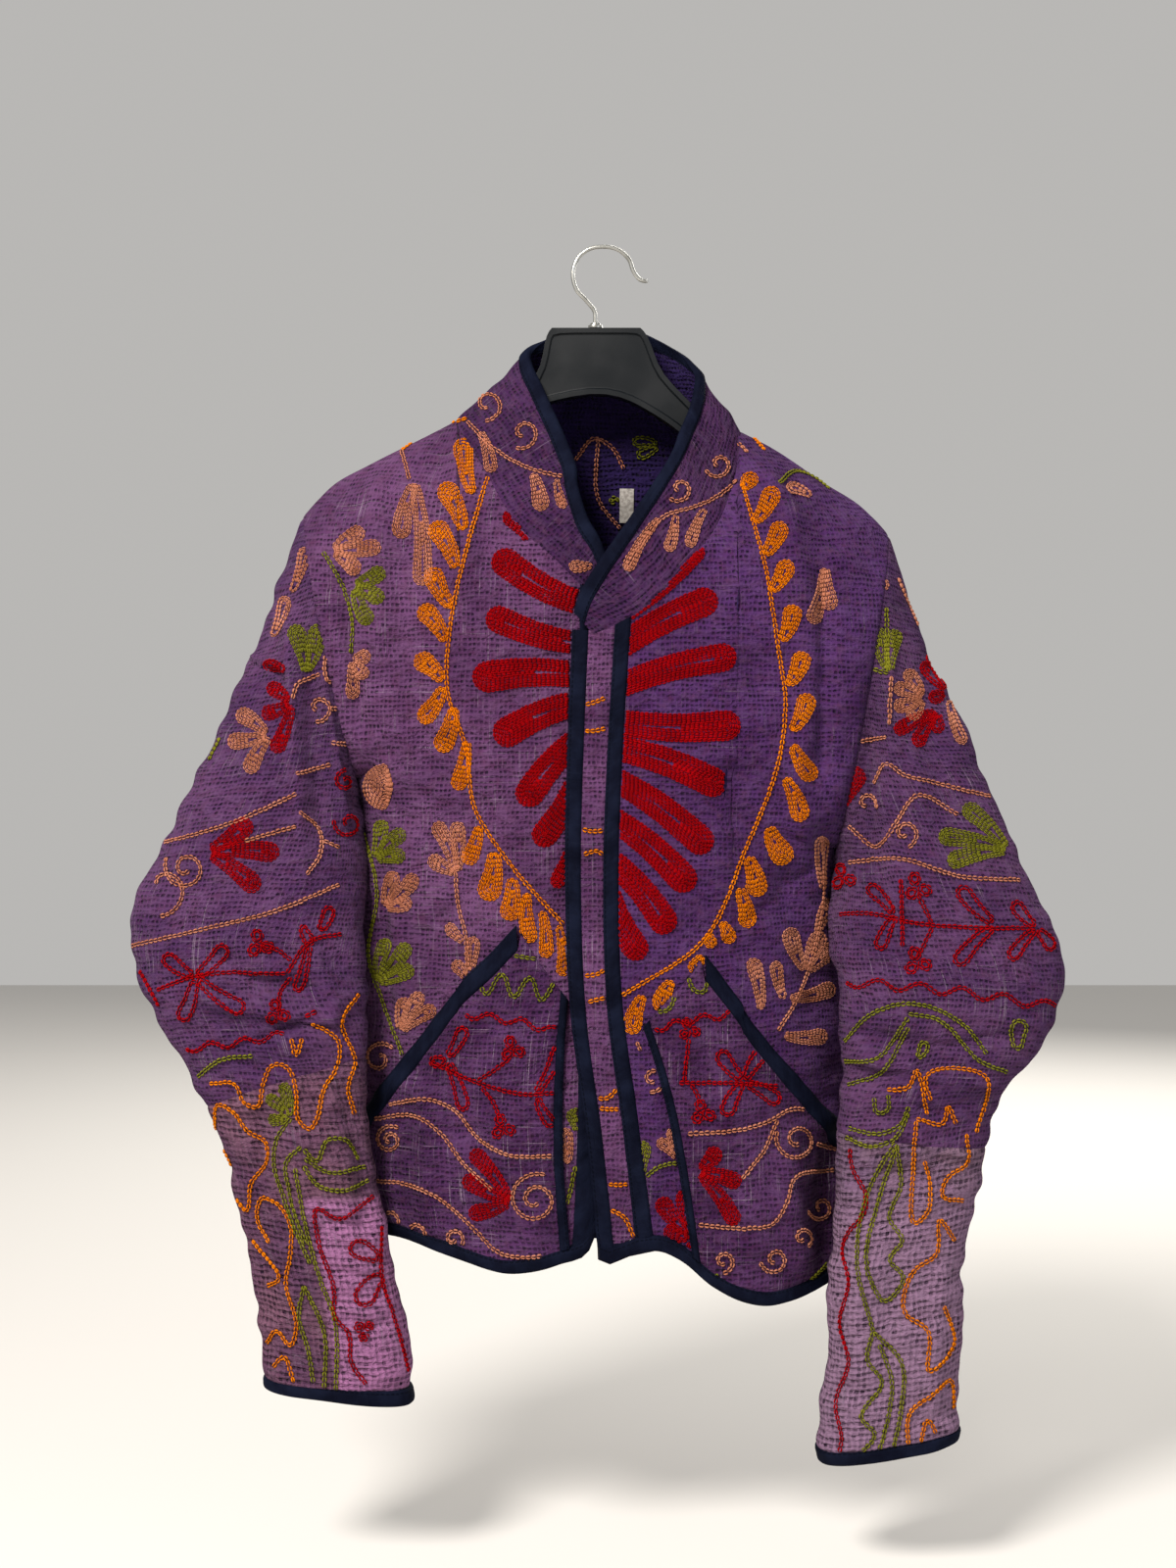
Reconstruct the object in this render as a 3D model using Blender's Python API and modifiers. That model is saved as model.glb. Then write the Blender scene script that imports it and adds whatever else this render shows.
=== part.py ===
"""Short quilted kantha jacket, hung on a wide-crest clothes hanger.

Lengths in the tables are in millimetres, and MM turns them into metres. +X is the viewer's right,
+Y is away from the viewer and +Z is up. The origin is the top of the hook's inner side, where a nail
or a rail carries it. Names give the wearer's side: the right front is on the viewer's left.
Every cloth piece is a wall with a plain inner face. Its quilting is raised in the outer points.
"""

import math

import bmesh
import bpy
import numpy as np

MM = 0.001

# Cloth and binding, in millimetres
WALL = 2.6
SEAM_GAP = 0.3
QUILT_RISE = 0.9
QUILT_PITCH = 21.0
BINDING_WIDTH = 11.0
BINDING_RISE = 1.0
NARROW_BINDING = 8.0
POCKET_LIFT = WALL + QUILT_RISE + 2 * SEAM_GAP
POCKET_WALL = 1.8
POCKET_HEM_GAP = 1.4

# Hanger, in millimetres
HANGER_DEPTH = 12.0
HANGER_ARM_HEIGHT = 26.0
HANGER_CLEARANCE = 3.6
HOOK_RADIUS = 1.5
BOSS_RADIUS = 5.2
BOSS_HEIGHT = 4.0

COLOURS = {
    "kantha_cloth": ((0.125, 0.060, 0.170), 0.0, 0.9),
    "navy_binding": ((0.010, 0.012, 0.030), 0.0, 0.8),
    "label_cloth": ((0.55, 0.52, 0.48), 0.0, 0.85),
    "hanger_plastic": ((0.020, 0.026, 0.032), 0.0, 0.35),
    "hook_steel": ((0.60, 0.60, 0.58), 1.0, 0.28),
}

# The collar runs round the neck from its under end, on the viewer's left, to its over end.
# Columns: x, y, z of the neck seam, then x, y, z of the collar's upper edge under its binding.
COLLAR_ROWS = [
    (-6, -57, -255, 1, -57, -246),
    (-18, -58, -243, -7, -57, -225),
    (-38, -57, -223, -19, -55, -204),
    (-53, -53, -210, -25, -50, -184),
    (-68, -46, -190, -28, -42, -166),
    (-80, -34, -168, -37, -29, -141),
    (-93, -18, -145, -49, -14, -112),
    (-104, 1, -124, -60, 4, -82),
    (-76, 25, -121, -42, 16, -69),
    (-11, 34, -122, -8, 20, -65),
    (62, 25, -125, 38, 16, -69),
    (95, 1, -131, 70, 2, -93),
    (95, -20, -157, 68, -16, -119),
    (87, -36, -182, 59, -31, -143),
    (71, -54, -213, 48, -45, -167),
    (56, -62, -230, 34, -54, -190),
    (41, -67, -248, 19, -62, -213),
    (25, -71, -263, 2, -69, -239),
    (8, -73, -273, -9, -72, -258),
    (-8, -74, -280, -14, -73, -273),
]
# Where each front and the back take up the neck seam, as row numbers of COLLAR_ROWS
UNDER_END, RIGHT_SHOULDER, LEFT_SHOULDER, OVER_END = 0, 7, 11, 19

# Shoulder seams from the neck to the sleeve head. Columns: x, y, z.
SHOULDER_RIGHT = [
    (-104, 1, -124),
    (-125, 0, -135),
    (-165, 0, -155),
    (-190, 0, -169),
    (-212, -3, -194),
]
SHOULDER_LEFT = [(95, 1, -131), (118, 0, -143), (157, 0, -169), (180, 0, -184), (200, -3, -206)]

# Sleeve sections from the sleeve head to the cuff.
# Columns: x and z of the outer edge, x and z of the inner edge, y of the middle, half the depth.
SLEEVE_RIGHT = [
    (-212, -194, -175, -377, -3, 44),
    (-233, -257, -178, -407, -8, 42),
    (-252, -304, -178, -431, -14, 40),
    (-270, -350, -176, -454, -22, 38),
    (-309, -430, -172, -488, -34, 36),
    (-325, -478, -170, -514, -42, 34),
    (-322, -512, -168, -536, -46, 33),
    (-302, -549, -167, -558, -48, 32),
    (-277, -593, -167, -595, -48, 31),
    (-256, -653, -161, -653, -47, 30),
    (-241, -722, -147, -722, -44, 28),
    (-234, -785, -137, -788, -41, 27),
    (-232, -799, -135, -812, -40, 27),
]
SLEEVE_LEFT = [
    (200, -206, 163, -426, -3, 44),
    (214, -253, 167, -449, -8, 42),
    (229, -297, 168, -464, -14, 40),
    (247, -337, 168, -479, -22, 38),
    (272, -400, 167, -503, -34, 36),
    (301, -469, 166, -526, -42, 34),
    (316, -512, 166, -545, -46, 33),
    (305, -553, 166, -567, -48, 32),
    (274, -593, 166, -603, -48, 31),
    (257, -657, 163, -661, -47, 30),
    (246, -722, 159, -728, -44, 28),
    (245, -790, 155, -801, -42, 27),
    (243, -837, 151, -853, -40, 27),
]
# The piecing seam below the elbow, as a share of the sleeve's length, and its slant towards the
# outer edge. A plus sign lowers the outer edge.
PIECING_RIGHT = (0.585, 0.035)
PIECING_LEFT = (0.600, 0.015)

# Side seams from the underarm to the hem. Columns: x, y, z.
SIDE_RIGHT = [
    (-175, -3, -377),
    (-164, 8, -410),
    (-172, 17, -455),
    (-178, 22, -524),
    (-177, 24, -605),
    (-171, 21, -699),
]
SIDE_LEFT = [
    (163, -3, -426),
    (156, 8, -456),
    (164, 17, -500),
    (172, 22, -560),
    (174, 24, -640),
    (171, 21, -727),
]

# Front edges from the neck to the hem. Columns: x, y, z.
EDGE_RIGHT = [(-6, -57, -255), (-7, -59, -450), (-6, -57, -690)]
EDGE_LEFT = [
    (-22, -73, -277),
    (-25, -71, -349),
    (-27, -70, -449),
    (-23, -69, -542),
    (-13, -67, -617),
    (-4, -66, -708),
]

# Hems from the front edge to the side seam. Columns: x, z.
HEM_RIGHT = [
    (-6, -690),
    (-14, -707),
    (-32, -712),
    (-52, -717),
    (-67, -718),
    (-90, -713),
    (-116, -707),
    (-146, -700),
    (-171, -699),
]
HEM_LEFT = [
    (-4, -708),
    (4, -711),
    (20, -704),
    (38, -703),
    (51, -708),
    (76, -727),
    (93, -736),
    (112, -741),
    (142, -737),
    (171, -727),
]
HEM_BACK = [(-171, -699), (-120, -707), (-60, -712), (0, -714), (60, -719), (120, -726), (171, -727)]

# Long folds that hang in the cloth. Columns: place across the piece, width, place down the piece
# where the fold starts, and how far it stands forward (minus goes back), in millimetres at the hem.
FOLDS_RIGHT = [(0.36, 0.20, 0.45, 9.0), (0.74, 0.16, 0.50, -6.0)]
FOLDS_LEFT = [(0.20, 0.14, 0.55, -5.0), (0.62, 0.18, 0.40, 10.0), (0.92, 0.12, 0.45, -6.0)]
FOLDS_BACK = [(0.22, 0.12, 0.35, 7.0), (0.50, 0.13, 0.45, -6.0), (0.76, 0.12, 0.35, 7.0)]

# The back's depth from the hanger's middle plane, how the sections round off towards the side
# seams, and the share of the height over which the cloth falls from the shoulders to full depth
BACK_DEPTH = 42.0
ROUNDING = 1 / 2.2
SHOULDER_REACH = 0.2

# Pockets. Each entry is x, z of a corner, as seen from the front.
POCKETS = {
    "right": {
        "inner_top": (-25, -530),
        "inner_hem": (-24, -705),
        "corner": (-60, -479),
        "mouth_end": (-166, -612),
    },
    "left": {
        "inner_top": (26, -548),
        "inner_hem": (61, -708),
        "corner": (69, -499),
        "mouth_end": (164, -622),
    },
}

# The over front's placket, from its edge inwards. Columns: name, width at the neck, at the hem.
PLACKET = [("edge_binding", 11.5, 11.0), ("band", 19.0, 11.0), ("seam_binding", 12.5, 8.5)]
STRIP_DROP = 3.0

# Folds in a sleeve. Columns: place round it, width, place down it, length, and the share by which
# it stands out from the sleeve's half depth (minus is a dent).
SLEEVE_FOLDS = [
    (0.36, 0.10, 0.50, 0.018, -0.16),
    (0.33, 0.12, 0.56, 0.018, -0.14),
    (0.20, 0.05, 0.22, 0.160, 0.10),
    (0.70, 0.10, 0.52, 0.020, -0.16),
    (0.27, 0.14, 0.63, 0.016, -0.10),
]
SLEEVE_LENGTH = 620.0

# Shares of the shoulder where the hanger's arms have a section, and how much they taper
HANGER_ARM_SHARES = (0.10, 0.26, 0.44, 0.62, 0.80, 0.94)
HANGER_ARM_TAPER = 0.45
COLLAR_PARTS = 3

# Label corners on the back's inner face, as x, z
LABEL_CORNERS = ((12, -166), (22, -191))
LABEL_THICKNESS = 0.6

# How the grids are divided
SLEEVE_SIDES = 16
UNDERARM_EASE = 18.0
NECK_COLUMNS = 4
POCKET_COLUMN = 2
BACK_NECK_COLUMNS = 6
SHOULDER_COLUMNS = (0.35, 0.65, 0.88, 1.0)
HEAD_ROWS = 22
SEAM_ROWS = 28
RUN_POINTS = 24
TURN_POINTS = 33

# The hanger's crest. Columns: x, upper z, lower z.
CREST_TOP = -57.5
HANGER_CREST = [
    (-100, -135, -159),
    (-62, -105, -130),
    (-47, -93, -116),
    (-43, -76, -112),
    (-41, -62, -111),
    (-37, CREST_TOP, -109.5),
    (-8, CREST_TOP, -103),
    (12, CREST_TOP, -106),
    (26, CREST_TOP, -113),
    (31, -62, -116),
    (36, -76, -119),
    (41, -90, -122),
    (57, -106, -133),
    (92, -142, -166),
]

# The hook's wire, from the boss to its tip. Columns: x, z of the wire's middle.
HOOK_ROWS = [
    (-6, -52.9),
    (-6.5, -45),
    (-12, -37.5),
    (-19.5, -29),
    (-22, -17),
    (-18, -6),
    (-10, 0),
    (0, 1.5),
    (10, -0.5),
    (18, -7.5),
    (21.5, -16.5),
    (26, -22),
    (32, -23.5),
]


def unit(vectors):
    """Vectors of length one, along the last axis."""
    lengths = np.linalg.norm(vectors, axis=-1, keepdims=True)
    return vectors / np.maximum(lengths, 1e-12)


def between(share, knots, rows):
    """Rows read off straight lines between knots."""
    columns = [np.interp(share, knots, rows[:, k]) for k in range(rows.shape[1])]
    return np.stack(columns, axis=-1)


class Curve:
    """A smooth curve through the rows of a table, read by the share of its length from 0 to 1."""

    def __init__(self, rows):
        self.rows = np.array(rows, float)
        steps = np.linalg.norm(np.diff(self.rows[:, :3], axis=0), axis=1)
        lengths = np.concatenate([[0.0], np.cumsum(steps)])
        self.knots = lengths / lengths[-1]
        self.slopes = np.gradient(self.rows, self.knots, axis=0)

    def at(self, share):
        """Points at these shares of the length."""
        share = np.clip(np.asarray(share, float), 0.0, 1.0)
        index = np.clip(np.searchsorted(self.knots, share, side="right") - 1, 0, len(self.knots) - 2)
        span = self.knots[index + 1] - self.knots[index]
        t = ((share - self.knots[index]) / span)[..., None]
        span = span[..., None]
        start, end = self.rows[index], self.rows[index + 1]
        out, into = self.slopes[index], self.slopes[index + 1]
        square, cube = t * t, t * t * t
        return (
            start * (2 * cube - 3 * square + 1)
            + out * span * (cube - 2 * square + t)
            + end * (3 * square - 2 * cube)
            + into * span * (cube - square)
        )


class Line(Curve):
    """The same, in straight runs between its rows."""

    def at(self, share):
        """Points at these shares of the length."""
        return between(np.asarray(share, float), self.knots, self.rows)


def joined(*runs):
    """The rows of several runs of points that meet end to end."""
    rows = [np.array(runs[0], float)]
    for run in runs[1:]:
        rows.append(np.array(run, float)[1:])
    return np.concatenate(rows)


def even(rows, count=RUN_POINTS):
    """Points at even steps along the curve through a table's rows."""
    return Curve(rows).at(np.linspace(0.0, 1.0, count))[:, :3]


class Surface:
    """A surface as a function of u and v, with its limits and the sign that turns its normals out."""

    def __init__(self, point, sign, u_limits=(0.0, 1.0), v_limits=(0.0, 1.0)):
        self.point, self.sign = point, sign
        self.u_limits, self.v_limits = u_limits, v_limits

    def normals(self, u, v, step=2e-3):
        """Unit normals, from small steps in u and v."""
        u0, u1 = np.clip([u - step, u + step], *self.u_limits)
        v0, v1 = np.clip([v - step, v + step], *self.v_limits)
        along_u = self.point(u1, v) - self.point(u0, v)
        along_v = self.point(u, v1) - self.point(u, v0)
        return self.sign * unit(np.cross(along_u, along_v))


class Sleeve:
    """A tube lofted through a sleeve's sections. u runs round it and v runs down to the cuff."""

    def __init__(self, rows, sign, piecing):
        self.piecing = piecing
        table = np.array(rows, float)
        middle = (table[:, 0:2] + table[:, 2:4]) / 2
        self.sections = Curve(np.concatenate([middle, table[:, 4:5], table], axis=1))
        self.surface = Surface(self.point, sign, u_limits=(-1.0, 2.0))

    def section(self, v):
        """Middle, half the width as a vector, and half the depth, at v."""
        row = self.sections.at(v)
        outer = np.stack([row[..., 3], row[..., 7], row[..., 4]], axis=-1)
        inner = np.stack([row[..., 5], row[..., 7], row[..., 6]], axis=-1)
        return (outer + inner) / 2, (outer - inner) / 2, row[..., 8]

    def point(self, u, v):
        """Points of the sleeve's inner face. u is 0 at the outer edge and 0.25 at the front."""
        u, v = np.broadcast_arrays(np.asarray(u, float), np.asarray(v, float))
        middle, half, depth = self.section(v)
        angle = 2 * np.pi * u
        across = np.sign(np.cos(angle)) * np.abs(np.cos(angle)) ** 0.9
        along = np.sign(np.sin(angle)) * np.abs(np.sin(angle)) ** 0.8
        point = middle + half * across[..., None]
        point[..., 1] -= depth * along * (1.0 + self.folds(u, v))
        return point

    def folds(self, u, v):
        """Dents across the bend of the elbow and one pressed crease down the front."""
        total = np.zeros_like(u)
        for place, width, height, length, amount in SLEEVE_FOLDS:
            total = total + amount * np.exp(-(((u - place) / width) ** 2) - ((v - height) / length) ** 2)
        return total

    def corners(self):
        """Turns, points and normals at the corners of the sleeve head, as the tube divides it."""
        turns = np.arange(SLEEVE_SIDES + 1) / SLEEVE_SIDES
        none = np.zeros_like(turns)
        half, depth = self.section(none)[1:]
        angle = 2 * np.pi * turns
        reach = np.linalg.norm(half, axis=-1)
        normal = unit(half) * (np.maximum(np.cos(angle), -0.15) / reach)[..., None]
        normal[..., 1] -= np.sin(angle) / depth
        return turns, self.point(turns, none), unit(normal)

    def head(self, turn):
        """The sleeve head, in straight runs between its corners, for the front and the back to follow."""
        turns, points, _ = self.corners()
        return between(turn, turns, points)

    def head_normal(self, turn):
        """The way out of the sleeve head, in its own plane."""
        turns, _, normal = self.corners()
        return between(turn, turns, normal)

    def piecing_at(self, u):
        """The piecing seam's v round the sleeve."""
        middle, slant = self.piecing
        return middle + slant * np.cos(2 * np.pi * u)


SLEEVES = {
    "right": Sleeve(SLEEVE_RIGHT, -1, PIECING_RIGHT),
    "left": Sleeve(SLEEVE_LEFT, 1, PIECING_LEFT),
}
COLLAR = Curve(COLLAR_ROWS)


class Panel:
    """A body panel over four edge curves. u runs across it and v runs down it.

    Its outline blends the four edges, and its depth is worked out from the body's sections.
    """

    def __init__(self, top, hem, start, end, folds, sign, depth=None):
        self.top, self.hem, self.start, self.end = top, hem, start, end
        self.folds, self.depth = folds, depth
        self.surface = Surface(self.point, sign)

    def outline(self, u, v):
        """x and z, from the top edge down to the hem, with the side edges' shapes blended in."""
        top, hem = self.top.at(u), self.hem.at(u)
        start = self.start.at(v) - between(v, [0.0, 1.0], self.start.at([0.0, 1.0]))
        end = self.end.at(v) - between(v, [0.0, 1.0], self.end.at([0.0, 1.0]))
        u, v = u[..., None], v[..., None]
        start_weight = 1 - u if self.depth is None else (1 - u) ** 3
        return (1 - v) * top + v * hem + start_weight * start + u**3 * end

    def point(self, u, v):
        """Points of the panel's inner face."""
        u, v = np.broadcast_arrays(np.asarray(u, float), np.asarray(v, float))
        point = self.outline(u, v)
        at_top = self.body(u, np.zeros_like(v))
        fall = np.maximum(1.0 - v / SHOULDER_REACH, 0.0) ** 2
        point[..., 1] = self.body(u, v) + (self.top.at(u)[..., 1] - at_top) * fall + self.waves(u, v)
        return point

    def body(self, u, v):
        """y of the body's section, rounded off towards the side seams."""
        start, end = self.start.at(v)[..., 1], self.end.at(v)[..., 1]
        if self.depth is None:
            return end + (start - end) * (1.0 - np.clip(u, 0, 1) ** 3) ** ROUNDING
        across = np.clip(np.abs(2 * u - 1), 0, 1)
        sides = end * u + start * (1 - u)
        return sides + (self.depth - sides) * (1.0 - across**3) ** ROUNDING

    def waves(self, u, v):
        """The long folds, which grow from where they start down to the hem."""
        total = np.zeros_like(u)
        for place, width, begins, amount in self.folds:
            grow = np.clip((v - begins) / (1 - begins), 0.0, 1.0)
            grow = grow * grow * (3 - 2 * grow)
            total = total + amount * grow * np.exp(-(((u - place) / width) ** 2))
        total = total * np.sqrt(np.sin(math.pi * np.clip(u, 0, 1)).clip(0.0, 1.0))
        return -total if self.depth is None else total


def collar_run(first, last):
    """Collar shares at even steps between two rows of its table."""
    return np.linspace(COLLAR.knots[first], COLLAR.knots[last], RUN_POINTS)


def hem_curve(rows, y_first, y_last):
    """A hem's curve. Its y only sets the corners, because the panel works out the rest."""
    depths = np.linspace(y_first, y_last, len(rows))
    return Curve([(x, y, z) for (x, z), y in zip(rows, depths)])


def side_edge(side, seam, turns):
    """The sleeve head's front or back half and then the side seam, as one edge."""
    head = SLEEVES[side].head(turns)
    head[-1] = seam[0]
    return Line(joined(head, even(seam, 14)))


FRONT_TURNS = np.linspace(0.0, 0.5, TURN_POINTS)
BACK_TURNS = np.linspace(1.0, 0.5, TURN_POINTS)
NECK_RUNS = {
    "right": collar_run(UNDER_END, RIGHT_SHOULDER),
    "left": collar_run(LEFT_SHOULDER, OVER_END)[::-1],
    "back": collar_run(RIGHT_SHOULDER, LEFT_SHOULDER),
}


def make_panels():
    """The two fronts and the back, as surfaces."""
    necks = {name: COLLAR.at(run)[:, :3] for name, run in NECK_RUNS.items()}
    necks["left"][0] = EDGE_LEFT[0]
    right = Panel(
        top=Curve(joined(necks["right"], even(SHOULDER_RIGHT))),
        hem=hem_curve(HEM_RIGHT, EDGE_RIGHT[-1][1], SIDE_RIGHT[-1][1]),
        start=Curve(EDGE_RIGHT),
        end=side_edge("right", SIDE_RIGHT, FRONT_TURNS),
        folds=FOLDS_RIGHT,
        sign=1,
    )
    left = Panel(
        top=Curve(joined(necks["left"], even(SHOULDER_LEFT))),
        hem=hem_curve(HEM_LEFT, EDGE_LEFT[-1][1], SIDE_LEFT[-1][1]),
        start=Curve(EDGE_LEFT),
        end=side_edge("left", SIDE_LEFT, FRONT_TURNS),
        folds=FOLDS_LEFT,
        sign=-1,
    )
    back = Panel(
        top=Curve(joined(even(SHOULDER_RIGHT)[::-1], necks["back"], even(SHOULDER_LEFT))),
        hem=hem_curve(HEM_BACK, SIDE_RIGHT[-1][1], SIDE_LEFT[-1][1]),
        start=side_edge("right", SIDE_RIGHT, BACK_TURNS),
        end=side_edge("left", SIDE_LEFT, BACK_TURNS),
        folds=FOLDS_BACK,
        sign=1,
        depth=BACK_DEPTH,
    )
    return {"right": right, "left": left, "back": back}


PANELS = make_panels()
TOP_GAP = SEAM_GAP / 500
SIDE_GAP = 2e-6


def hem_share(surface, u, distance):
    """How much of v this distance above the hem is, at each u."""
    near = surface.point(u, np.full_like(u, 0.97))
    length = np.linalg.norm(surface.point(u, np.ones_like(u)) - near, axis=-1) / 0.03
    return distance / length


def edge_share(surface, v, distance):
    """How much of u this distance sideways from the front edge is, at each v."""
    near = surface.point(np.full_like(v, 0.04), v)
    width = np.abs(near[..., 0] - surface.point(np.zeros_like(v), v)[..., 0]) / 0.04
    return distance / width


def locate(surface, place):
    """The u and v where a surface passes this x and z."""
    u, v = 0.5, 0.5
    step = 1e-3
    for _ in range(30):
        here = surface.point(u, v)
        by_u = (surface.point(u + step, v) - here) / step
        by_v = (surface.point(u, v + step) - here) / step
        slope = np.array([[by_u[0], by_v[0]], [by_u[2], by_v[2]]])
        move = np.linalg.solve(slope, [place[0] - here[0], place[1] - here[2]]).clip(-0.1, 0.1)
        u = float(np.clip(u + move[0], 0.005, 0.99))
        v = float(np.clip(v + move[1], 0.005, 0.99))
    return u, v


def placket_edge(name):
    """A function of v: how far from the over front's edge one of the placket's lines runs."""
    widths = PLACKET[: [row[0] for row in PLACKET].index(name) + 1]

    def distance(v):
        return sum(first + (last - first) * v for _, first, last in widths)

    return distance


def front_inner_edge(side, v):
    """How far from the front edge a front's main piece begins."""
    distance = placket_edge("seam_binding")(v) if side == "left" else BINDING_WIDTH + 0 * v
    return distance + SEAM_GAP


def front_u(side, across, v):
    """u at shares across a front's main piece, on columns that start at its inner edge."""
    start = edge_share(PANELS[side].surface, v, front_inner_edge(side, v))
    return start + across * (1.0 - SIDE_GAP - start)


def front_columns(side):
    """Shares across a front's main piece. One column passes the pocket's corner, one the neck's."""
    corner_u, corner_v = locate(PANELS[side].surface, POCKETS[side]["corner"])
    start = float(front_u(side, 0.0, np.array(corner_v)))
    pocket = (corner_u - start) / (1.0 - SIDE_GAP - start)
    start = float(front_u(side, 0.0, np.array(TOP_GAP)))
    span = 1.0 - SIDE_GAP - start
    corner = PANELS[side].top.knots[RUN_POINTS - 1]
    neck = (corner - start) / span
    shoulder = (corner + (1 - corner) * np.array(SHOULDER_COLUMNS) - start) / span
    shoulder[-1] = 1.0
    return np.array([0.0, pocket / 2, pocket, (pocket + neck) / 2, neck, *shoulder])


def back_columns():
    """u across the back: its shoulders as the fronts', and even steps along the neck."""
    knots = PANELS["back"].top.knots
    first, last = knots[RUN_POINTS - 1], knots[2 * RUN_POINTS - 2]
    shares = np.array(SHOULDER_COLUMNS)
    right = first * (1 - shares[::-1])
    neck = np.linspace(first, last, BACK_NECK_COLUMNS + 1)
    left = last + (1 - last) * shares
    return np.concatenate([right, neck, left])


COLUMNS = {"right": front_columns("right"), "left": front_columns("left"), "back": back_columns()}


def stitches():
    """Collar shares where the body panels' columns meet the neck seam, in order round the neck."""
    found = [np.array([0.0])]
    for side in ("right", "left"):
        top = PANELS[side].top.knots[:RUN_POINTS]
        u = front_u(side, COLUMNS[side][: NECK_COLUMNS + 1], np.array(TOP_GAP))
        found.append(np.interp(u, top, NECK_RUNS[side]))
    knots = PANELS["back"].top.knots[RUN_POINTS - 1 : 2 * RUN_POINTS - 1]
    neck = COLUMNS["back"][len(SHOULDER_COLUMNS) : len(SHOULDER_COLUMNS) + BACK_NECK_COLUMNS + 1]
    found.append(np.interp(neck, knots, NECK_RUNS["back"]))
    found.append(np.array([1.0]))
    return np.unique(np.round(np.concatenate(found), 6))


def smooth_collar(u, v):
    """The collar's inner face on its smooth curves. v is 0 at the neck and 1 under the top binding."""
    u, v = np.broadcast_arrays(np.asarray(u, float), np.asarray(v, float))
    row = COLLAR.at(u)
    return row[..., 0:3] + (row[..., 3:6] - row[..., 0:3]) * v[..., None]


SMOOTH_COLLAR = Surface(smooth_collar, -1, v_limits=(-1.0, 3.0))
STITCHES = stitches()
STITCH_POINTS = COLLAR.at(STITCHES)[:, :3]
STITCH_NORMALS = SMOOTH_COLLAR.normals(STITCHES, np.zeros_like(STITCHES))


def collar_point(u, v):
    """The collar's inner face, with its neck seam in straight runs between the panels' columns."""
    u, v = np.broadcast_arrays(np.asarray(u, float), np.asarray(v, float))
    shift = between(u, STITCHES, STITCH_POINTS) - COLLAR.at(u)[..., 0:3]
    return smooth_collar(u, v) + shift * np.clip(1.0 - v, 0.0, 1.0)[..., None]


COLLAR_SURFACE = Surface(collar_point, -1, v_limits=(-1.0, 3.0))


def collar_share(u, distance):
    """How far past v = 1 the collar goes for this distance, at each u."""
    row = COLLAR.at(u)
    width = np.linalg.norm(row[..., 3:6] - row[..., 0:3], axis=-1)
    return distance / np.maximum(width, 5.0)


def material(slot):
    """The slot's material: its colour, metal and roughness."""
    colour, metallic, roughness = COLOURS[slot]
    made = bpy.data.materials.new(slot)
    made.use_nodes = True
    shader = made.node_tree.nodes["Principled BSDF"]
    shader.inputs["Base Color"].default_value = (*colour, 1.0)
    shader.inputs["Metallic"].default_value = metallic
    shader.inputs["Roughness"].default_value = roughness
    made.diffuse_color = (*colour, 1.0)
    return made


def add_mesh(name, slot, points, faces):
    """A new object from points in millimetres and faces, turned to face outwards."""
    mesh = bpy.data.meshes.new(name)
    shape = bmesh.new()
    corners = [shape.verts.new([float(value) * MM for value in point]) for point in points]
    for face in faces:
        shape.faces.new([corners[index] for index in face])
    bmesh.ops.recalc_face_normals(shape, faces=shape.faces)
    shape.to_mesh(mesh)
    shape.free()
    mesh.shade_smooth()
    mesh.set_sharp_from_angle(angle=math.radians(40))
    made = bpy.data.objects.new(name, mesh)
    made.data.materials.append(MATERIALS[slot])
    COLLECTION.objects.link(made)
    return made


def wall_faces(across, rows, closed):
    """Faces of a wall: its outer grid, its inner grid of every second row, and the rims between."""
    kept = (rows + 1) // 2
    faces = []

    def out(i, j):
        return (i % across) * rows + j

    def into(i, j):
        return across * rows + (i % across) * kept + j

    for i in range(across if closed else across - 1):
        for j in range(rows - 1):
            faces.append((out(i, j), out(i + 1, j), out(i + 1, j + 1), out(i, j + 1)))
        for j in range(kept - 1):
            faces.append((into(i, j), into(i, j + 1), into(i + 1, j + 1), into(i + 1, j)))
        faces.append((out(i, 0), into(i, 0), into(i + 1, 0), out(i + 1, 0)))
        faces.append((out(i, rows - 1), out(i + 1, rows - 1), into(i + 1, kept - 1), into(i, kept - 1)))
    for i in () if closed else (0, across - 1):
        for j in range(kept - 1):
            faces.append((into(i, j), into(i, j + 1), out(i, 2 * j + 2), out(i, 2 * j + 1)))
            faces.append((into(i, j), out(i, 2 * j + 1), out(i, 2 * j)))
    return faces


def add_wall(name, slot, surface, grid, low, high, rise=0.0, closed=False, seams=()):
    """A closed wall over a grid of a surface.

    The grid is u and v, whose first index runs across and whose second, of odd count, runs down.
    The outer face lies `high` out, and every second row of it stands `rise` further out. The inner
    face lies `low` out. `seams` are pairs of a side of the grid and a function of u, v and normal
    that gives the normals there, which the neighbour across that seam shares.
    """
    u, v = np.broadcast_arrays(*grid)
    point = surface.point(u, v)
    normal = surface.normals(u, v)
    for where, shared in seams:
        normal[where] = shared(u[where], v[where], normal[where])
    ridge = np.zeros(u.shape[1])
    ridge[1::2] = rise
    outer = point + normal * (high + ridge)[None, :, None]
    inner = (point + normal * low)[:, ::2]
    points = np.concatenate([outer.reshape(-1, 3), inner.reshape(-1, 3)])
    return add_mesh(name, slot, points, wall_faces(*u.shape, closed))


def mesh_grid(across, down):
    """Shares across and down, as two grids."""
    return np.meshgrid(across, down, indexing="ij")


def steps(count):
    """Shares from 0 to 1 in this many even steps."""
    return np.linspace(0.0, 1.0, count + 1)


def half_rows(length):
    """How many half rows of quilting fit in a length, as an even number."""
    return 2 * max(1, round(length / QUILT_PITCH))


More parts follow.
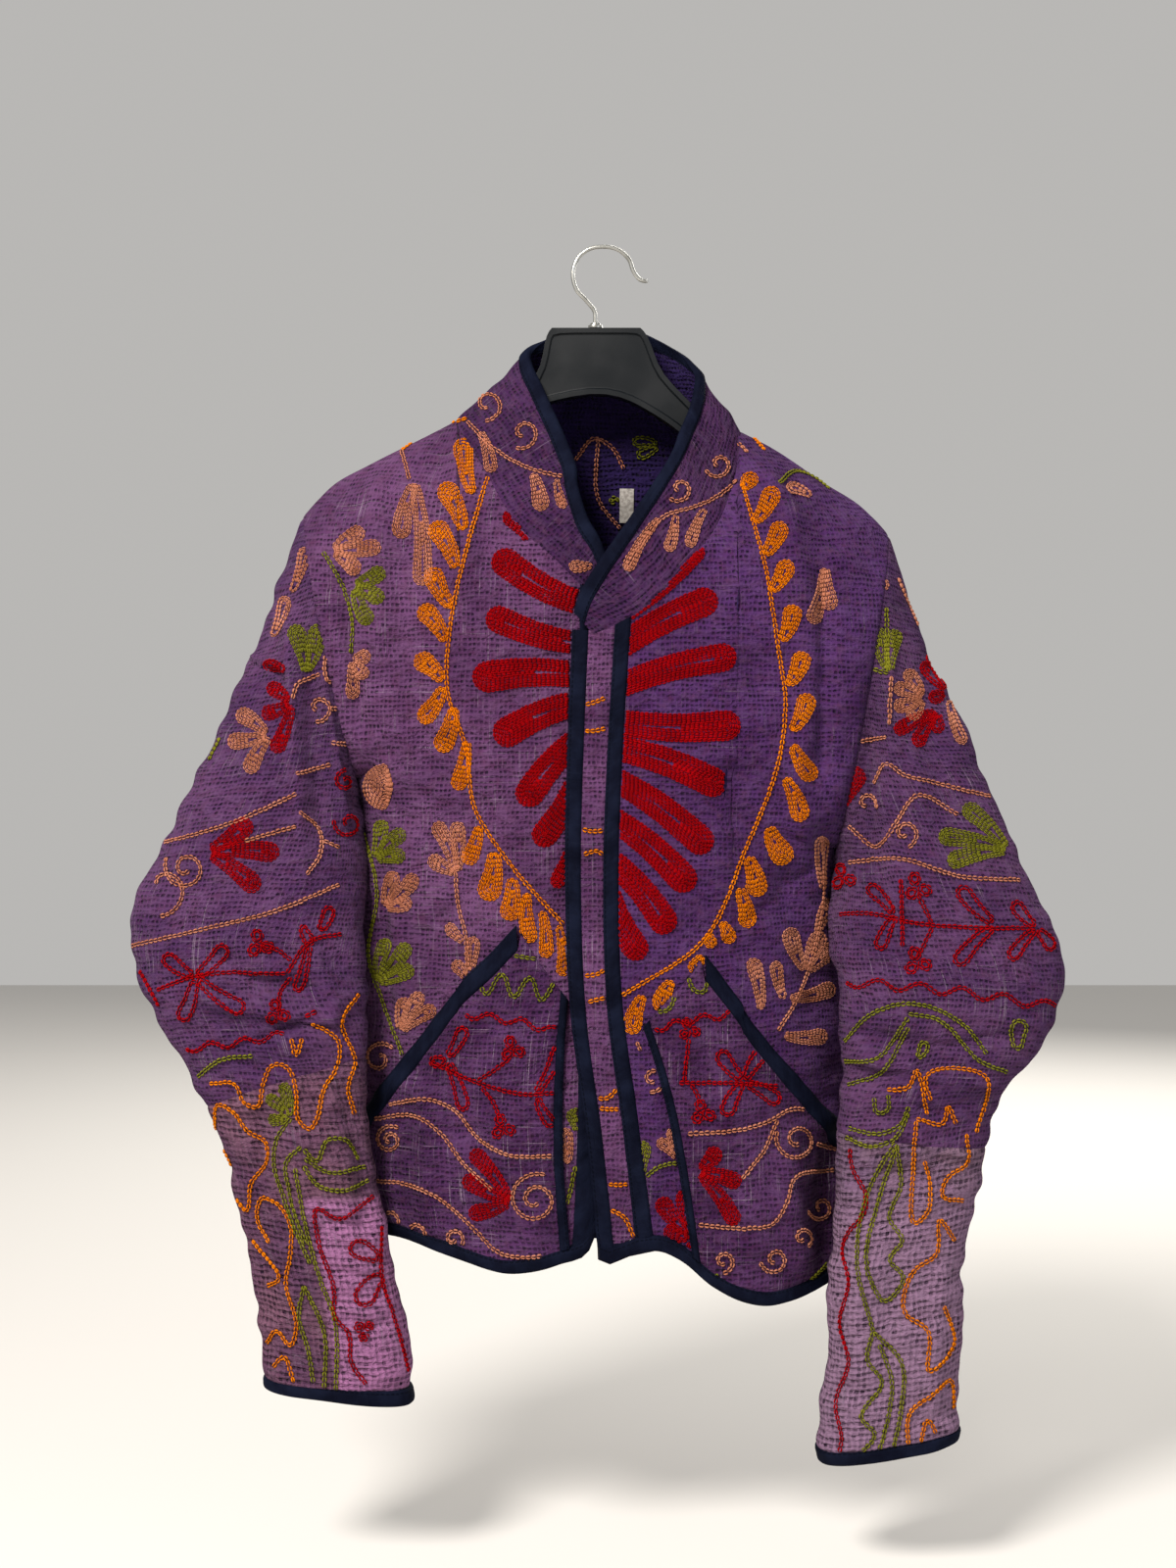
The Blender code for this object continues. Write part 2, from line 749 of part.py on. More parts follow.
def panel_rows(name, u, top, foot):
    """v down a panel: even rows to the underarm's level, then even rows to the foot."""
    panel = PANELS[name]
    underarm = panel.end.knots[TURN_POINTS - 1]
    if name == "back":
        underarm = u * underarm + (1 - u) * panel.start.knots[TURN_POINTS - 1]
    row = np.arange(HEAD_ROWS + SEAM_ROWS + 1)
    above = top + (underarm - top) * row / HEAD_ROWS
    below = underarm + (foot - underarm) * (row - HEAD_ROWS) / SEAM_ROWS
    return np.where(row < HEAD_ROWS, above, below)


def level(normal):
    """A seam normal with no part along y, which two walls that meet back to back can share."""
    flat = normal.copy()
    flat[..., 1] = 0.0
    return unit(flat)


def top_seam(name):
    """Shared normals along a panel's top edge: the collar's on the neck seam, level on a shoulder."""
    knots = PANELS[name].top.knots
    first = 0.0 if name != "back" else knots[RUN_POINTS - 1]
    last = knots[RUN_POINTS - 1] if name != "back" else knots[2 * RUN_POINTS - 2]
    spot = slice(0, RUN_POINTS) if name != "back" else slice(RUN_POINTS - 1, 2 * RUN_POINTS - 1)

    def shared(u, v, normal):
        neck = between(np.interp(u, knots[spot], NECK_RUNS[name]), STITCHES, STITCH_NORMALS)
        on_neck = ((u >= first - 1e-6) & (u <= last + 1e-6))[..., None]
        return np.where(on_neck, neck, level(normal))

    return shared


def side_seam(side, edge, turns):
    """Shared normals down a side edge: the sleeve head's, and then level ones on the side seam."""

    def shared(u, v, normal):
        knots = edge.knots[:TURN_POINTS]
        head = SLEEVES[side].head_normal(np.interp(v, knots, turns))
        return np.where((v < knots[-1] - 1e-6)[..., None], head, level(normal))

    return shared


FIRST_COLUMN, LAST_COLUMN = np.s_[0, :], np.s_[-1, :]
FIRST_ROW, LAST_ROW = np.s_[:, 0], np.s_[:, -1]


def add_front(side):
    """The main piece of one front, from its inner edge to the sleeve head and the side seam."""
    surface, panel = PANELS[side].surface, PANELS[side]
    across = COLUMNS[side][:, None]
    u = front_u(side, across, np.ones_like(across))
    for _ in range(4):
        foot = 1.0 - hem_share(surface, u, BINDING_WIDTH + SEAM_GAP)
        u = front_u(side, across, foot)
    v = panel_rows(side, u, TOP_GAP, foot)
    seams = [
        (FIRST_ROW, top_seam(side)),
        (LAST_COLUMN, side_seam(side, panel.end, FRONT_TURNS)),
    ]
    grid = (front_u(side, across, v), v)
    return add_wall(f"front_{side}", "kantha_cloth", surface, grid, 0.0, WALL, QUILT_RISE, seams=seams)


def add_back():
    """The back, in one piece."""
    panel = PANELS["back"]
    u = COLUMNS["back"][:, None].clip(SIDE_GAP, 1 - SIDE_GAP)
    foot = 1.0 - hem_share(panel.surface, u, BINDING_WIDTH + SEAM_GAP)
    v = panel_rows("back", u, TOP_GAP, foot)
    seams = [
        (FIRST_ROW, top_seam("back")),
        (FIRST_COLUMN, side_seam("right", panel.start, BACK_TURNS)),
        (LAST_COLUMN, side_seam("left", panel.end, BACK_TURNS)),
    ]
    grid = (u, v)
    return add_wall("back_panel", "kantha_cloth", panel.surface, grid, 0.0, WALL, QUILT_RISE, seams=seams)


def hem_u(side, share, v):
    """u along a hem at each v. Shares from 0 are a front's columns, and the placket's lie below 0."""
    if side == "back":
        return share.clip(SIDE_GAP, 1 - SIDE_GAP)
    return np.where(share < 0, (1 + share) * front_u(side, 0.0, v), front_u(side, share, v))


def add_hem_binding(side, high):
    """The navy strip along a hem, on the columns of the panel above it."""
    surface = PANELS[side].surface
    under = [] if side == "back" else [-1.0, -2 / 3, -1 / 3]
    share, down = mesh_grid(np.concatenate([under, COLUMNS[side]]), steps(2))
    v = np.ones_like(share)
    for _ in range(4):
        u = hem_u(side, share, v)
        v = 1.0 - hem_share(surface, u, BINDING_WIDTH) * (1 - down)
    return add_wall(f"hem_binding_{side}", "navy_binding", surface, (u, v), 0.0, high)


def add_strip(name, slot, side, low_edge, high_edge, high, rise=0.0):
    """A strip down a front, between two distances from its front edge."""
    surface = PANELS[side].surface
    across = steps(2 if rise else 1)[:, None]
    low, far = low_edge(1.0), high_edge(1.0)
    at_hem = edge_share(surface, np.ones_like(across), low + across * (far - low))
    foot = 1.0 - hem_share(surface, at_hem, BINDING_WIDTH + SEAM_GAP)
    v = panel_rows(side, at_hem, STRIP_DROP / 430, foot)
    low, far = low_edge(v), high_edge(v)
    u = edge_share(surface, v, low + across * (far - low))
    return add_wall(name, slot, surface, (u, v), 0.0, high, rise)


class Pocket:
    """A patch pocket on a front. Past its inner edge its columns are the front's own."""

    def __init__(self, side):
        sizes = POCKETS[side]
        self.side, self.surface = side, PANELS[side].surface
        self.inner = locate(self.surface, sizes["inner_top"])
        self.inner_hem = locate(self.surface, sizes["inner_hem"])
        self.corner = locate(self.surface, sizes["corner"])
        self.end = locate(self.surface, sizes["mouth_end"])
        rise = abs(sizes["mouth_end"][1] - sizes["corner"][1])
        run = abs(sizes["mouth_end"][0] - sizes["corner"][0])
        self.mouth_drop = BINDING_WIDTH * math.hypot(rise, run) / run

    def inner_line(self, distance):
        """A column this far past the inner edge, as a function of v."""

        def column(v):
            edge = np.interp(v, [self.inner[1], self.inner_hem[1]], [self.inner[0], self.inner_hem[0]])
            return edge + edge_share(self.surface, v, distance)

        return column

    def front_lines(self):
        """The front's own columns that stay clear of the inner edge, as functions of v."""
        clear = self.inner_line(NARROW_BINDING + 5.0)
        lines = []
        for share in COLUMNS[self.side]:
            below = [v for v in (self.inner[1], 1.0) if front_u(self.side, share, v) < clear(v)]
            if not below:
                lines.append(lambda v, share=share: front_u(self.side, share, v))
        return lines

    def top(self, u):
        """v along the pocket's upper edge: up the inner seam to the corner, then down the mouth."""
        places = [self.inner[0], self.corner[0], self.end[0]]
        return np.interp(u, places, [self.inner[1], self.corner[1], self.end[1]])

    def grid(self, columns, rows, begins, ends=None):
        """u and v of a grid. `begins` and `ends` are distances below the upper edge, column by column.

        Without `ends` the grid runs down to the hem binding.
        """
        down = steps(rows)
        across, along = [], []
        for index, column in enumerate(columns):
            u = column(np.full_like(down, self.corner[1]))
            for _ in range(6):
                first = self.top(u) + hem_share(self.surface, u, begins[index])
                if ends is None:
                    last = 1.0 - hem_share(self.surface, u, BINDING_WIDTH + POCKET_HEM_GAP)
                else:
                    last = self.top(u) + hem_share(self.surface, u, ends[index])
                v = first + down * (last - first)
                u = column(v)
            across.append(u)
            along.append(v)
        return np.array(across), np.array(along)


def add_pocket(side):
    """One pocket: its quilted patch, the binding of its mouth and the narrow one of its inner edge."""
    pocket = Pocket(side)
    surface, lines = pocket.surface, pocket.front_lines()
    low, high = POCKET_LIFT, POCKET_LIFT + POCKET_WALL
    bound = high + BINDING_RISE
    columns = [pocket.inner_line(NARROW_BINDING + SEAM_GAP), *lines]
    mouth_columns = lines[len(lines) - len(COLUMNS[side]) + POCKET_COLUMN :]
    before = len(columns) - len(mouth_columns)
    begins = [0.0] * before + [pocket.mouth_drop + SEAM_GAP] * len(mouth_columns)
    seams = [(LAST_COLUMN, side_seam(side, PANELS[side].end, FRONT_TURNS))]
    patch = pocket.grid(columns, half_rows(150), begins)
    add_wall(f"pocket_{side}", "kantha_cloth", surface, patch, low, high, QUILT_RISE, seams=seams)
    drops = [pocket.mouth_drop] * len(mouth_columns)
    mouth = pocket.grid(mouth_columns, 2, [0.0] * len(mouth_columns), drops)
    name = f"pocket_mouth_binding_{side}"
    add_wall(name, "navy_binding", surface, mouth, low, bound, seams=seams)
    edge = pocket.grid([pocket.inner_line(0.0), pocket.inner_line(NARROW_BINDING)], 12, [0.0, 0.0])
    add_wall(f"pocket_edge_binding_{side}", "navy_binding", surface, edge, low, bound)


def add_collar():
    """The stand collar and the navy binding of its upper edge."""
    parts = np.linspace(0.0, 1.0, COLLAR_PARTS + 1)[:-1]
    spans = zip(STITCHES[:-1], STITCHES[1:])
    columns = np.array([first + part * (last - first) for first, last in spans for part in parts] + [1.0])
    u, down = mesh_grid(columns, steps(6))
    start = collar_share(u, SEAM_GAP)

    def neck_seam(u, v, normal):
        return between(u, STITCHES, STITCH_NORMALS)

    def top_edge(u, v, normal):
        return SMOOTH_COLLAR.normals(u, np.ones_like(u))

    seams = [(FIRST_ROW, neck_seam), (LAST_ROW, top_edge)]
    grid = (u, start + down * (1.0 - start))
    add_wall("collar", "kantha_cloth", COLLAR_SURFACE, grid, 0.0, WALL, QUILT_RISE, seams=seams)
    u, down = mesh_grid(columns, steps(2))
    near, far = collar_share(u, 3 * SEAM_GAP), collar_share(u, 3 * SEAM_GAP + BINDING_WIDTH)
    grid, seams = (u, 1.0 + near + down * (far - near)), [(FIRST_ROW, top_edge)]
    bound = WALL + BINDING_RISE
    add_wall("collar_binding", "navy_binding", COLLAR_SURFACE, grid, 0.0, bound, seams=seams)


def add_sleeve(side):
    """One sleeve: its upper part, its lower part past the piecing seam, and its cuff binding."""
    sleeve = SLEEVES[side]
    around = np.arange(SLEEVE_SIDES) / SLEEVE_SIDES
    gap = SEAM_GAP / SLEEVE_LENGTH
    cuff = 1.0 - BINDING_WIDTH / SLEEVE_LENGTH
    share = sleeve.piecing[0]
    u, down = mesh_grid(around, steps(half_rows(SLEEVE_LENGTH * share)))
    underarm = ((1 - np.cos(2 * np.pi * u)) / 2) ** 6
    start = gap + UNDERARM_EASE / SLEEVE_LENGTH * underarm
    grid = (u, start + down * (sleeve.piecing_at(u) - gap - start))

    def armhole(u, v, normal):
        return sleeve.head_normal(u)

    seams = [(FIRST_ROW, armhole)]
    name = f"sleeve_{side}_upper"
    add_wall(name, "kantha_cloth", sleeve.surface, grid, 0.0, WALL, QUILT_RISE, closed=True, seams=seams)
    u, down = mesh_grid(around, steps(half_rows(SLEEVE_LENGTH * (1 - share))))
    start = sleeve.piecing_at(u)
    grid = (u, start + down * (cuff - gap - start))
    name = f"sleeve_{side}_lower"
    add_wall(name, "kantha_cloth", sleeve.surface, grid, 0.0, WALL, QUILT_RISE, closed=True)
    u, down = mesh_grid(around, steps(2))
    grid = (u, cuff + down * (1.0 - cuff))
    name = f"cuff_binding_{side}"
    add_wall(name, "navy_binding", sleeve.surface, grid, 0.0, WALL + BINDING_RISE, closed=True)


def add_label():
    """The small bare label on the inner face of the back, below the neck seam."""
    surface = PANELS["back"].surface
    (u0, v0), (u1, v1) = (locate(surface, corner) for corner in LABEL_CORNERS)
    grid = mesh_grid(np.linspace(u0, u1, 3), np.linspace(v0, v1, 5))
    add_wall("label", "label_cloth", surface, grid, -SEAM_GAP - LABEL_THICKNESS, -SEAM_GAP)


def hanger_stations():
    """x, upper z and lower z along the hanger, from tip to tip. The arms follow the shoulders."""
    arms = {}
    for name, rows in (("right", SHOULDER_RIGHT), ("left", SHOULDER_LEFT)):
        stations = []
        for share in HANGER_ARM_SHARES:
            x, _, z = Curve(rows).at(share)
            top = z - HANGER_CLEARANCE * 1.2
            stations.append((x, top, top - HANGER_ARM_HEIGHT * (1 - HANGER_ARM_TAPER * share**3)))
        arms[name] = stations
    return arms["right"][::-1] + HANGER_CREST + arms["left"]


def add_hanger_body():
    """The moulded hanger: a loft along x of upright sections with round upper and lower edges."""
    radius = HANGER_DEPTH / 2
    turns = np.linspace(0.0, math.pi, 5)
    stations = hanger_stations()
    points = []
    for x, top, bottom in stations:
        for turn in turns:
            points.append((x, radius * math.cos(turn), top - radius + radius * math.sin(turn)))
        for turn in turns:
            points.append((x, -radius * math.cos(turn), bottom + radius - radius * math.sin(turn)))
    count = 2 * len(turns)
    faces = [tuple(range(count)), tuple(range((len(stations) - 1) * count, len(stations) * count))]
    for i in range(len(stations) - 1):
        for j in range(count):
            k = (j + 1) % count
            faces.append((i * count + j, i * count + k, (i + 1) * count + k, (i + 1) * count + j))
    return add_mesh("hanger_body", "hanger_plastic", points, faces)


def add_boss():
    """The small metal boss on the crest that the hook stands in."""
    bpy.ops.mesh.primitive_cylinder_add(
        vertices=20,
        radius=BOSS_RADIUS * MM,
        depth=BOSS_HEIGHT * MM,
        location=(HOOK_ROWS[0][0] * MM, 0.0, (CREST_TOP + SEAM_GAP + BOSS_HEIGHT / 2) * MM),
    )
    boss = bpy.context.object
    boss.name = "hanger_boss"
    bevel = boss.modifiers.new("soft_rim", "BEVEL")
    bevel.width = 0.6 * MM
    bevel.segments = 2
    boss.data.materials.append(MATERIALS["hook_steel"])
    for owner in list(boss.users_collection):
        owner.objects.unlink(boss)
    COLLECTION.objects.link(boss)


def add_hook():
    """The wire hook: one smooth curve from the boss round over the origin to its open tip."""
    route = Curve([(x, 0.0, z) for x, z in HOOK_ROWS])
    points = route.at(np.linspace(0.0, 1.0, 28))
    curve = bpy.data.curves.new("hanger_hook", "CURVE")
    curve.dimensions = "3D"
    curve.bevel_depth = HOOK_RADIUS * MM
    curve.bevel_resolution = 2
    curve.use_fill_caps = True
    spline = curve.splines.new("POLY")
    spline.points.add(len(points) - 1)
    for place, point in zip(spline.points, points):
        place.co = (*[float(value) * MM for value in point], 1.0)
    hook = bpy.data.objects.new("hanger_hook", curve)
    curve.materials.append(MATERIALS["hook_steel"])
    COLLECTION.objects.link(hook)


def add_placket():
    """The over front's placket: edge binding, quilted band and seam binding, side by side."""
    bound = WALL + BINDING_RISE
    edges = [placket_edge(row[0]) for row in PLACKET]

    def past(edge):
        return lambda v: edge(v) + SEAM_GAP

    def front_edge(v):
        return 0.0 * v

    add_strip("front_edge_binding_left", "navy_binding", "left", front_edge, edges[0], bound)
    add_strip("placket_band", "kantha_cloth", "left", past(edges[0]), edges[1], WALL, QUILT_RISE)
    add_strip("placket_seam_binding", "navy_binding", "left", past(edges[1]), edges[2], bound)
    name = "front_edge_binding_right"
    add_strip(name, "navy_binding", "right", front_edge, lambda v: BINDING_WIDTH + 0 * v, bound)


def build():
    """Every piece of the jacket and its hanger."""
    add_back()
    add_front("right")
    add_front("left")
    add_placket()
    add_pocket("right")
    add_pocket("left")
    over_pocket = POCKET_LIFT + POCKET_WALL + BINDING_RISE
    add_hem_binding("right", over_pocket)
    add_hem_binding("left", over_pocket)
    add_hem_binding("back", WALL + BINDING_RISE)
    add_collar()
    for side in ("right", "left"):
        add_sleeve(side)
    add_label()
    add_hanger_body()
    add_boss()
    add_hook()


for old in list(bpy.data.objects):
    bpy.data.objects.remove(old, do_unlink=True)
COLLECTION = bpy.data.collections.new("kantha_jacket_on_hanger")
bpy.context.scene.collection.children.link(COLLECTION)
MATERIALS = {slot: material(slot) for slot in COLOURS}
build()
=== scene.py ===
"""Looks of a short quilted kantha jacket on a clothes hanger.

Lengths in the tables are in millimetres and MM turns them into metres. +X is the viewer's right,
+Y is away from the viewer and +Z is up, with the origin at the top of the hook's inner side. Names
give the wearer's side, so the right front is on the viewer's left. Embroidery and folds are placed
on a sketch of the front or the back view. A unit of the sketch is 0.7 mm in the hanger's plane, and
what is drawn on it is laid onto the cloth along the line of sight.
"""

import logging
import math
from collections.abc import Callable, Iterable, Iterator
from dataclasses import dataclass, field, replace
from enum import Enum

import bmesh
import bpy
import numpy as np
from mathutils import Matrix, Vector
from mathutils.bvhtree import BVHTree


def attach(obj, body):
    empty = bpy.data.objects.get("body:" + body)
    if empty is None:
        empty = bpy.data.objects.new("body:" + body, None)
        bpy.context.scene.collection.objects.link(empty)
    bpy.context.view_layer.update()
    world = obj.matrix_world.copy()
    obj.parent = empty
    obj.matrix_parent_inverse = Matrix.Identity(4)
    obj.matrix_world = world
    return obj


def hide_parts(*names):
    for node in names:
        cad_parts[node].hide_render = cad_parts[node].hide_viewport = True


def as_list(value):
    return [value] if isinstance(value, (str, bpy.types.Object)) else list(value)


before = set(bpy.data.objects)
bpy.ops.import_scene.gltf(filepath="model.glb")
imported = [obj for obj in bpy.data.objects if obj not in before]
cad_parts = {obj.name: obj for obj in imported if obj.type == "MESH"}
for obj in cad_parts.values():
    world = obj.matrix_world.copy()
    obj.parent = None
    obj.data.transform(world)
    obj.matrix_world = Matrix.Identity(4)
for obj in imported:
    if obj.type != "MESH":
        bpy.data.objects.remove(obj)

Array = np.ndarray
Row = tuple[float, ...]
Table = list[Row]
Along = Callable[[Array], Array]
Shared = Callable[[Array, Array, Array], Array]
Value = float | Row | bpy.types.NodeSocket
Socket = bpy.types.NodeSocket

MM = 0.001
FLAT_MAP = "flat_cloth"
IN_MILLIMETRES = (1000.0, 1000.0, 1.0)
FULL_TURN = 6.2832
LOG = logging.getLogger("kantha_jacket")

# The eye of both sketches, in millimetres, and how the sketch is laid out
EYE_X, EYE_Z, EYE_DISTANCE = -11.2, -382.2, 1600.0
SKETCH_UNIT = 0.7
SKETCH_MIDDLE = (600.0, 800.0)
SKETCH_WIDTH = 1200
PICTURE_HEIGHT = 1.12

# Cloth and bindings. A gap below nothing is a lap.
WALL = 2.6
LAP = -0.8
ROLL_REACH = 1.6
BINDING_WIDTH = 11.0
BINDING_RISE = 1.4
BINDING_FOOT = 1.6
BINDING_SINK = 0.4
NARROW_BINDING = 7.0
POCKET_LIFT = 4.1
POCKET_WALL = 1.8
POCKET_HEM_GAP = -0.8
POCKET_SETTLE, SETTLE_REACH = 1.5, 6.0
TOP_GAP = 0.0
SIDE_GAP = 2e-6
SIDE_MEET = 0.4
AT_SEAM = 1e-5
SLEEVE_LENGTH = 620.0
UNDERARM_EASE = 18.0
LEAST_COLLAR = 5.0

# Points along runs of a seam, round a half of a sleeve head and down a side seam, and columns of a strip
RUN_POINTS = 24
TURN_POINTS = 65
SEAM_POINTS = 40
STRIP_COLUMNS = 8

# Shares of a panel over which lengths at its hem and its front edge are measured
HEM_PROBE, EDGE_PROBE = 0.03, 0.04

# The collar, from its under end to its over end.
# Columns: x, y, z of the neck seam, then x, y, z of its upper edge under the binding.
COLLAR_ROWS = [
    (-6, -57, -255, 1, -57, -246),
    (-18, -58, -243, -7, -57, -225),
    (-38, -57, -223, -19, -55, -204),
    (-53, -53, -210, -25, -50, -184),
    (-68, -46, -190, -28, -42, -166),
    (-80, -34, -168, -37, -29, -141),
    (-93, -18, -145, -49, -14, -112),
    (-104, 1, -124, -60, 4, -82),
    (-76, 25, -121, -42, 16, -69),
    (-11, 34, -122, -8, 20, -65),
    (62, 25, -125, 38, 16, -69),
    (95, 1, -131, 70, 2, -93),
    (95, -20, -157, 68, -16, -119),
    (87, -36, -182, 59, -31, -143),
    (71, -54, -213, 48, -45, -167),
    (56, -62, -230, 34, -54, -190),
    (41, -67, -248, 19, -62, -213),
    (25, -71, -263, 2, -69, -239),
    (8, -73, -273, -9, -72, -258),
    (-8, -74, -280, -14, -73, -273),
]
UNDER_END, RIGHT_SHOULDER, LEFT_SHOULDER, OVER_END = 0, 7, 11, 19

# Shoulder seams from the neck to the sleeve head. Columns: x, y, z.
SHOULDER_RIGHT = [(-104, 1, -124), (-125, 0, -135), (-165, 0, -155), (-190, 0, -169), (-212, -3, -194)]
SHOULDER_LEFT = [(95, 1, -131), (118, 0, -143), (157, 0, -169), (180, 0, -184), (200, -3, -206)]

# Sleeve sections. Columns: x, z of the outer edge, x, z of the inner edge, middle y, half the depth.
SLEEVE_RIGHT = [
    (-212, -194, -175, -377, -3, 44), (-233, -257, -173, -407, -8, 42), (-252, -304, -169, -431, -14, 40),
    (-270, -350, -169, -454, -22, 38), (-309, -430, -169, -488, -34, 36), (-325, -478, -170, -514, -42, 34),
    (-322, -512, -168, -536, -46, 33), (-302, -549, -167, -558, -48, 32), (-277, -593, -167, -595, -48, 31),
    (-256, -653, -161, -653, -47, 30), (-241, -722, -147, -722, -44, 28), (-234, -785, -137, -788, -41, 27),
    (-232, -799, -135, -812, -40, 27),
]
SLEEVE_LEFT = [
    (200, -206, 163, -426, -3, 44), (214, -253, 163, -449, -8, 42), (229, -297, 161, -464, -14, 40),
    (247, -337, 161, -479, -22, 38), (272, -400, 163, -503, -34, 36), (301, -469, 166, -526, -42, 34),
    (316, -512, 166, -545, -46, 33), (305, -553, 166, -567, -48, 32), (274, -593, 166, -603, -48, 31),
    (257, -657, 163, -661, -47, 30), (246, -722, 159, -728, -44, 28), (245, -790, 155, -801, -42, 27),
    (243, -837, 151, -853, -40, 27),
]
PIECING = {"right": (0.585, 0.035), "left": (0.600, 0.015)}
ROUND_ACROSS, ROUND_DEEP, LEAST_INWARD = 0.9, 0.8, -0.15

# Side seams and front edges. Columns: x, y, z. Hems. Columns: x, z.
SIDE_RIGHT = [
    (-175, -3, -377), (-171, 8, -410), (-176, 17, -455), (-179, 22, -524), (-177, 24, -605),
    (-171, 21, -699),
]
SIDE_LEFT = [
    (163, -3, -426), (162, 8, -456), (168, 17, -500), (172, 22, -560), (174, 24, -640), (171, 21, -727),
]
EDGE_RIGHT = [(-6, -57, -255), (-7, -59, -450), (-6, -57, -690)]
EDGE_LEFT = [
    (-22, -73, -277), (-25, -71, -349), (-27, -70, -449), (-23, -69, -542), (-13, -67, -617),
    (-4, -66, -708),
]
HEM_RIGHT = [
    (-6, -690), (-14, -707), (-32, -712), (-52, -717), (-67, -718), (-90, -713), (-116, -707), (-146, -700),
    (-171, -699),
]
HEM_LEFT = [
    (-4, -708), (4, -711), (20, -704), (38, -703), (51, -708), (76, -727), (93, -736), (112, -741),
    (142, -737), (171, -727),
]
HEM_BACK = [(-171, -699), (-120, -707), (-60, -712), (0, -714), (60, -719), (120, -726), (171, -727)]

# Long folds. Columns: place across, width, place down where it starts, depth at the hem.
FOLDS_RIGHT = [(0.36, 0.20, 0.45, 9.0), (0.74, 0.16, 0.50, -6.0)]
FOLDS_LEFT = [(0.20, 0.14, 0.55, -5.0), (0.62, 0.18, 0.40, 10.0), (0.92, 0.12, 0.45, -6.0)]
FOLDS_BACK = [(0.22, 0.12, 0.35, 7.0), (0.50, 0.13, 0.45, -6.0), (0.76, 0.12, 0.35, 7.0)]
BACK_DEPTH, ROUNDING, SHOULDER_REACH = 42.0, 1 / 2.2, 0.2

# Dents and a crease in a sleeve. Columns: place round it, width, place down it, length, share.
SLEEVE_FOLDS = [
    (0.36, 0.10, 0.50, 0.018, -0.16), (0.33, 0.12, 0.56, 0.018, -0.14), (0.20, 0.05, 0.22, 0.160, 0.10),
    (0.70, 0.10, 0.52, 0.020, -0.16), (0.27, 0.14, 0.63, 0.016, -0.10),
]

# Pocket corners, as x, z: upper inner, lower inner, the mouth's upper end and its lower end
POCKETS = {
    "right": ((-25, -530), (-24, -705), (-60, -479), (-166, -612)),
    "left": ((26, -548), (61, -708), (69, -499), (164, -622)),
}
# The over front's placket. Columns: name, width at the neck, width at the hem.
PLACKET = [("edge_binding", 11.5, 11.0), ("band", 19.0, 11.0), ("seam_binding", 12.5, 8.5)]
STRIP_DROP = 0.0

CREST_TOP = -57.5
HANGER_CREST = [
    (-100, -135, -159), (-62, -105, -130), (-47, -93, -116), (-43, -76, -112), (-41, -62, -111),
    (-37, CREST_TOP, -109.5), (-8, CREST_TOP, -103), (12, CREST_TOP, -106), (26, CREST_TOP, -113),
    (31, -62, -116), (36, -76, -119), (41, -90, -122), (57, -106, -133), (92, -142, -166),
]
HOOK_ROWS = [
    (-6, -52.9), (-6.5, -45), (-12, -37.5), (-19.5, -29), (-22, -17), (-18, -6), (-10, 0), (0, 1.5),
    (10, -0.5), (18, -7.5), (21.5, -16.5), (26, -22), (32, -23.5),
]


def unit(vectors: Array) -> Array:
    """Vectors of length one, along the last axis."""
    return vectors / np.maximum(np.linalg.norm(vectors, axis=-1, keepdims=True), 1e-12)


def between(share: Array, knots: Array, rows: Array) -> Array:
    """Rows read off straight lines between knots."""
    return np.stack([np.interp(share, knots, rows[:, k]) for k in range(rows.shape[1])], axis=-1)


def arc(point: Array, axis: int) -> Array:
    """Length along a grid's lines, from 0 at the first point of each.

    Args:
        point: the grid's points.
        axis: the grid's axis along which the lines run.

    Returns:
        The length at each point.
    """
    runs = np.linalg.norm(np.diff(point, axis=axis), axis=-1)
    first = np.zeros_like(np.take(runs, [0], axis=axis))
    return np.concatenate([first, np.cumsum(runs, axis=axis)], axis=axis)


def steps(count: int) -> Array:
    """Shares from 0 to 1 in this many even steps."""
    return np.linspace(0.0, 1.0, count + 1)


def soft_step(value: Array, low: float, high: float) -> Array:
    """0 below low, 1 above high and smooth between."""
    share = np.clip((value - low) / (high - low), 0.0, 1.0)
    return share * share * (3 - 2 * share)


class Curve:
    """A smooth curve through a table's rows, read by the share of its length."""

    def __init__(self, rows: Table | Array) -> None:
        """Takes the rows, whose first columns, up to three, are the place.

        Args:
            rows: the rows.
        """
        self.rows = np.array(rows, float)
        lengths = arc(self.rows[:, :3], 0)
        self.length = float(lengths[-1])
        self.knots = lengths / lengths[-1]
        self.slopes = np.gradient(self.rows, self.knots, axis=0)

    def at(self, share: Array | float) -> Array:
        """Rows at these shares of the length.

        Args:
            share: shares of the curve's length.

        Returns:
            The rows, along a new last axis.
        """
        share = np.clip(np.asarray(share, float), 0.0, 1.0)
        index = np.clip(np.searchsorted(self.knots, share, side="right") - 1, 0, len(self.knots) - 2)
        span = (self.knots[index + 1] - self.knots[index])[..., None]
        t = (share - self.knots[index])[..., None] / span
        square, cube = t * t, t * t * t
        return (
            self.rows[index] * (2 * cube - 3 * square + 1)
            + self.slopes[index] * span * (cube - 2 * square + t)
            + self.rows[index + 1] * (3 * square - 2 * cube)
            + self.slopes[index + 1] * span * (cube - square)
        )


class Line(Curve):
    """The same, in straight runs between its rows."""

    def at(self, share: Array | float) -> Array:
        """Rows at these shares of the length."""
        return between(np.asarray(share, float), self.knots, self.rows)


def joined(*runs: Array) -> Array:
    """The rows of several runs of points that meet end to end."""
    return np.concatenate([np.array(runs[0], float), *[np.array(run, float)[1:] for run in runs[1:]]])


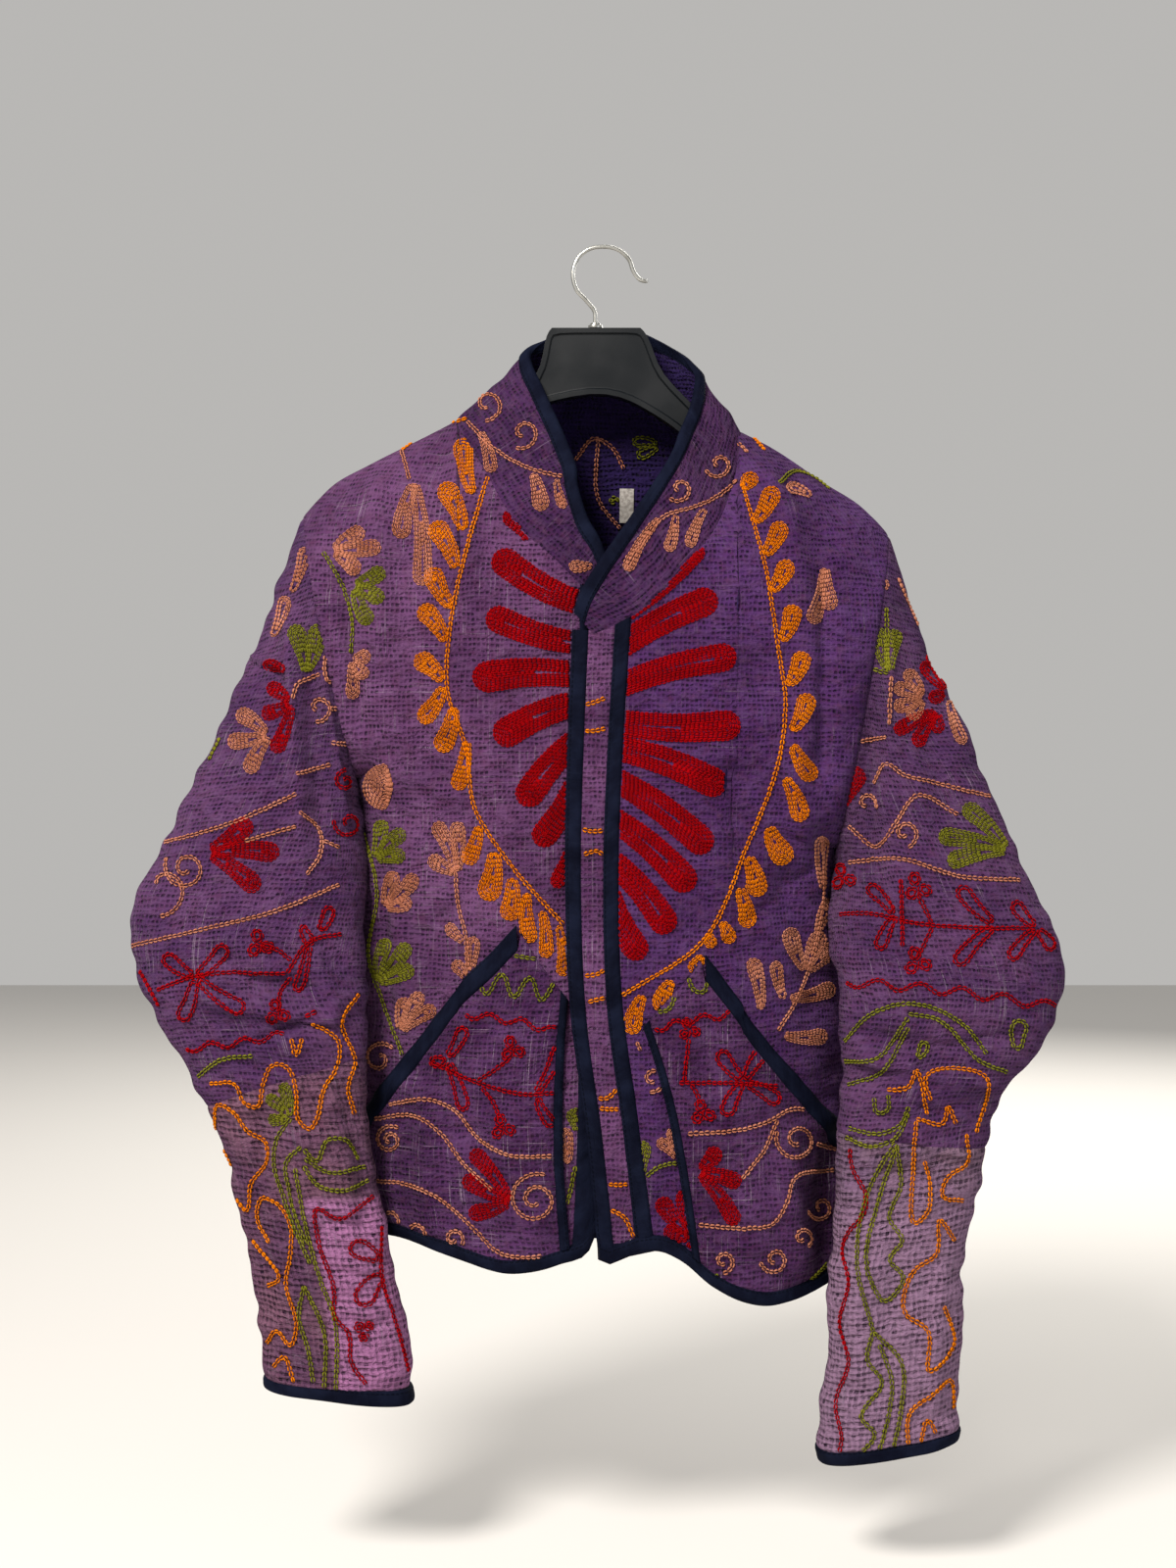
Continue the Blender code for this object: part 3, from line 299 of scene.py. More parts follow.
def even(rows: Table, count: int = RUN_POINTS) -> Array:
    """Points at even steps along the curve through a table's rows."""
    return Curve(rows).at(np.linspace(0.0, 1.0, count))[:, :3]


@dataclass
class Surface:
    """A surface as a function of u and v, with its limits and the sign that turns its normals out."""

    point: Callable[[Array, Array], Array]
    sign: int
    u_limits: tuple[float, float] = (0.0, 1.0)
    v_limits: tuple[float, float] = (0.0, 1.0)

    def normals(self, u: Array, v: Array, step: float = 2e-3) -> Array:
        """Unit normals, from small steps in u and v.

        Args:
            u: shares across.
            v: shares down.
            step: how far to either side the slope is taken.

        Returns:
            The normals.
        """
        u0, u1 = np.clip([u - step, u + step], *self.u_limits)
        v0, v1 = np.clip([v - step, v + step], *self.v_limits)
        along_u = self.point(u1, v) - self.point(u0, v)
        along_v = self.point(u, v1) - self.point(u, v0)
        return self.sign * unit(np.cross(along_u, along_v))


class SleeveForm:
    """A tube lofted through a sleeve's sections. u runs round it and v runs down to the cuff."""

    def __init__(self, rows: Table, sign: int, piecing: tuple[float, float]) -> None:
        """Takes the sections, the side's sign, and the piecing seam's place and slant.

        Args:
            rows: the sections.
            sign: the sign that turns the normals out.
            piecing: place and slant.
        """
        self.piecing = piecing
        table = np.array(rows, float)
        middle = (table[:, 0:2] + table[:, 2:4]) / 2
        self.sections = Curve(np.concatenate([middle, table[:, 4:5], table], axis=1))
        self.surface = Surface(self.point, sign, u_limits=(-1.0, 2.0))

    def section(self, v: Array) -> tuple[Array, Array, Array]:
        """Middle, half the width as a vector, and half the depth, at v.

        Args:
            v: shares down the sleeve.

        Returns:
            The three, one row for each v.
        """
        row = self.sections.at(v)
        outer = np.stack([row[..., 3], row[..., 7], row[..., 4]], axis=-1)
        inner = np.stack([row[..., 5], row[..., 7], row[..., 6]], axis=-1)
        return (outer + inner) / 2, (outer - inner) / 2, row[..., 8]

    def point(self, u: Array, v: Array) -> Array:
        """Points of the inner face. u is 0 at the outer edge and 0.25 at the front.

        Args:
            u: turns round the sleeve.
            v: shares down it.

        Returns:
            The grid's points, as an array whose last axis is x, y and z.
        """
        u, v = np.broadcast_arrays(np.asarray(u, float), np.asarray(v, float))
        middle, half, depth = self.section(v)
        angle = 2 * np.pi * u
        across = np.sign(np.cos(angle)) * np.abs(np.cos(angle)) ** ROUND_ACROSS
        along = np.sign(np.sin(angle)) * np.abs(np.sin(angle)) ** ROUND_DEEP
        point = middle + half * across[..., None]
        point[..., 1] -= depth * along * (1.0 + self.folds(u, v))
        return point

    def folds(self, u: Array, v: Array) -> Array:
        """Dents across the bend of the elbow and one soft crease down the front.

        Args:
            u: turns round the sleeve.
            v: shares down it.

        Returns:
            Shares of the depth.
        """
        total = np.zeros_like(u)
        for place, width, height, length, amount in SLEEVE_FOLDS:
            total = total + amount * np.exp(-(((u - place) / width) ** 2) - ((v - height) / length) ** 2)
        return total

    def corners(self) -> tuple[Array, Array, Array]:
        """Turns, points and outward ways round the sleeve head.

        Returns:
            The three, one row for each turn.
        """
        turns = steps(TURN_POINTS - 1)
        none = np.zeros_like(turns)
        _, half, depth = self.section(none)
        angle = 2 * np.pi * turns
        reach = np.linalg.norm(half, axis=-1)
        normal = unit(half) * (np.maximum(np.cos(angle), LEAST_INWARD) / reach)[..., None]
        normal[..., 1] -= np.sin(angle) / depth
        return turns, self.point(turns, none), unit(normal)

    def head(self, turn: Array) -> Array:
        """Points of the sleeve head at these turns."""
        turns, points, _ = self.corners()
        return between(turn, turns, points)

    def head_normal(self, turn: Array) -> Array:
        """The way out of the sleeve head, in its own plane."""
        turns, _, normal = self.corners()
        return between(turn, turns, normal)

    def piecing_at(self, u: Array) -> Array:
        """The piecing seam's v round the sleeve."""
        middle, slant = self.piecing
        return middle + slant * np.cos(2 * np.pi * u)


SLEEVES = {
    "right": SleeveForm(SLEEVE_RIGHT, -1, PIECING["right"]),
    "left": SleeveForm(SLEEVE_LEFT, 1, PIECING["left"]),
}
COLLAR = Curve(COLLAR_ROWS)
FRONT_TURNS = np.linspace(0.0, 0.5, TURN_POINTS)
BACK_TURNS = np.linspace(1.0, 0.5, TURN_POINTS)
NECK_RUNS = {
    "right": np.linspace(COLLAR.knots[UNDER_END], COLLAR.knots[RIGHT_SHOULDER], RUN_POINTS),
    "left": np.linspace(COLLAR.knots[OVER_END], COLLAR.knots[LEFT_SHOULDER], RUN_POINTS),
    "back": np.linspace(COLLAR.knots[RIGHT_SHOULDER], COLLAR.knots[LEFT_SHOULDER], RUN_POINTS),
}


@dataclass
class PanelForm:
    """A body panel over four edge curves. u runs across it and v runs down it."""

    top: Curve
    hem: Curve
    start: Curve
    end: Curve
    folds: Table
    sign: int
    depth: float | None = None
    surface: Surface = field(init=False)

    def __post_init__(self) -> None:
        """Makes the panel's surface."""
        self.surface = Surface(self.point, self.sign)

    def outline(self, u: Array, v: Array) -> Array:
        """The top edge blended down to the hem, with the side edges' shapes blended in.

        Args:
            u: shares across.
            v: shares down.

        Returns:
            The grid's points, as an array whose last axis is x, y and z.
        """
        top, hem = self.top.at(u), self.hem.at(u)
        start = self.start.at(v) - between(v, [0.0, 1.0], self.start.at([0.0, 1.0]))
        end = self.end.at(v) - between(v, [0.0, 1.0], self.end.at([0.0, 1.0]))
        u, v = u[..., None], v[..., None]
        start_weight = 1 - u if self.depth is None else (1 - u) ** 3
        return (1 - v) * top + v * hem + start_weight * start + u**3 * end

    def point(self, u: Array, v: Array) -> Array:
        """Points of the inner face.

        Args:
            u: shares across.
            v: shares down.

        Returns:
            The grid's points, as an array whose last axis is x, y and z.
        """
        u, v = np.broadcast_arrays(np.asarray(u, float), np.asarray(v, float))
        point = self.outline(u, v)
        at_top = self.body(u, np.zeros_like(v))
        fall = np.maximum(1.0 - v / SHOULDER_REACH, 0.0) ** 2
        point[..., 1] = self.body(u, v) + (self.top.at(u)[..., 1] - at_top) * fall + self.waves(u, v)
        return point

    def body(self, u: Array, v: Array) -> Array:
        """y of the body's section, rounded off towards the side seams.

        Args:
            u: shares across.
            v: shares down.

        Returns:
            y at each point.
        """
        start, end = self.start.at(v)[..., 1], self.end.at(v)[..., 1]
        if self.depth is None:
            return end + (start - end) * (1.0 - np.clip(u, 0, 1) ** 3) ** ROUNDING
        across = np.clip(np.abs(2 * u - 1), 0, 1)
        sides = end * u + start * (1 - u)
        return sides + (self.depth - sides) * (1.0 - across**3) ** ROUNDING

    def waves(self, u: Array, v: Array) -> Array:
        """The long folds, which grow from where they start down to the hem.

        Args:
            u: shares across.
            v: shares down.

        Returns:
            How far each point moves along y.
        """
        total = np.zeros_like(u)
        for place, width, begins, amount in self.folds:
            total = total + amount * soft_step(v, begins, 1.0) * np.exp(-(((u - place) / width) ** 2))
        total = total * np.sqrt(np.sin(math.pi * np.clip(u, 0, 1)).clip(0.0, 1.0))
        return -total if self.depth is None else total


def hem_curve(rows: Table, y_first: float, y_last: float) -> Curve:
    """A hem's curve. Its y only sets the corners, because the panel works out the rest."""
    depths = np.linspace(y_first, y_last, len(rows))
    return Curve([(x, y, z) for (x, z), y in zip(rows, depths)])


def side_edge(side: str, seam: Table, turns: Array) -> Line:
    """The sleeve head's front or back half and then the side seam, as one edge.

    Args:
        side: right or left.
        seam: the side seam's rows.
        turns: turns of that half of the head.

    Returns:
        The edge, from the shoulder to the hem.
    """
    head = SLEEVES[side].head(turns)
    head[-1] = seam[0]
    return Line(joined(head, even(seam, SEAM_POINTS)))


def make_panels() -> dict[str, PanelForm]:
    """The two fronts and the back.

    Returns:
        The panels by name.
    """
    necks = {name: COLLAR.at(run)[:, :3] for name, run in NECK_RUNS.items()}
    necks["left"][0] = EDGE_LEFT[0]
    shoulders = {"right": even(SHOULDER_RIGHT), "left": even(SHOULDER_LEFT)}
    right = PanelForm(
        top=Curve(joined(necks["right"], shoulders["right"])),
        hem=hem_curve(HEM_RIGHT, EDGE_RIGHT[-1][1], SIDE_RIGHT[-1][1]),
        start=Curve(EDGE_RIGHT),
        end=side_edge("right", SIDE_RIGHT, FRONT_TURNS),
        folds=FOLDS_RIGHT,
        sign=1,
    )
    left = PanelForm(
        top=Curve(joined(necks["left"], shoulders["left"])),
        hem=hem_curve(HEM_LEFT, EDGE_LEFT[-1][1], SIDE_LEFT[-1][1]),
        start=Curve(EDGE_LEFT),
        end=side_edge("left", SIDE_LEFT, FRONT_TURNS),
        folds=FOLDS_LEFT,
        sign=-1,
    )
    back = PanelForm(
        top=Curve(joined(shoulders["right"][::-1], necks["back"], shoulders["left"])),
        hem=hem_curve(HEM_BACK, SIDE_RIGHT[-1][1], SIDE_LEFT[-1][1]),
        start=side_edge("right", SIDE_RIGHT, BACK_TURNS),
        end=side_edge("left", SIDE_LEFT, BACK_TURNS),
        folds=FOLDS_BACK,
        sign=1,
        depth=BACK_DEPTH,
    )
    return {"right": right, "left": left, "back": back}


PANELS = make_panels()


def hem_share(surface: Surface, u: Array, distance: Array | float) -> Array:
    """How much of v this distance above the hem is, at each u.

    Args:
        surface: the panel's surface.
        u: shares across.
        distance: in millimetres.

    Returns:
        Shares of v.
    """
    near = surface.point(u, np.full_like(u, 1 - HEM_PROBE))
    length = np.linalg.norm(surface.point(u, np.ones_like(u)) - near, axis=-1) / HEM_PROBE
    return distance / length


def edge_share(surface: Surface, v: Array, distance: Array | float) -> Array:
    """How much of u this distance sideways from the front edge is, at each v.

    Args:
        surface: the front's surface.
        v: shares down.
        distance: in millimetres.

    Returns:
        Shares of u.
    """
    near = surface.point(np.full_like(v, EDGE_PROBE), v)
    width = np.abs(near[..., 0] - surface.point(np.zeros_like(v), v)[..., 0]) / EDGE_PROBE
    return distance / width


def locate(surface: Surface, place: tuple[float, float]) -> tuple[float, float]:
    """The u and v where a surface passes this x and z.

    Args:
        surface: the surface.
        place: the x and z.

    Returns:
        u and v.
    """
    u, v, step = 0.5, 0.5, 1e-3
    for _ in range(30):
        here = surface.point(u, v)
        by_u = (surface.point(u + step, v) - here) / step
        by_v = (surface.point(u, v + step) - here) / step
        slope = np.array([[by_u[0], by_v[0]], [by_u[2], by_v[2]]])
        move = np.linalg.solve(slope, [place[0] - here[0], place[1] - here[2]]).clip(-0.1, 0.1)
        u, v = float(np.clip(u + move[0], 0.005, 0.99)), float(np.clip(v + move[1], 0.005, 0.99))
    return u, v


def placket_edge(name: str) -> Along:
    """A function of v: how far from the over front's edge one of the placket's lines runs."""
    widths = PLACKET[: [row[0] for row in PLACKET].index(name) + 1]
    return lambda v: sum(first + (last - first) * v for _, first, last in widths)


def front_u(side: str, across: Array, v: Array) -> Array:
    """u at shares across a front's main piece, past its strips.

    Args:
        side: right or left.
        across: shares across the main piece.
        v: shares down.

    Returns:
        Shares of u.
    """
    distance = placket_edge("seam_binding")(v) if side == "left" else BINDING_WIDTH + 0 * v
    start = edge_share(PANELS[side].surface, v, distance + LAP)
    return start + across * (1.0 - SIDE_GAP - start)


def smooth_collar(u: Array, v: Array) -> Array:
    """The collar's inner face. v is 0 at the neck seam and 1 under the top binding.

    Args:
        u: shares of its length.
        v: shares of its width.

    Returns:
        The grid's points, as an array whose last axis is x, y and z.
    """
    u, v = np.broadcast_arrays(np.asarray(u, float), np.asarray(v, float))
    row = COLLAR.at(u)
    return row[..., 0:3] + (row[..., 3:6] - row[..., 0:3]) * v[..., None]


COLLAR_SURFACE = Surface(smooth_collar, -1, v_limits=(-1.0, 3.0))


def collar_share(u: Array, distance: float) -> Array:
    """How much of the collar's v this distance is, at each u."""
    row = COLLAR.at(u)
    return distance / np.maximum(np.linalg.norm(row[..., 3:6] - row[..., 0:3], axis=-1), LEAST_COLLAR)


def level(normal: Array) -> Array:
    """A seam normal with no part along y, which two walls that meet back to back can share.

    Args:
        normal: the surface's own normals.

    Returns:
        The level normals.
    """
    flat = normal.copy()
    flat[..., 1] = 0.0
    return unit(flat)


def top_seam(name: str) -> Shared:
    """Normals along a panel's top edge: the collar's on the neck seam, level on a shoulder.

    Args:
        name: the panel.

    Returns:
        A function of u, v and the panel's own normals.
    """
    begin, soft = RUN_POINTS - 1 if name == "back" else 0, 0.02
    knots = PANELS[name].top.knots[begin : begin + RUN_POINTS]
    first, last = knots[0], knots[-1]

    def shared(u: Array, v: Array, normal: Array) -> Array:
        """The normals along the top edge.

        Args:
            u: shares across.
            v: shares down.
            normal: the panel's own normals.

        Returns:
            The shared normals.
        """
        turn = np.interp(u, knots, NECK_RUNS[name])
        neck = COLLAR_SURFACE.normals(turn, np.zeros_like(turn))
        on_neck = soft_step(u, first - soft, first) * (1 - soft_step(u, last, last + soft))
        return unit(neck * on_neck[..., None] + level(normal) * (1 - on_neck)[..., None])

    return shared


def side_seam(side: str, edge: Curve, turns: Array) -> Shared:
    """Normals down a side edge: the sleeve head's, and then level ones on the side seam.

    Args:
        side: right or left.
        edge: the panel's side edge.
        turns: turns of that half of the head.

    Returns:
        A function of u, v and the panel's own normals.
    """

    def shared(u: Array, v: Array, normal: Array) -> Array:
        """The normals down the side edge.

        Args:
            u: shares across.
            v: shares down.
            normal: the panel's own normals.

        Returns:
            The shared normals.
        """
        knots = edge.knots[:TURN_POINTS]
        head = SLEEVES[side].head_normal(np.interp(v, knots, turns))
        return np.where((v < knots[-1] - 1e-6)[..., None], head, level(normal))

    return shared


class View(Enum):
    """The two sketches, by the side from which they look."""

    FRONT = -1
    BACK = 1

    def eye(self) -> Array:
        """Where the sketch is seen from, in millimetres."""
        return np.array([EYE_X, self.value * EYE_DISTANCE, EYE_Z])

    def place(self, sketch: Array) -> Array:
        """Points of the hanger's plane under points of the sketch.

        Args:
            sketch: across and down on the sketch.

        Returns:
            The points, as an array whose last axis is x, y and z.
        """
        x = EYE_X - self.value * (sketch[:, 0] - SKETCH_MIDDLE[0]) * SKETCH_UNIT
        z = EYE_Z - (sketch[:, 1] - SKETCH_MIDDLE[1]) * SKETCH_UNIT
        return np.stack([x, np.zeros_like(x), z], axis=-1)

    def sketch(self, point: Array) -> Array:
        """Where points in millimetres show on the sketch.

        Args:
            point: the points.

        Returns:
            Across and down on the sketch.
        """
        near = 1.0 - self.value * point[..., 1] / EYE_DISTANCE
        across = (point[..., 0] - EYE_X) / near / SKETCH_UNIT
        down = (EYE_Z - point[..., 2]) / near / SKETCH_UNIT
        return np.stack([SKETCH_MIDDLE[0] - self.value * across, SKETCH_MIDDLE[1] + down], axis=-1)


@dataclass(frozen=True)
class Crease:
    """A fold, tuck or sewn seam along a line of a sketch. depth is outwards, in millimetres."""

    line: Table
    width: float
    depth: float
    sharp: bool = False

    def amount(self, sketch: Array) -> Array:
        """How far it moves the cloth at points of the sketch.

        Args:
            sketch: points of the sketch.

        Returns:
            Millimetres outwards, at each point.
        """
        nearest = np.full(sketch.shape[:-1], 1e9)
        along = np.zeros_like(nearest)
        runs = Line(self.line)
        for index in range(len(runs.rows) - 1):
            start, step = runs.rows[index], runs.rows[index + 1] - runs.rows[index]
            share = (((sketch - start) @ step) / (step @ step)).clip(0.0, 1.0)
            away = np.linalg.norm(sketch - start - share[..., None] * step, axis=-1)
            closer = away < nearest
            nearest = np.where(closer, away, nearest)
            span = runs.knots[index + 1] - runs.knots[index]
            along = np.where(closer, runs.knots[index] + share * span, along)
        taper = soft_step(np.minimum(along, 1 - along), -0.02, 0.18)
        profile = np.exp(-nearest / self.width) if self.sharp else np.exp(-((nearest / self.width) ** 2))
        return self.depth * profile * taper


# Creases of the body and the sleeves, on the two sketches
BODY_CREASES = {
    View.FRONT: [
        Crease([(461, 434), (448, 483), (443, 545)], 11, -2.4),
        Crease([(486, 470), (474, 520), (476, 620)], 12, 1.8),
        Crease([(392, 470), (380, 560), (392, 680)], 14, 3.2),
        Crease([(412, 520), (410, 640), (440, 800)], 12, -2.6),
        Crease([(345, 560), (356, 640), (372, 760)], 9, -4.0),
        Crease([(370, 790), (445, 860), (527, 945)], 2.6, -1.6, True),
        Crease([(845, 870), (780, 925), (720, 975)], 2.6, -1.6, True),
        Crease([(380, 770), (430, 800), (470, 812)], 9, 2.2),
        Crease([(764, 463), (797, 493), (814, 518), (868, 575)], 3.0, -1.5, True),
        Crease([(770, 470), (806, 530), (820, 640)], 11, 2.8),
        Crease([(836, 560), (842, 680), (838, 800)], 8, -4.2),
        Crease([(820, 700), (812, 800), (826, 880)], 12, 2.4),
        Crease([(700, 560), (760, 620), (784, 720)], 16, -1.8),
        Crease([(418, 850), (408, 940), (422, 1050)], 12, 3.0),
        Crease([(398, 860), (392, 950), (398, 1060)], 8, -3.0),
        Crease([(430, 1090), (445, 1180), (440, 1270)], 14, 3.0),
        Crease([(480, 1130), (505, 1210), (500, 1290)], 12, -2.4),
        Crease([(550, 1090), (556, 1180), (540, 1290)], 10, 2.2),
        Crease([(850, 1140), (838, 1210), (842, 1300)], 12, -5.0),
        Crease([(800, 1130), (800, 1220), (812, 1310)], 13, 3.6),
        Crease([(752, 1150), (742, 1230), (750, 1310)], 12, -2.6),
        Crease([(668, 1090), (672, 1180), (655, 1280)], 9, 2.0),
        Crease([(540, 1250), (556, 1170), (575, 1100)], 8, -1.6),
        Crease([(640, 760), (700, 780), (760, 770)], 16, 1.4),
        Crease([(490, 900), (450, 940), (420, 960)], 10, -2.0),
        Crease([(790, 880), (815, 950), (835, 1040)], 12, -2.6),
    ],
    View.BACK: [
        Crease([(330, 560), (352, 660), (360, 800)], 12, -4.0),
        Crease([(420, 480), (400, 600), (410, 760)], 16, 3.4),
        Crease([(470, 700), (455, 850), (468, 1000)], 16, -3.0),
        Crease([(540, 470), (552, 600), (530, 760)], 18, 2.2),
        Crease([(660, 480), (648, 620), (670, 800)], 18, -2.2),
        Crease([(770, 500), (790, 640), (776, 800)], 15, 3.4),
        Crease([(868, 560), (846, 680), (850, 820)], 12, -4.0),
        Crease([(720, 860), (735, 1000), (722, 1180)], 16, 3.0),
        Crease([(560, 900), (575, 1040), (560, 1240)], 18, -2.8),
        Crease([(400, 950), (412, 1100), (400, 1260)], 16, 3.4),
        Crease([(800, 960), (812, 1100), (800, 1290)], 14, -3.2),
        Crease([(500, 520), (600, 540), (700, 525)], 12, 1.8),
    ],
}
SLEEVE_CREASES = {
    View.FRONT: [
        Crease([(295, 600), (298, 707), (302, 804), (309, 888), (316, 940)], 6, 3.4, True),
        Crease([(312, 610), (318, 707), (324, 800), (330, 870)], 9, -3.4),
        Crease([(324, 600), (333, 707), (342, 790), (352, 850)], 6, 3.2, True),
        Crease([(249, 675), (272, 682), (297, 693)], 2.4, -3.2, True),
        Crease([(250, 668), (272, 674), (296, 684)], 3.0, 1.6),
        Crease([(302, 940), (330, 1000), (345, 1060)], 9, 3.0),
        Crease([(210, 960), (260, 1000), (330, 1010)], 9, -4.0),
        Crease([(190, 1010), (250, 1030), (350, 1040)], 9, 3.2),
        Crease([(300, 1050), (302, 1160), (318, 1290)], 10, 2.6),
        Crease([(270, 1100), (262, 1220), (280, 1360)], 10, -2.4),
        Crease([(345, 1090), (366, 1180), (372, 1290)], 9, -2.6),
        Crease([(207, 1079), (261, 1062), (293, 1047), (350, 1010)], 2.4, -2.0, True),
        Crease([(330, 1240), (360, 1252), (386, 1250)], 5, -1.8),
        Crease([(338, 1290), (368, 1304), (398, 1300)], 5, -1.8),
        Crease([(340, 1340), (378, 1352), (402, 1346)], 5, -1.6),
        Crease([(906, 600), (907, 803), (912, 867), (921, 997)], 6, 4.0, True),
        Crease([(921, 997), (930, 1084), (938, 1168), (953, 1256)], 6, 3.0, True),
        Crease([(880, 600), (884, 760), (890, 900)], 10, -3.6),
        Crease([(945, 700), (958, 820), (985, 930)], 14, -3.0),
        Crease([(868, 1096), (925, 1120), (985, 1152)], 2.4, -2.0, True),
        Crease([(870, 1050), (960, 1070), (1060, 1050)], 8, -3.4),
        Crease([(866, 1075), (940, 1094), (1030, 1110)], 8, 3.0),
        Crease([(868, 1180), (880, 1300), (868, 1420)], 10, 2.4),
        Crease([(905, 1180), (912, 1300), (900, 1440)], 10, -2.4),
        Crease([(962, 1280), (950, 1380), (952, 1460)], 9, 2.2),
        Crease([(908, 1150), (960, 1172), (996, 1180)], 5, 2.2),
    ],
    View.BACK: [
        Crease([(290, 620), (285, 760), (262, 900)], 11, 3.6, True),
        Crease([(318, 640), (322, 780), (330, 900)], 9, -3.4),
        Crease([(160, 1000), (240, 1030), (330, 1040)], 9, -4.0),
        Crease([(190, 1060), (260, 1070), (330, 1080)], 9, 3.2),
        Crease([(280, 1120), (270, 1260), (300, 1420)], 10, 2.8),
        Crease([(910, 620), (905, 760), (930, 880)], 9, 3.6, True),
        Crease([(880, 660), (876, 800), (884, 920)], 9, -3.2),
        Crease([(1040, 960), (960, 990), (880, 1000)], 9, -4.0),
        Crease([(1020, 1010), (950, 1040), (870, 1050)], 9, 3.2),
        Crease([(905, 1080), (912, 1200), (880, 1360)], 10, 2.6),
    ],
}


# Soft waves of the cloth, and how they bend. Columns: waves a metre across and down, phase, height.
BEND, BEND_ACROSS, BEND_DOWN = 0.8, 47, 83
WAVES = [
    (5.1, 9.3, 0.4, 0.8), (-7.7, 12.1, 1.9, 0.7), (14.3, 5.2, 3.1, 0.55), (-19.0, 17.5, 0.9, 0.45),
    (9.6, 33.0, 2.2, 0.45), (-6.4, 41.0, 4.4, 0.40), (27.0, 22.0, 5.3, 0.30), (-13.0, 57.0, 1.2, 0.28),
    (31.0, 49.0, 2.9, 0.20),
]


def unevenness(point: Array) -> Array:
    """A soft unevenness of the cloth, the same for pieces that lie on each other.

    Args:
        point: the points.

    Returns:
        Millimetres outwards, at each point.
    """
    total = np.zeros(point.shape[:-1])
    for across, down, phase, height in WAVES:
        bend = BEND * np.sin(point[..., 0] / BEND_ACROSS + point[..., 2] / BEND_DOWN + phase)
        turn = 2 * np.pi * (across * point[..., 0] + down * point[..., 2]) * MM + phase + bend
        total = total + height * np.sin(turn)
    return total


def placed(name: str, data: bpy.types.ID) -> bpy.types.Object:
    """A new object in the scene.

    Args:
        name: its name.
        data: its mesh, curve, camera or lamp.

    Returns:
        The object.
    """
    made = bpy.data.objects.new(name, data)
    bpy.context.scene.collection.objects.link(made)
    return made


def turned_out(mesh: bpy.types.Mesh) -> None:
    """Turns a closed mesh's faces outwards and shades them smooth.

    Args:
        mesh: the mesh.
    """
    shape = bmesh.new()
    shape.from_mesh(mesh)
    bmesh.ops.recalc_face_normals(shape, faces=shape.faces)
    shape.to_mesh(mesh)
    shape.free()
    mesh.shade_smooth()


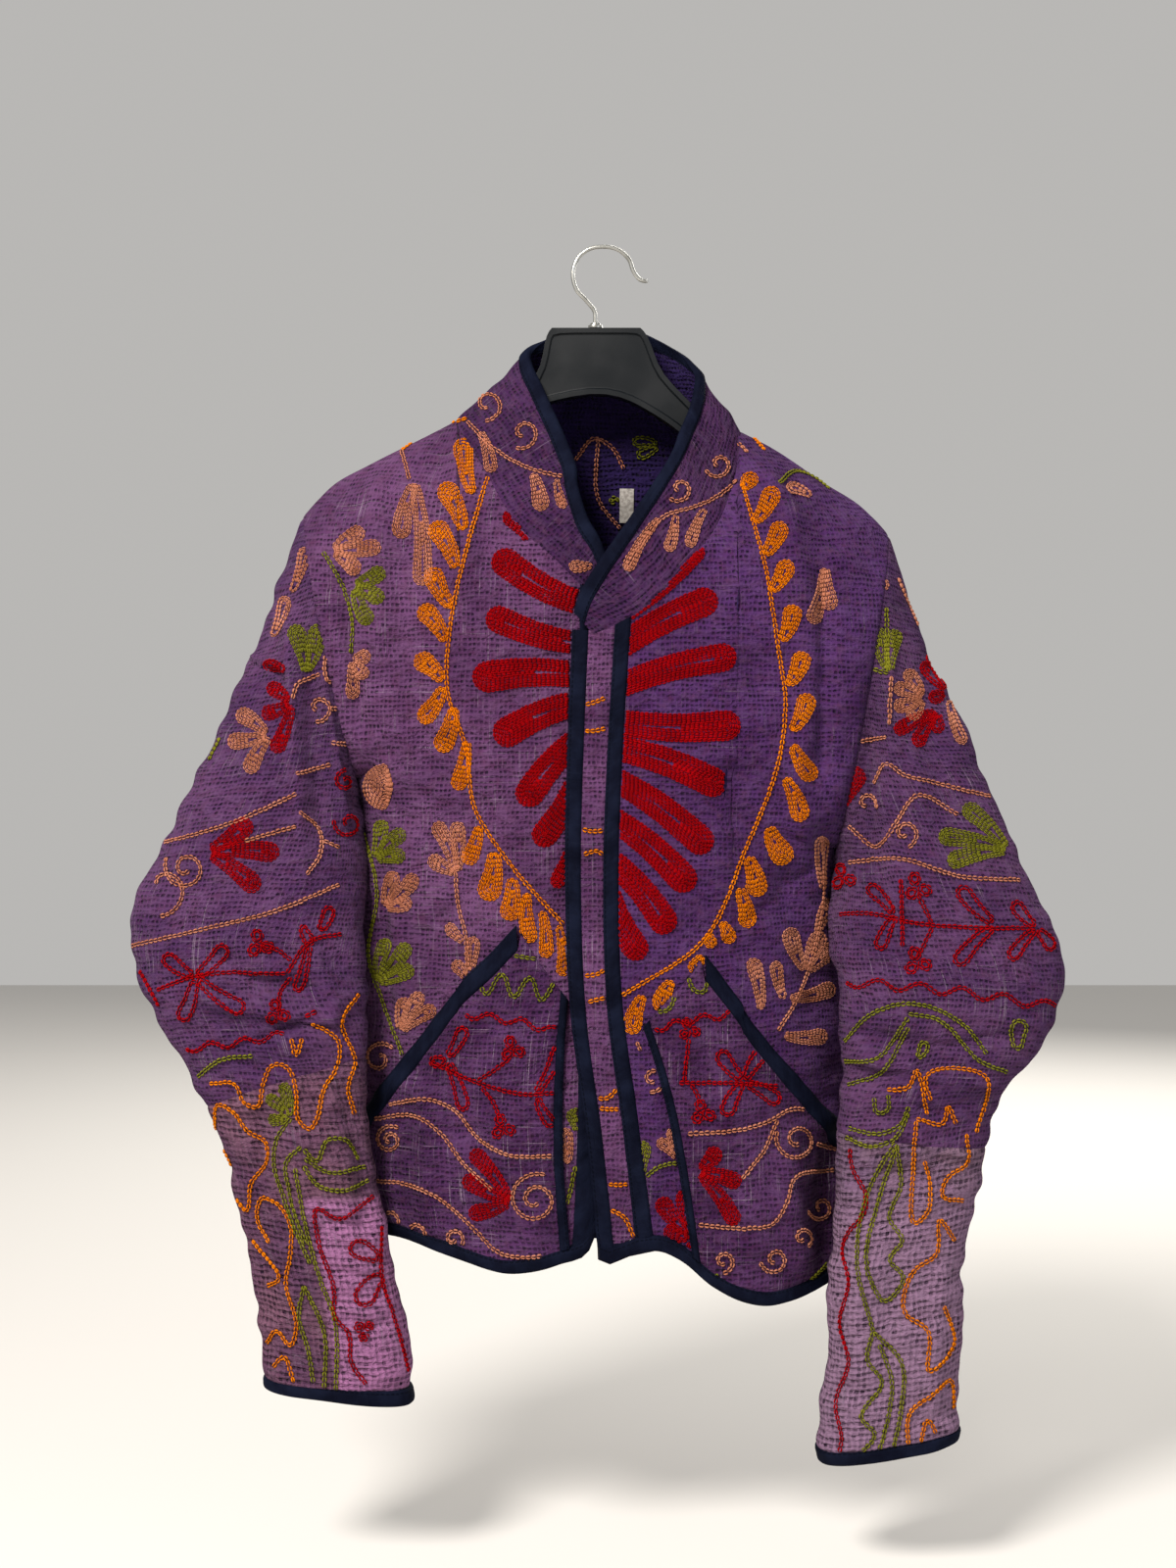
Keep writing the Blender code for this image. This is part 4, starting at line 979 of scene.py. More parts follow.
@dataclass
class Wall:
    """A cloth wall over a grid of a surface, in millimetres.

    The first index of the grid runs across and the second runs down. `flat` holds the place of each
    point on the flat cloth, with one more column where the wall is a tube. `hold` is 0 where the cloth
    is sewn fast and 1 where its creases are free to move it.
    """

    name: str
    point: Array
    normal: Array
    flat: Array
    high: Array
    low: float = 0.0
    hold: Array | None = None
    closed: bool = False
    ratio: int = 2
    crumple: float = 1.6

    def border(self) -> Array:
        """How far each point is from the nearest border.

        Returns:
            Millimetres, at each point.
        """
        down = arc(self.point, 1)
        away = np.minimum(down, down[:, -1:] - down)
        if not self.closed:
            across = arc(self.point, 0)
            away = np.minimum(away, np.minimum(across, across[-1:] - across))
        return away

    def ring(self) -> Array:
        """The points, with the first column once more where the wall is a tube."""
        return np.concatenate([self.point, self.point[:1]]) if self.closed else self.point

    def area(self) -> float:
        """The wall's area in square millimetres.

        Returns:
            The area.
        """
        ring = self.ring()
        one, two = ring[1:, 1:] - ring[:-1, :-1], ring[1:, :-1] - ring[:-1, 1:]
        return float(np.linalg.norm(np.cross(one, two), axis=-1).sum() / 2)

    def rolled(self, drop: float, reach: float = ROLL_REACH) -> "Wall":
        """Lets the outer face drop towards the borders, where the cloth turns into its seams."""
        self.high = self.high - drop * np.exp(-self.border() / reach)
        return self

    def creased(self, tables: dict[View, list[Crease]]) -> "Wall":
        """Moves the wall by the creases of both sketches and by the cloth's unevenness.

        Args:
            tables: the creases by sketch.

        Returns:
            The wall itself.
        """
        move = unevenness(self.point)
        for view, rows in tables.items():
            facing = soft_step(self.normal[..., 1] * view.value, 0.05, 0.6)
            sketch = view.sketch(self.point)
            for row in rows:
                move = move + self.crumple * row.amount(sketch) * facing
        hold = 1.0 if self.hold is None else self.hold
        self.point = self.point + self.normal * (move * hold)[..., None]
        return self

    def faces(self) -> tuple[list[tuple[int, ...]], list[tuple[int, ...]], int]:
        """Corners of the faces, the same by places on the flat cloth, and how many are outer ones.

        Returns:
            The faces, their flat places and the count.
        """
        across, rows = self.point.shape[:2]
        columns, r = (across if self.closed else across - 1), self.ratio
        kept_rows = (rows - 1) // r + 1
        base, last = across * rows, rows - 1
        found: list[tuple[int, ...]] = []
        flats: list[tuple[int, ...]] = []

        def out(i: int, j: int) -> tuple[int, int]:
            """The outer face's corner at column i and row j, and its flat place."""
            return (i % across) * rows + j, i * rows + j

        def into(i: int, j: int) -> tuple[int, int]:
            """The inner face's corner at column i and row j, and its flat place."""
            return base + (i % across) // r * kept_rows + j // r, i * rows + j

        def add(*corners: tuple[int, int]) -> None:
            """Adds a face."""
            found.append(tuple(corner[0] for corner in corners))
            flats.append(tuple(corner[1] for corner in corners))

        for i in range(columns):
            for j in range(rows - 1):
                add(out(i, j), out(i + 1, j), out(i + 1, j + 1), out(i, j + 1))
        outer = len(found)
        for i in range(0, columns, r):
            for j in range(0, rows - 1, r):
                add(into(i, j), into(i, j + r), into(i + r, j + r), into(i + r, j))
            add(into(i, 0), into(i + r, 0), *[out(i + k, 0) for k in range(r, -1, -1)])
            add(into(i + r, last), into(i, last), *[out(i + k, last) for k in range(r + 1)])
        for i in () if self.closed else (0, across - 1):
            for j in range(0, rows - 1, r):
                run = [out(i, j + k) for k in range(r + 1)]
                if i:
                    add(into(i, j), into(i, j + r), *run[::-1])
                else:
                    add(into(i, j + r), into(i, j), *run)
        return found, flats, outer

    def build(self, outside: bpy.types.Material, inside: bpy.types.Material) -> bpy.types.Object:
        """Makes the closed wall.

        Args:
            outside: the material of the outer face.
            inside: the material of the inner face and the rims.

        Returns:
            The new object, with its flat places in metres as its UV map.
        """
        high = np.broadcast_to(self.high, self.point.shape[:2])
        outer = self.point + self.normal * high[..., None]
        inner = (self.point + self.normal * self.low)[:: self.ratio, :: self.ratio]
        points = np.concatenate([outer.reshape(-1, 3), inner.reshape(-1, 3)]) * MM
        faces, flats, count = self.faces()
        mesh = bpy.data.meshes.new(self.name)
        mesh.from_pydata(points.tolist(), [], faces)
        places = self.flat.reshape(-1, 2)[np.fromiter((k for face in flats for k in face), int)] * MM
        layer = mesh.uv_layers.new(name=FLAT_MAP)
        layer.data.foreach_set("uv", places.ravel())
        slots = np.ones(len(faces), int)
        slots[:count] = 0
        mesh.polygons.foreach_set("material_index", slots)
        mesh.materials.append(outside)
        mesh.materials.append(inside)
        turned_out(mesh)
        mesh.set_sharp_from_angle(angle=math.radians(55))
        return placed(self.name, mesh)


def panel_flat(point: Array) -> Array:
    """Places on the flat cloth of a body panel: along the thread from the front edge, and down.

    Args:
        point: the wall's points.

    Returns:
        The places, in millimetres.
    """
    level_steps = np.linalg.norm(np.diff(point[..., :2], axis=0), axis=-1)
    across = np.concatenate([np.zeros((1, point.shape[1])), np.cumsum(level_steps, axis=0)])
    return np.stack([across + point[:1, :, 0], -point[..., 2]], axis=-1)


def panel_hold(name: str, u: Array, v: Array) -> Array:
    """How freely a body panel's creases move it: not at all on its sewn edges, and wholly at its hem."""
    hold = soft_step(v, 0.0, 0.05) * soft_step(1 - u, 0.0, 0.05)
    return hold * soft_step(u, 0.0, 0.05) if name == "back" else hold


def meet(panel: str, point: Array, u: Array, v: Array) -> None:
    """Moves a body panel's columns at the side seams a little past them, so that no light comes through.

    Args:
        panel: the panel's name.
        point: the wall's points, which it changes.
        u: shares across.
        v: shares down.
    """
    form, way = PANELS[panel], -1.0 if panel == "back" else 1.0
    sewn = (u > 1 - AT_SEAM) & (v > form.end.knots[TURN_POINTS - 1])
    if panel == "back":
        sewn = sewn | ((u < AT_SEAM) & (v > form.start.knots[TURN_POINTS - 1]))
    point[..., 1] += way * SIDE_MEET * sewn


def panel_wall(
    name: str,
    panel: str,
    grid: tuple[Array, Array],
    high: float,
    low: float = 0.0,
    seams: tuple[tuple[object, Shared], ...] = (),
) -> Wall:
    """A wall over a grid of a body panel.

    Args:
        name: the piece's name.
        panel: the name of the panel on whose surface it lies.
        grid: u and v, with an odd count each way.
        high: how far the outer face stands out.
        low: how far the inner face stands out.
        seams: sides of the grid and the functions that give the normals there.

    Returns:
        The wall, creased but not built yet.
    """
    surface = PANELS[panel].surface
    u, v = np.broadcast_arrays(*grid)
    point, normal = surface.point(u, v), surface.normals(u, v)
    meet(panel, point, u, v)
    for where, shared in seams:
        normal[where] = shared(u[where], v[where], normal[where])
    flat, hold = panel_flat(point), panel_hold(panel, u, v)
    return Wall(name, point, normal, flat, np.full(u.shape, float(high)), low, hold).creased(BODY_CREASES)


def cushioned(wall: Wall, axis: int, edge: float) -> Wall:
    """Rounds a folded binding over its width, so that it is full in the middle and thin at its edges.

    Args:
        wall: the binding.
        axis: the grid's axis over its width.
        edge: its thickness at its edges.

    Returns:
        The wall itself.
    """
    length = arc(wall.point, axis)
    share = length / np.take(length, [-1], axis=axis).clip(1e-6)
    fullness = (1.0 - np.abs(2 * share - 1) ** 4) ** 0.5
    wall.high = edge + (wall.high - edge) * fullness
    return wall


def from_side(wall: Wall, reach: float) -> Array:
    """1 at the wall's last column and less and less away from it."""
    across = arc(wall.point, 0)
    return np.exp((across - across[-1:]) / reach)


def settled(wall: Wall) -> Wall:
    """Lets a pocket's layer down to the front where it is sewn into the side seam."""
    wall.point = wall.point - wall.normal * (POCKET_SETTLE * from_side(wall, SETTLE_REACH))[..., None]
    return wall


def strip_flat(wall: Wall, along_axis: int) -> Wall:
    """Places on a binding's own strip: along it, and across it from its first edge.

    Args:
        wall: the binding.
        along_axis: the grid's axis along it.

    Returns:
        The wall itself.
    """
    along = arc(wall.point, along_axis)
    along = along.mean(axis=1 - along_axis, keepdims=True) + 0 * along
    wall.flat = np.stack([along, arc(wall.point, 1 - along_axis)], axis=-1)
    return wall


def colour(code: str) -> tuple[float, float, float, float]:
    """A linear colour from its usual six-figure code.

    Args:
        code: the code, with its hash.

    Returns:
        Red, green, blue and 1.
    """
    parts = [int(code[k : k + 2], 16) / 255 for k in (1, 3, 5)]
    linear = [part / 12.92 if part <= 0.04045 else ((part + 0.055) / 1.055) ** 2.4 for part in parts]
    return (*linear, 1.0)


class Web:
    """A node tree that is built in short calls."""

    def __init__(self, tree: bpy.types.NodeTree) -> None:
        """Takes the tree to build in."""
        self.tree = tree

    def add(self, kind: str, values: dict[str | int, Value], **settings: object) -> bpy.types.Node:
        """Adds a node.

        Args:
            kind: the node's type.
            values: a number, colour or socket for each input, by its name or place.
            settings: the node's own settings.

        Returns:
            The new node.
        """
        node = self.tree.nodes.new(kind)
        for name, setting in settings.items():
            setattr(node, name, setting)
        for key, value in values.items():
            if isinstance(value, bpy.types.NodeSocket):
                self.tree.links.new(value, node.inputs[key])
            else:
                node.inputs[key].default_value = value
        return node

    def math(self, operation: str, first: Value, second: Value = 0.0, third: Value = 0.0) -> Socket:
        """A number worked out from up to three others."""
        return self.add("ShaderNodeMath", {0: first, 1: second, 2: third}, operation=operation).outputs[0]

    def vector(self, operation: str, first: Value, second: Value) -> Socket:
        """A vector worked out from two others, or from one and its scale."""
        other = "Scale" if operation == "SCALE" else 1
        return self.add("ShaderNodeVectorMath", {0: first, other: second}, operation=operation).outputs[0]

    def ramp(
        self, value: Value, low: Value, high: Value, to_low: float = 0.0, to_high: float = 1.0
    ) -> Socket:
        """A smooth rise from to_low at low to to_high at high."""
        values = {0: value, 1: low, 2: high, 3: to_low, 4: to_high}
        return self.add("ShaderNodeMapRange", values, interpolation_type="SMOOTHSTEP").outputs[0]

    def mix(self, share: Value, first: Value, second: Value) -> Socket:
        """A colour between two others."""
        return self.add("ShaderNodeMix", {0: share, 6: first, 7: second}, data_type="RGBA").outputs[2]

    def scaled(self, vector: Socket, scale: tuple[float, float, float]) -> Socket:
        """A vector scaled along each axis by a Mapping node."""
        return self.add("ShaderNodeMapping", {"Vector": vector, "Scale": scale}).outputs[0]

    def noise(self, vector: Socket, scale: float, detail: float = 2.0, roughness: float = 0.5) -> Socket:
        """Noise from 0 to 1."""
        values = {"Vector": vector, "Scale": scale, "Detail": detail, "Roughness": roughness}
        return self.add("ShaderNodeTexNoise", values).outputs[0]

    def chance(self, value: Socket) -> Socket:
        """A number from 0 to 1 that looks random, the same for the same value."""
        return self.add("ShaderNodeTexWhiteNoise", {"W": value}, noise_dimensions="1D").outputs["Value"]

    def axes(self, vector: Socket) -> bpy.types.NodeOutputs:
        """The X, Y and Z of a vector."""
        return self.add("ShaderNodeSeparateXYZ", {0: vector}).outputs

    def flat(self) -> Socket:
        """The place on the flat cloth, from the piece's own UV map."""
        return self.add("ShaderNodeUVMap", {}, uv_map=FLAT_MAP).outputs[0]

    def place(self) -> Socket:
        """The place on the object."""
        return self.add("ShaderNodeTexCoord", {}).outputs["Object"]

    def group(self, tree: bpy.types.NodeTree, values: dict[str, Value]) -> bpy.types.Node:
        """Places a shared group with its own values."""
        return self.add("ShaderNodeGroup", values, node_tree=tree)

    def give(self, leave: bpy.types.Node, values: dict[str, Socket]) -> bpy.types.NodeTree:
        """Ends a group.

        Args:
            leave: the group's output node.
            values: what it puts out, by the outputs' names.

        Returns:
            The group's tree.
        """
        for label, value in values.items():
            self.tree.links.new(value, leave.inputs[label])
        return self.tree


def new_group(
    name: str, inputs: dict[str, float | None], outputs: list[str]
) -> tuple[Web, dict[str, Socket], bpy.types.Node]:
    """A shader node group with its sockets.

    Args:
        name: the group's name.
        inputs: default numbers by input name, and None for a vector.
        outputs: names of the number outputs.

    Returns:
        The web to build in, the inputs' sockets by name, and the output node.
    """
    tree = bpy.data.node_groups.new(name, "ShaderNodeTree")
    for label, default in inputs.items():
        kind = "NodeSocketVector" if default is None else "NodeSocketFloat"
        made = tree.interface.new_socket(name=label, in_out="INPUT", socket_type=kind)
        if default is not None:
            made.default_value = default
    for label in outputs:
        tree.interface.new_socket(name=label, in_out="OUTPUT", socket_type="NodeSocketFloat")
    web = Web(tree)
    entry, leave = tree.nodes.new("NodeGroupInput"), tree.nodes.new("NodeGroupOutput")
    return web, {label: entry.outputs[label] for label in inputs}, leave


def quilting_group() -> bpy.types.NodeTree:
    """Rows of running stitch that dimple the cloth: its height, a mask for the shade painted in its hollows,
    and a mask for the highlight painted on its puffs.

    Returns:
        The group's tree.
    """
    inputs = {"Vector": None, "Row Pitch": 3.5, "Stitch Pitch": 3.1, "Wander": 8.0, "Ripple": 0.12}
    web, given, leave = new_group("running_stitch_rows", inputs, ["Height", "Hollow", "Puff Highlight"])
    place = web.scaled(given["Vector"], IN_MILLIMETRES)
    cloud = {"Vector": place, "Scale": 0.03, "Detail": 3.0, "Roughness": 0.62}
    drift = web.vector("SUBTRACT", web.add("ShaderNodeTexNoise", cloud).outputs["Color"], (0.5, 0.5, 0.5))
    bent = web.vector("ADD", place, web.vector("SCALE", drift, given["Wander"]))
    axes = web.axes(bent)
    half_row = web.math("MULTIPLY", given["Row Pitch"], 0.5)
    from_row = web.math("DIVIDE", web.math("PINGPONG", axes["Y"], half_row), half_row)
    row = web.math("FLOOR", web.math("DIVIDE", web.math("ADD", axes["Y"], half_row), given["Row Pitch"]))
    chance = web.chance(row)
    along = web.math("DIVIDE", axes["X"], given["Stitch Pitch"])
    along = web.math("ADD", along, web.math("MULTIPLY", chance, 0.35))
    from_stitch = web.math("MULTIPLY", web.math("PINGPONG", along, 0.5), 2.0)
    cell = web.math("ADD", web.math("MULTIPLY", web.math("FLOOR", web.math("ADD", along, 0.5)), 7.13), row)
    pull = web.math("ADD", web.math("MULTIPLY", web.chance(cell), 0.6), 0.4)
    puffs = web.noise(web.scaled(bent, (0.10, 0.22, 1.0)), 1.0, 2.0)
    broken = web.ramp(puffs, 0.62, 0.40, 0.35, 1.0)
    line = web.math("MULTIPLY", web.ramp(from_row, 0.80, 0.10), broken)
    dimple = web.math("MULTIPLY", web.math("MULTIPLY", line, web.ramp(from_stitch, 0.78, 0.28)), pull)
    height = web.math("SUBTRACT", web.math("MULTIPLY", puffs, 2.0), web.math("MULTIPLY", dimple, 0.90))
    edge = web.math("MULTIPLY", web.math("MULTIPLY", web.ramp(from_stitch, 0.55, 0.05), pull), 0.7)
    edge = web.math("MULTIPLY", web.math("MAXIMUM", line, edge), given["Ripple"])
    height = web.math("SUBTRACT", height, edge)
    # Mask of the painted shade: dark in the stitch dimples and, where the rows ripple, along the row lines.
    hollow = web.math("MAXIMUM", dimple, web.math("MULTIPLY", edge, 0.6))
    # Puff Highlight masks the highlight painted on the puffs between the rows.
    return web.give(leave, {"Height": height, "Hollow": hollow, "Puff Highlight": web.ramp(puffs, 0.42, 0.66)})


def slub_group() -> bpy.types.NodeTree:
    """A plain weave with thicker pale threads here and there, across and down.

    Returns:
        The group's tree.
    """
    web, given, leave = new_group("slub_weave", {"Vector": None, "Thread Pitch": 0.8}, ["Height", "Pale"])
    place = web.scaled(given["Vector"], IN_MILLIMETRES)
    axes = web.axes(place)
    turn = web.math("DIVIDE", FULL_TURN, given["Thread Pitch"])
    waves = [web.math("SINE", web.math("MULTIPLY", axes[name], turn)) for name in ("X", "Y")]
    fibre = web.noise(place, 1.9, 3.0, 0.7)
    height = web.math("MULTIPLY", web.math("MULTIPLY", *waves), 0.05)
    height = web.math("ADD", height, web.math("MULTIPLY", fibre, 0.16))
    across = web.noise(web.scaled(place, (0.016, 1.15, 1.0)), 1.0, 2.0)
    down = web.noise(web.scaled(place, (1.05, 0.013, 1.0)), 1.0, 2.0)
    broken = web.ramp(web.noise(place, 0.05, 3.0), 0.40, 0.62)
    pale = web.math("MAXIMUM", web.ramp(across, 0.63, 0.70), web.ramp(down, 0.61, 0.68))
    pale = web.math("MULTIPLY", pale, broken)
    height = web.math("ADD", height, web.math("MULTIPLY", pale, 0.12))
    return web.give(leave, {"Height": height, "Pale": pale})


def fading_group() -> bpy.types.NodeTree:
    """Broad uneven patches, for faded cloth and its undertones.

    Returns:
        The group's tree.
    """
    web, given, leave = new_group("uneven_fading", {"Vector": None, "Size": 60.0}, ["Patch", "Grain"])
    place = web.scaled(given["Vector"], IN_MILLIMETRES)
    near = web.vector("SCALE", place, web.math("DIVIDE", 1.0, given["Size"]))
    patch = web.ramp(web.noise(near, 1.0, 4.0, 0.6), 0.36, 0.64)
    return web.give(leave, {"Patch": patch, "Grain": web.noise(near, 9.0, 4.0, 0.65)})


def wool_group() -> bpy.types.NodeTree:
    """The fuzz and the uneven dye of wool yarn.

    Returns:
        The group's tree.
    """
    web, given, leave = new_group("wool_fuzz", {"Vector": None, "Fuzz": 1400.0}, ["Height", "Shade"])
    place = web.vector("SCALE", given["Vector"], given["Fuzz"])
    fuzz = web.noise(place, 1.0, 3.0, 0.7)
    slow = web.noise(given["Vector"], 70.0, 3.0)
    shade = web.math("ADD", web.math("MULTIPLY", fuzz, 0.5), web.math("MULTIPLY", slow, 0.5))
    return web.give(leave, {"Height": fuzz, "Shade": shade})


class Effects:
    """The shared shader groups, each built once."""

    def __init__(self) -> None:
        """Builds the groups."""
        self.quilting, self.slub = quilting_group(), slub_group()
        self.fading, self.wool = fading_group(), wool_group()


def new_material(name: str) -> tuple[bpy.types.Material, Web, bpy.types.Node]:
    """A material, its web and its Principled shader.

    Args:
        name: the material's name.

    Returns:
        The three.
    """
    made = bpy.data.materials.new(name)
    made.use_nodes = True
    return made, Web(made.node_tree), made.node_tree.nodes["Principled BSDF"]


def bumped(web: Web, shader: bpy.types.Node, height: Socket, strength: float = 1.0) -> None:
    """Gives a shader a bump whose height is in millimetres."""
    bump = web.add("ShaderNodeBump", {"Height": height, "Distance": MM, "Strength": strength})
    web.tree.links.new(bump.outputs[0], shader.inputs["Normal"])


def dressed(web: Web, shader: bpy.types.Node, shade: Socket, rough: Socket) -> None:
    """Gives a shader its colour and its roughness."""
    web.tree.links.new(shade, shader.inputs["Base Color"])
    web.tree.links.new(rough, shader.inputs["Roughness"])


@dataclass(frozen=True)
class KanthaCloth:
    """Quilted cotton: its dyes, its fading, how deep the running stitch pulls it, and the shade and highlight
    painted on its dimples and puffs.

    block: the colour of a patch of other cloth, where it begins across and down, and its edge's softness.
    """

    name: str
    base: str
    faded: str
    # hollow: the colour of the shade painted in the stitch dimples and along the rows.
    hollow: str
    undertone: str = "#442039"
    # pale: the colour of the pale slubs, and of the highlight painted on the puffs.
    pale: str = "#877689"
    patch: float = 60.0
    slubs: float = 0.45
    pucker: float = 1.8
    pitch: float = 3.5
    ripple: float = 0.12
    block: tuple[str, float, float, float] | None = None

    def material(self, effects: Effects) -> bpy.types.Material:
        """The cloth's material, which follows the flat places of its piece.

        Args:
            effects: the shared shader groups.

        Returns:
            The material.
        """
        made, web, shader = new_material(self.name)
        flat = web.flat()
        pitches = {"Row Pitch": self.pitch, "Stitch Pitch": self.pitch * 0.9, "Ripple": self.ripple}
        rows = web.group(effects.quilting, {"Vector": flat, **pitches})
        weave = web.group(effects.slub, {"Vector": flat})
        fade = web.group(effects.fading, {"Vector": flat, "Size": self.patch})
        shade = web.mix(fade.outputs["Patch"], colour(self.base), colour(self.faded))
        shade = web.mix(web.ramp(fade.outputs["Grain"], 0.42, 0.75, 0.0, 0.55), shade, colour(self.undertone))
        if self.block:
            code, beyond, below, soft = self.block
            axes = web.axes(flat)
            inside = web.ramp(axes["X"], (beyond - soft) * MM, (beyond + soft) * MM)
            under = web.ramp(axes["Y"], (below - soft) * MM, (below + soft) * MM)
            shade = web.mix(web.math("MULTIPLY", inside, under), shade, colour(code))
        # Painted highlight: the puffs are lightened a little towards the pale colour.
        shade = web.mix(web.math("MULTIPLY", rows.outputs["Puff Highlight"], 0.05), shade, colour(self.pale))
        # Painted shade: the dimples and row lines are darkened towards the hollow colour, by a depth that
        # varies at random over the cloth.
        worn = web.ramp(fade.outputs["Grain"], 0.35, 0.65, 1.0, 0.7)
        shade = web.mix(web.math("MULTIPLY", rows.outputs["Hollow"], worn), shade, colour(self.hollow))
        shade = web.mix(web.math("MULTIPLY", weave.outputs["Pale"], self.slubs), shade, colour(self.pale))
        dressed(web, shader, shade, web.ramp(fade.outputs["Grain"], 0.3, 0.7, 0.78, 0.94))
        shader.inputs["Sheen Weight"].default_value = 0.03
        shader.inputs["Sheen Roughness"].default_value = 0.5
        shader.inputs["Specular IOR Level"].default_value = 0.0
        bumped(web, shader, web.math("ADD", rows.outputs["Height"], weave.outputs["Height"]), self.pucker)
        return made


@dataclass(frozen=True)
class FoldedCotton:
    """Plain cotton folded into a binding, with a row of small stitches along its inner edge."""

    name: str
    base: str
    worn: str
    pale: str = "#343b50"
    thread: str = "#05070e"
    stitch_from_edge: float = 1.9
    stitch_pitch: float = 3.4

    def material(self, effects: Effects) -> bpy.types.Material:
        """The binding's material, which follows the strip.

        Args:
            effects: the shared shader groups.

        Returns:
            The material.
        """
        made, web, shader = new_material(self.name)
        flat = web.flat()
        weave = web.group(effects.slub, {"Vector": flat, "Thread Pitch": 0.6})
        fade = web.group(effects.fading, {"Vector": flat, "Size": 24.0})
        place = web.scaled(flat, IN_MILLIMETRES)
        axes = web.axes(place)
        from_line = web.math("ABSOLUTE", web.math("SUBTRACT", axes["Y"], self.stitch_from_edge))
        from_gap = web.math("PINGPONG", web.math("DIVIDE", axes["X"], self.stitch_pitch), 0.5)
        stitch = web.math("MULTIPLY", web.ramp(from_line, 0.7, 0.2), web.ramp(from_gap, 0.14, 0.22))
        puckers = web.noise(web.scaled(place, (0.16, 0.04, 1.0)), 1.0, 3.0)
        shade = web.mix(fade.outputs["Patch"], colour(self.base), colour(self.worn))
        shade = web.mix(web.math("MULTIPLY", weave.outputs["Pale"], 0.10), shade, colour(self.pale))
        shade = web.mix(web.math("MULTIPLY", stitch, 0.7), shade, colour(self.thread))
        dressed(web, shader, shade, web.ramp(fade.outputs["Grain"], 0.3, 0.7, 0.68, 0.86))
        shader.inputs["Specular IOR Level"].default_value = 0.02
        height = web.math("ADD", weave.outputs["Height"], web.math("MULTIPLY", puckers, 1.1))
        bumped(web, shader, web.math("SUBTRACT", height, web.math("MULTIPLY", stitch, 0.35)))
        return made


@dataclass(frozen=True)
class WoolYarn:
    """Embroidery wool of one dye."""

    name: str
    base: str
    deep: str

    def material(self, effects: Effects) -> bpy.types.Material:
        """The yarn's material.

        Args:
            effects: the shared shader groups.

        Returns:
            The material.
        """
        made, web, shader = new_material(self.name)
        wool = web.group(effects.wool, {"Vector": web.place()})
        link = web.add("ShaderNodeAttribute", {}, attribute_name="link_tone").outputs["Fac"]
        shade = web.mix(web.ramp(wool.outputs["Shade"], 0.30, 0.66), colour(self.deep), colour(self.base))
        shade = web.mix(web.math("MULTIPLY", link, 0.35), shade, colour(self.deep))
        dressed(web, shader, shade, web.ramp(wool.outputs["Shade"], 0.2, 0.8, 0.82, 0.96))
        shader.inputs["Specular IOR Level"].default_value = 0.04
        bumped(web, shader, web.math("MULTIPLY", wool.outputs["Height"], 0.35))
        return made


@dataclass(frozen=True)
class HangerPlastic:
    """Moulded satin plastic, painted a little lighter as a sheen on what faces up, where it is also rougher
    as with dust.
    """

    name: str = "satin_moulded_plastic"
    base: str = "#070b0f"
    dust_and_sheen: str = "#24282c"

    def material(self, effects: Effects) -> bpy.types.Material:
        """The plastic's material.

        Args:
            effects: the shared shader groups; not used.

        Returns:
            The material.
        """
        made, web, shader = new_material(self.name)
        place = web.place()
        cloud, fine = web.noise(place, 26.0, 4.0), web.noise(place, 900.0, 2.0)
        facing = web.axes(web.add("ShaderNodeNewGeometry", {}).outputs["Normal"])
        # Painted sheen: faces that look up are lightened towards a pale grey; the same mask also roughens
        # them as dust.
        dust_and_sheen = web.math("MULTIPLY", web.ramp(facing["Z"], 0.35, 1.0), web.ramp(cloud, 0.35, 0.7))
        shade = web.mix(web.math("MULTIPLY", dust_and_sheen, 0.35), colour(self.base), colour(self.dust_and_sheen))
        rough = web.ramp(cloud, 0.25, 0.75, 0.32, 0.46)
        dressed(web, shader, shade, web.math("ADD", rough, web.math("MULTIPLY", dust_and_sheen, 0.25)))
        shader.inputs["Specular IOR Level"].default_value = 0.30
        bumped(web, shader, web.math("MULTIPLY", fine, 0.03))
        return made


@dataclass(frozen=True)
class PlatedWire:
    """Drawn and plated steel wire."""

    name: str = "plated_steel_wire"
    base: str = "#c4c4bf"
    dull: str = "#85857f"

    def material(self, effects: Effects) -> bpy.types.Material:
        """The wire's material.

        Args:
            effects: the shared shader groups; not used.

        Returns:
            The material.
        """
        made, web, shader = new_material(self.name)
        place = web.place()
        cloud, drawn = web.noise(place, 60.0, 2.0), web.noise(place, 240.0, 2.0)
        shade = web.mix(web.ramp(cloud, 0.35, 0.7), colour(self.base), colour(self.dull))
        dressed(web, shader, shade, web.ramp(cloud, 0.2, 0.8, 0.26, 0.38))
        shader.inputs["Metallic"].default_value = 1.0
        bumped(web, shader, web.math("MULTIPLY", drawn, 0.004))
        return made


@dataclass(frozen=True)
class LabelWeave:
    """The bare woven label."""

    name: str = "bare_woven_label"
    base: str = "#8b8580"
    thread: str = "#b5b0aa"

    def material(self, effects: Effects) -> bpy.types.Material:
        """The label's material.

        Args:
            effects: the shared shader groups.

        Returns:
            The material.
        """
        made, web, shader = new_material(self.name)
        flat = web.flat()
        weave = web.group(effects.slub, {"Vector": flat, "Thread Pitch": 0.5})
        cloud = web.noise(web.scaled(flat, IN_MILLIMETRES), 0.4, 3.0)
        shade = web.mix(web.ramp(cloud, 0.35, 0.65), colour(self.base), colour(self.thread))
        dressed(web, shader, shade, web.ramp(cloud, 0.2, 0.8, 0.55, 0.75))
        bumped(web, shader, weave.outputs["Height"])
        return made


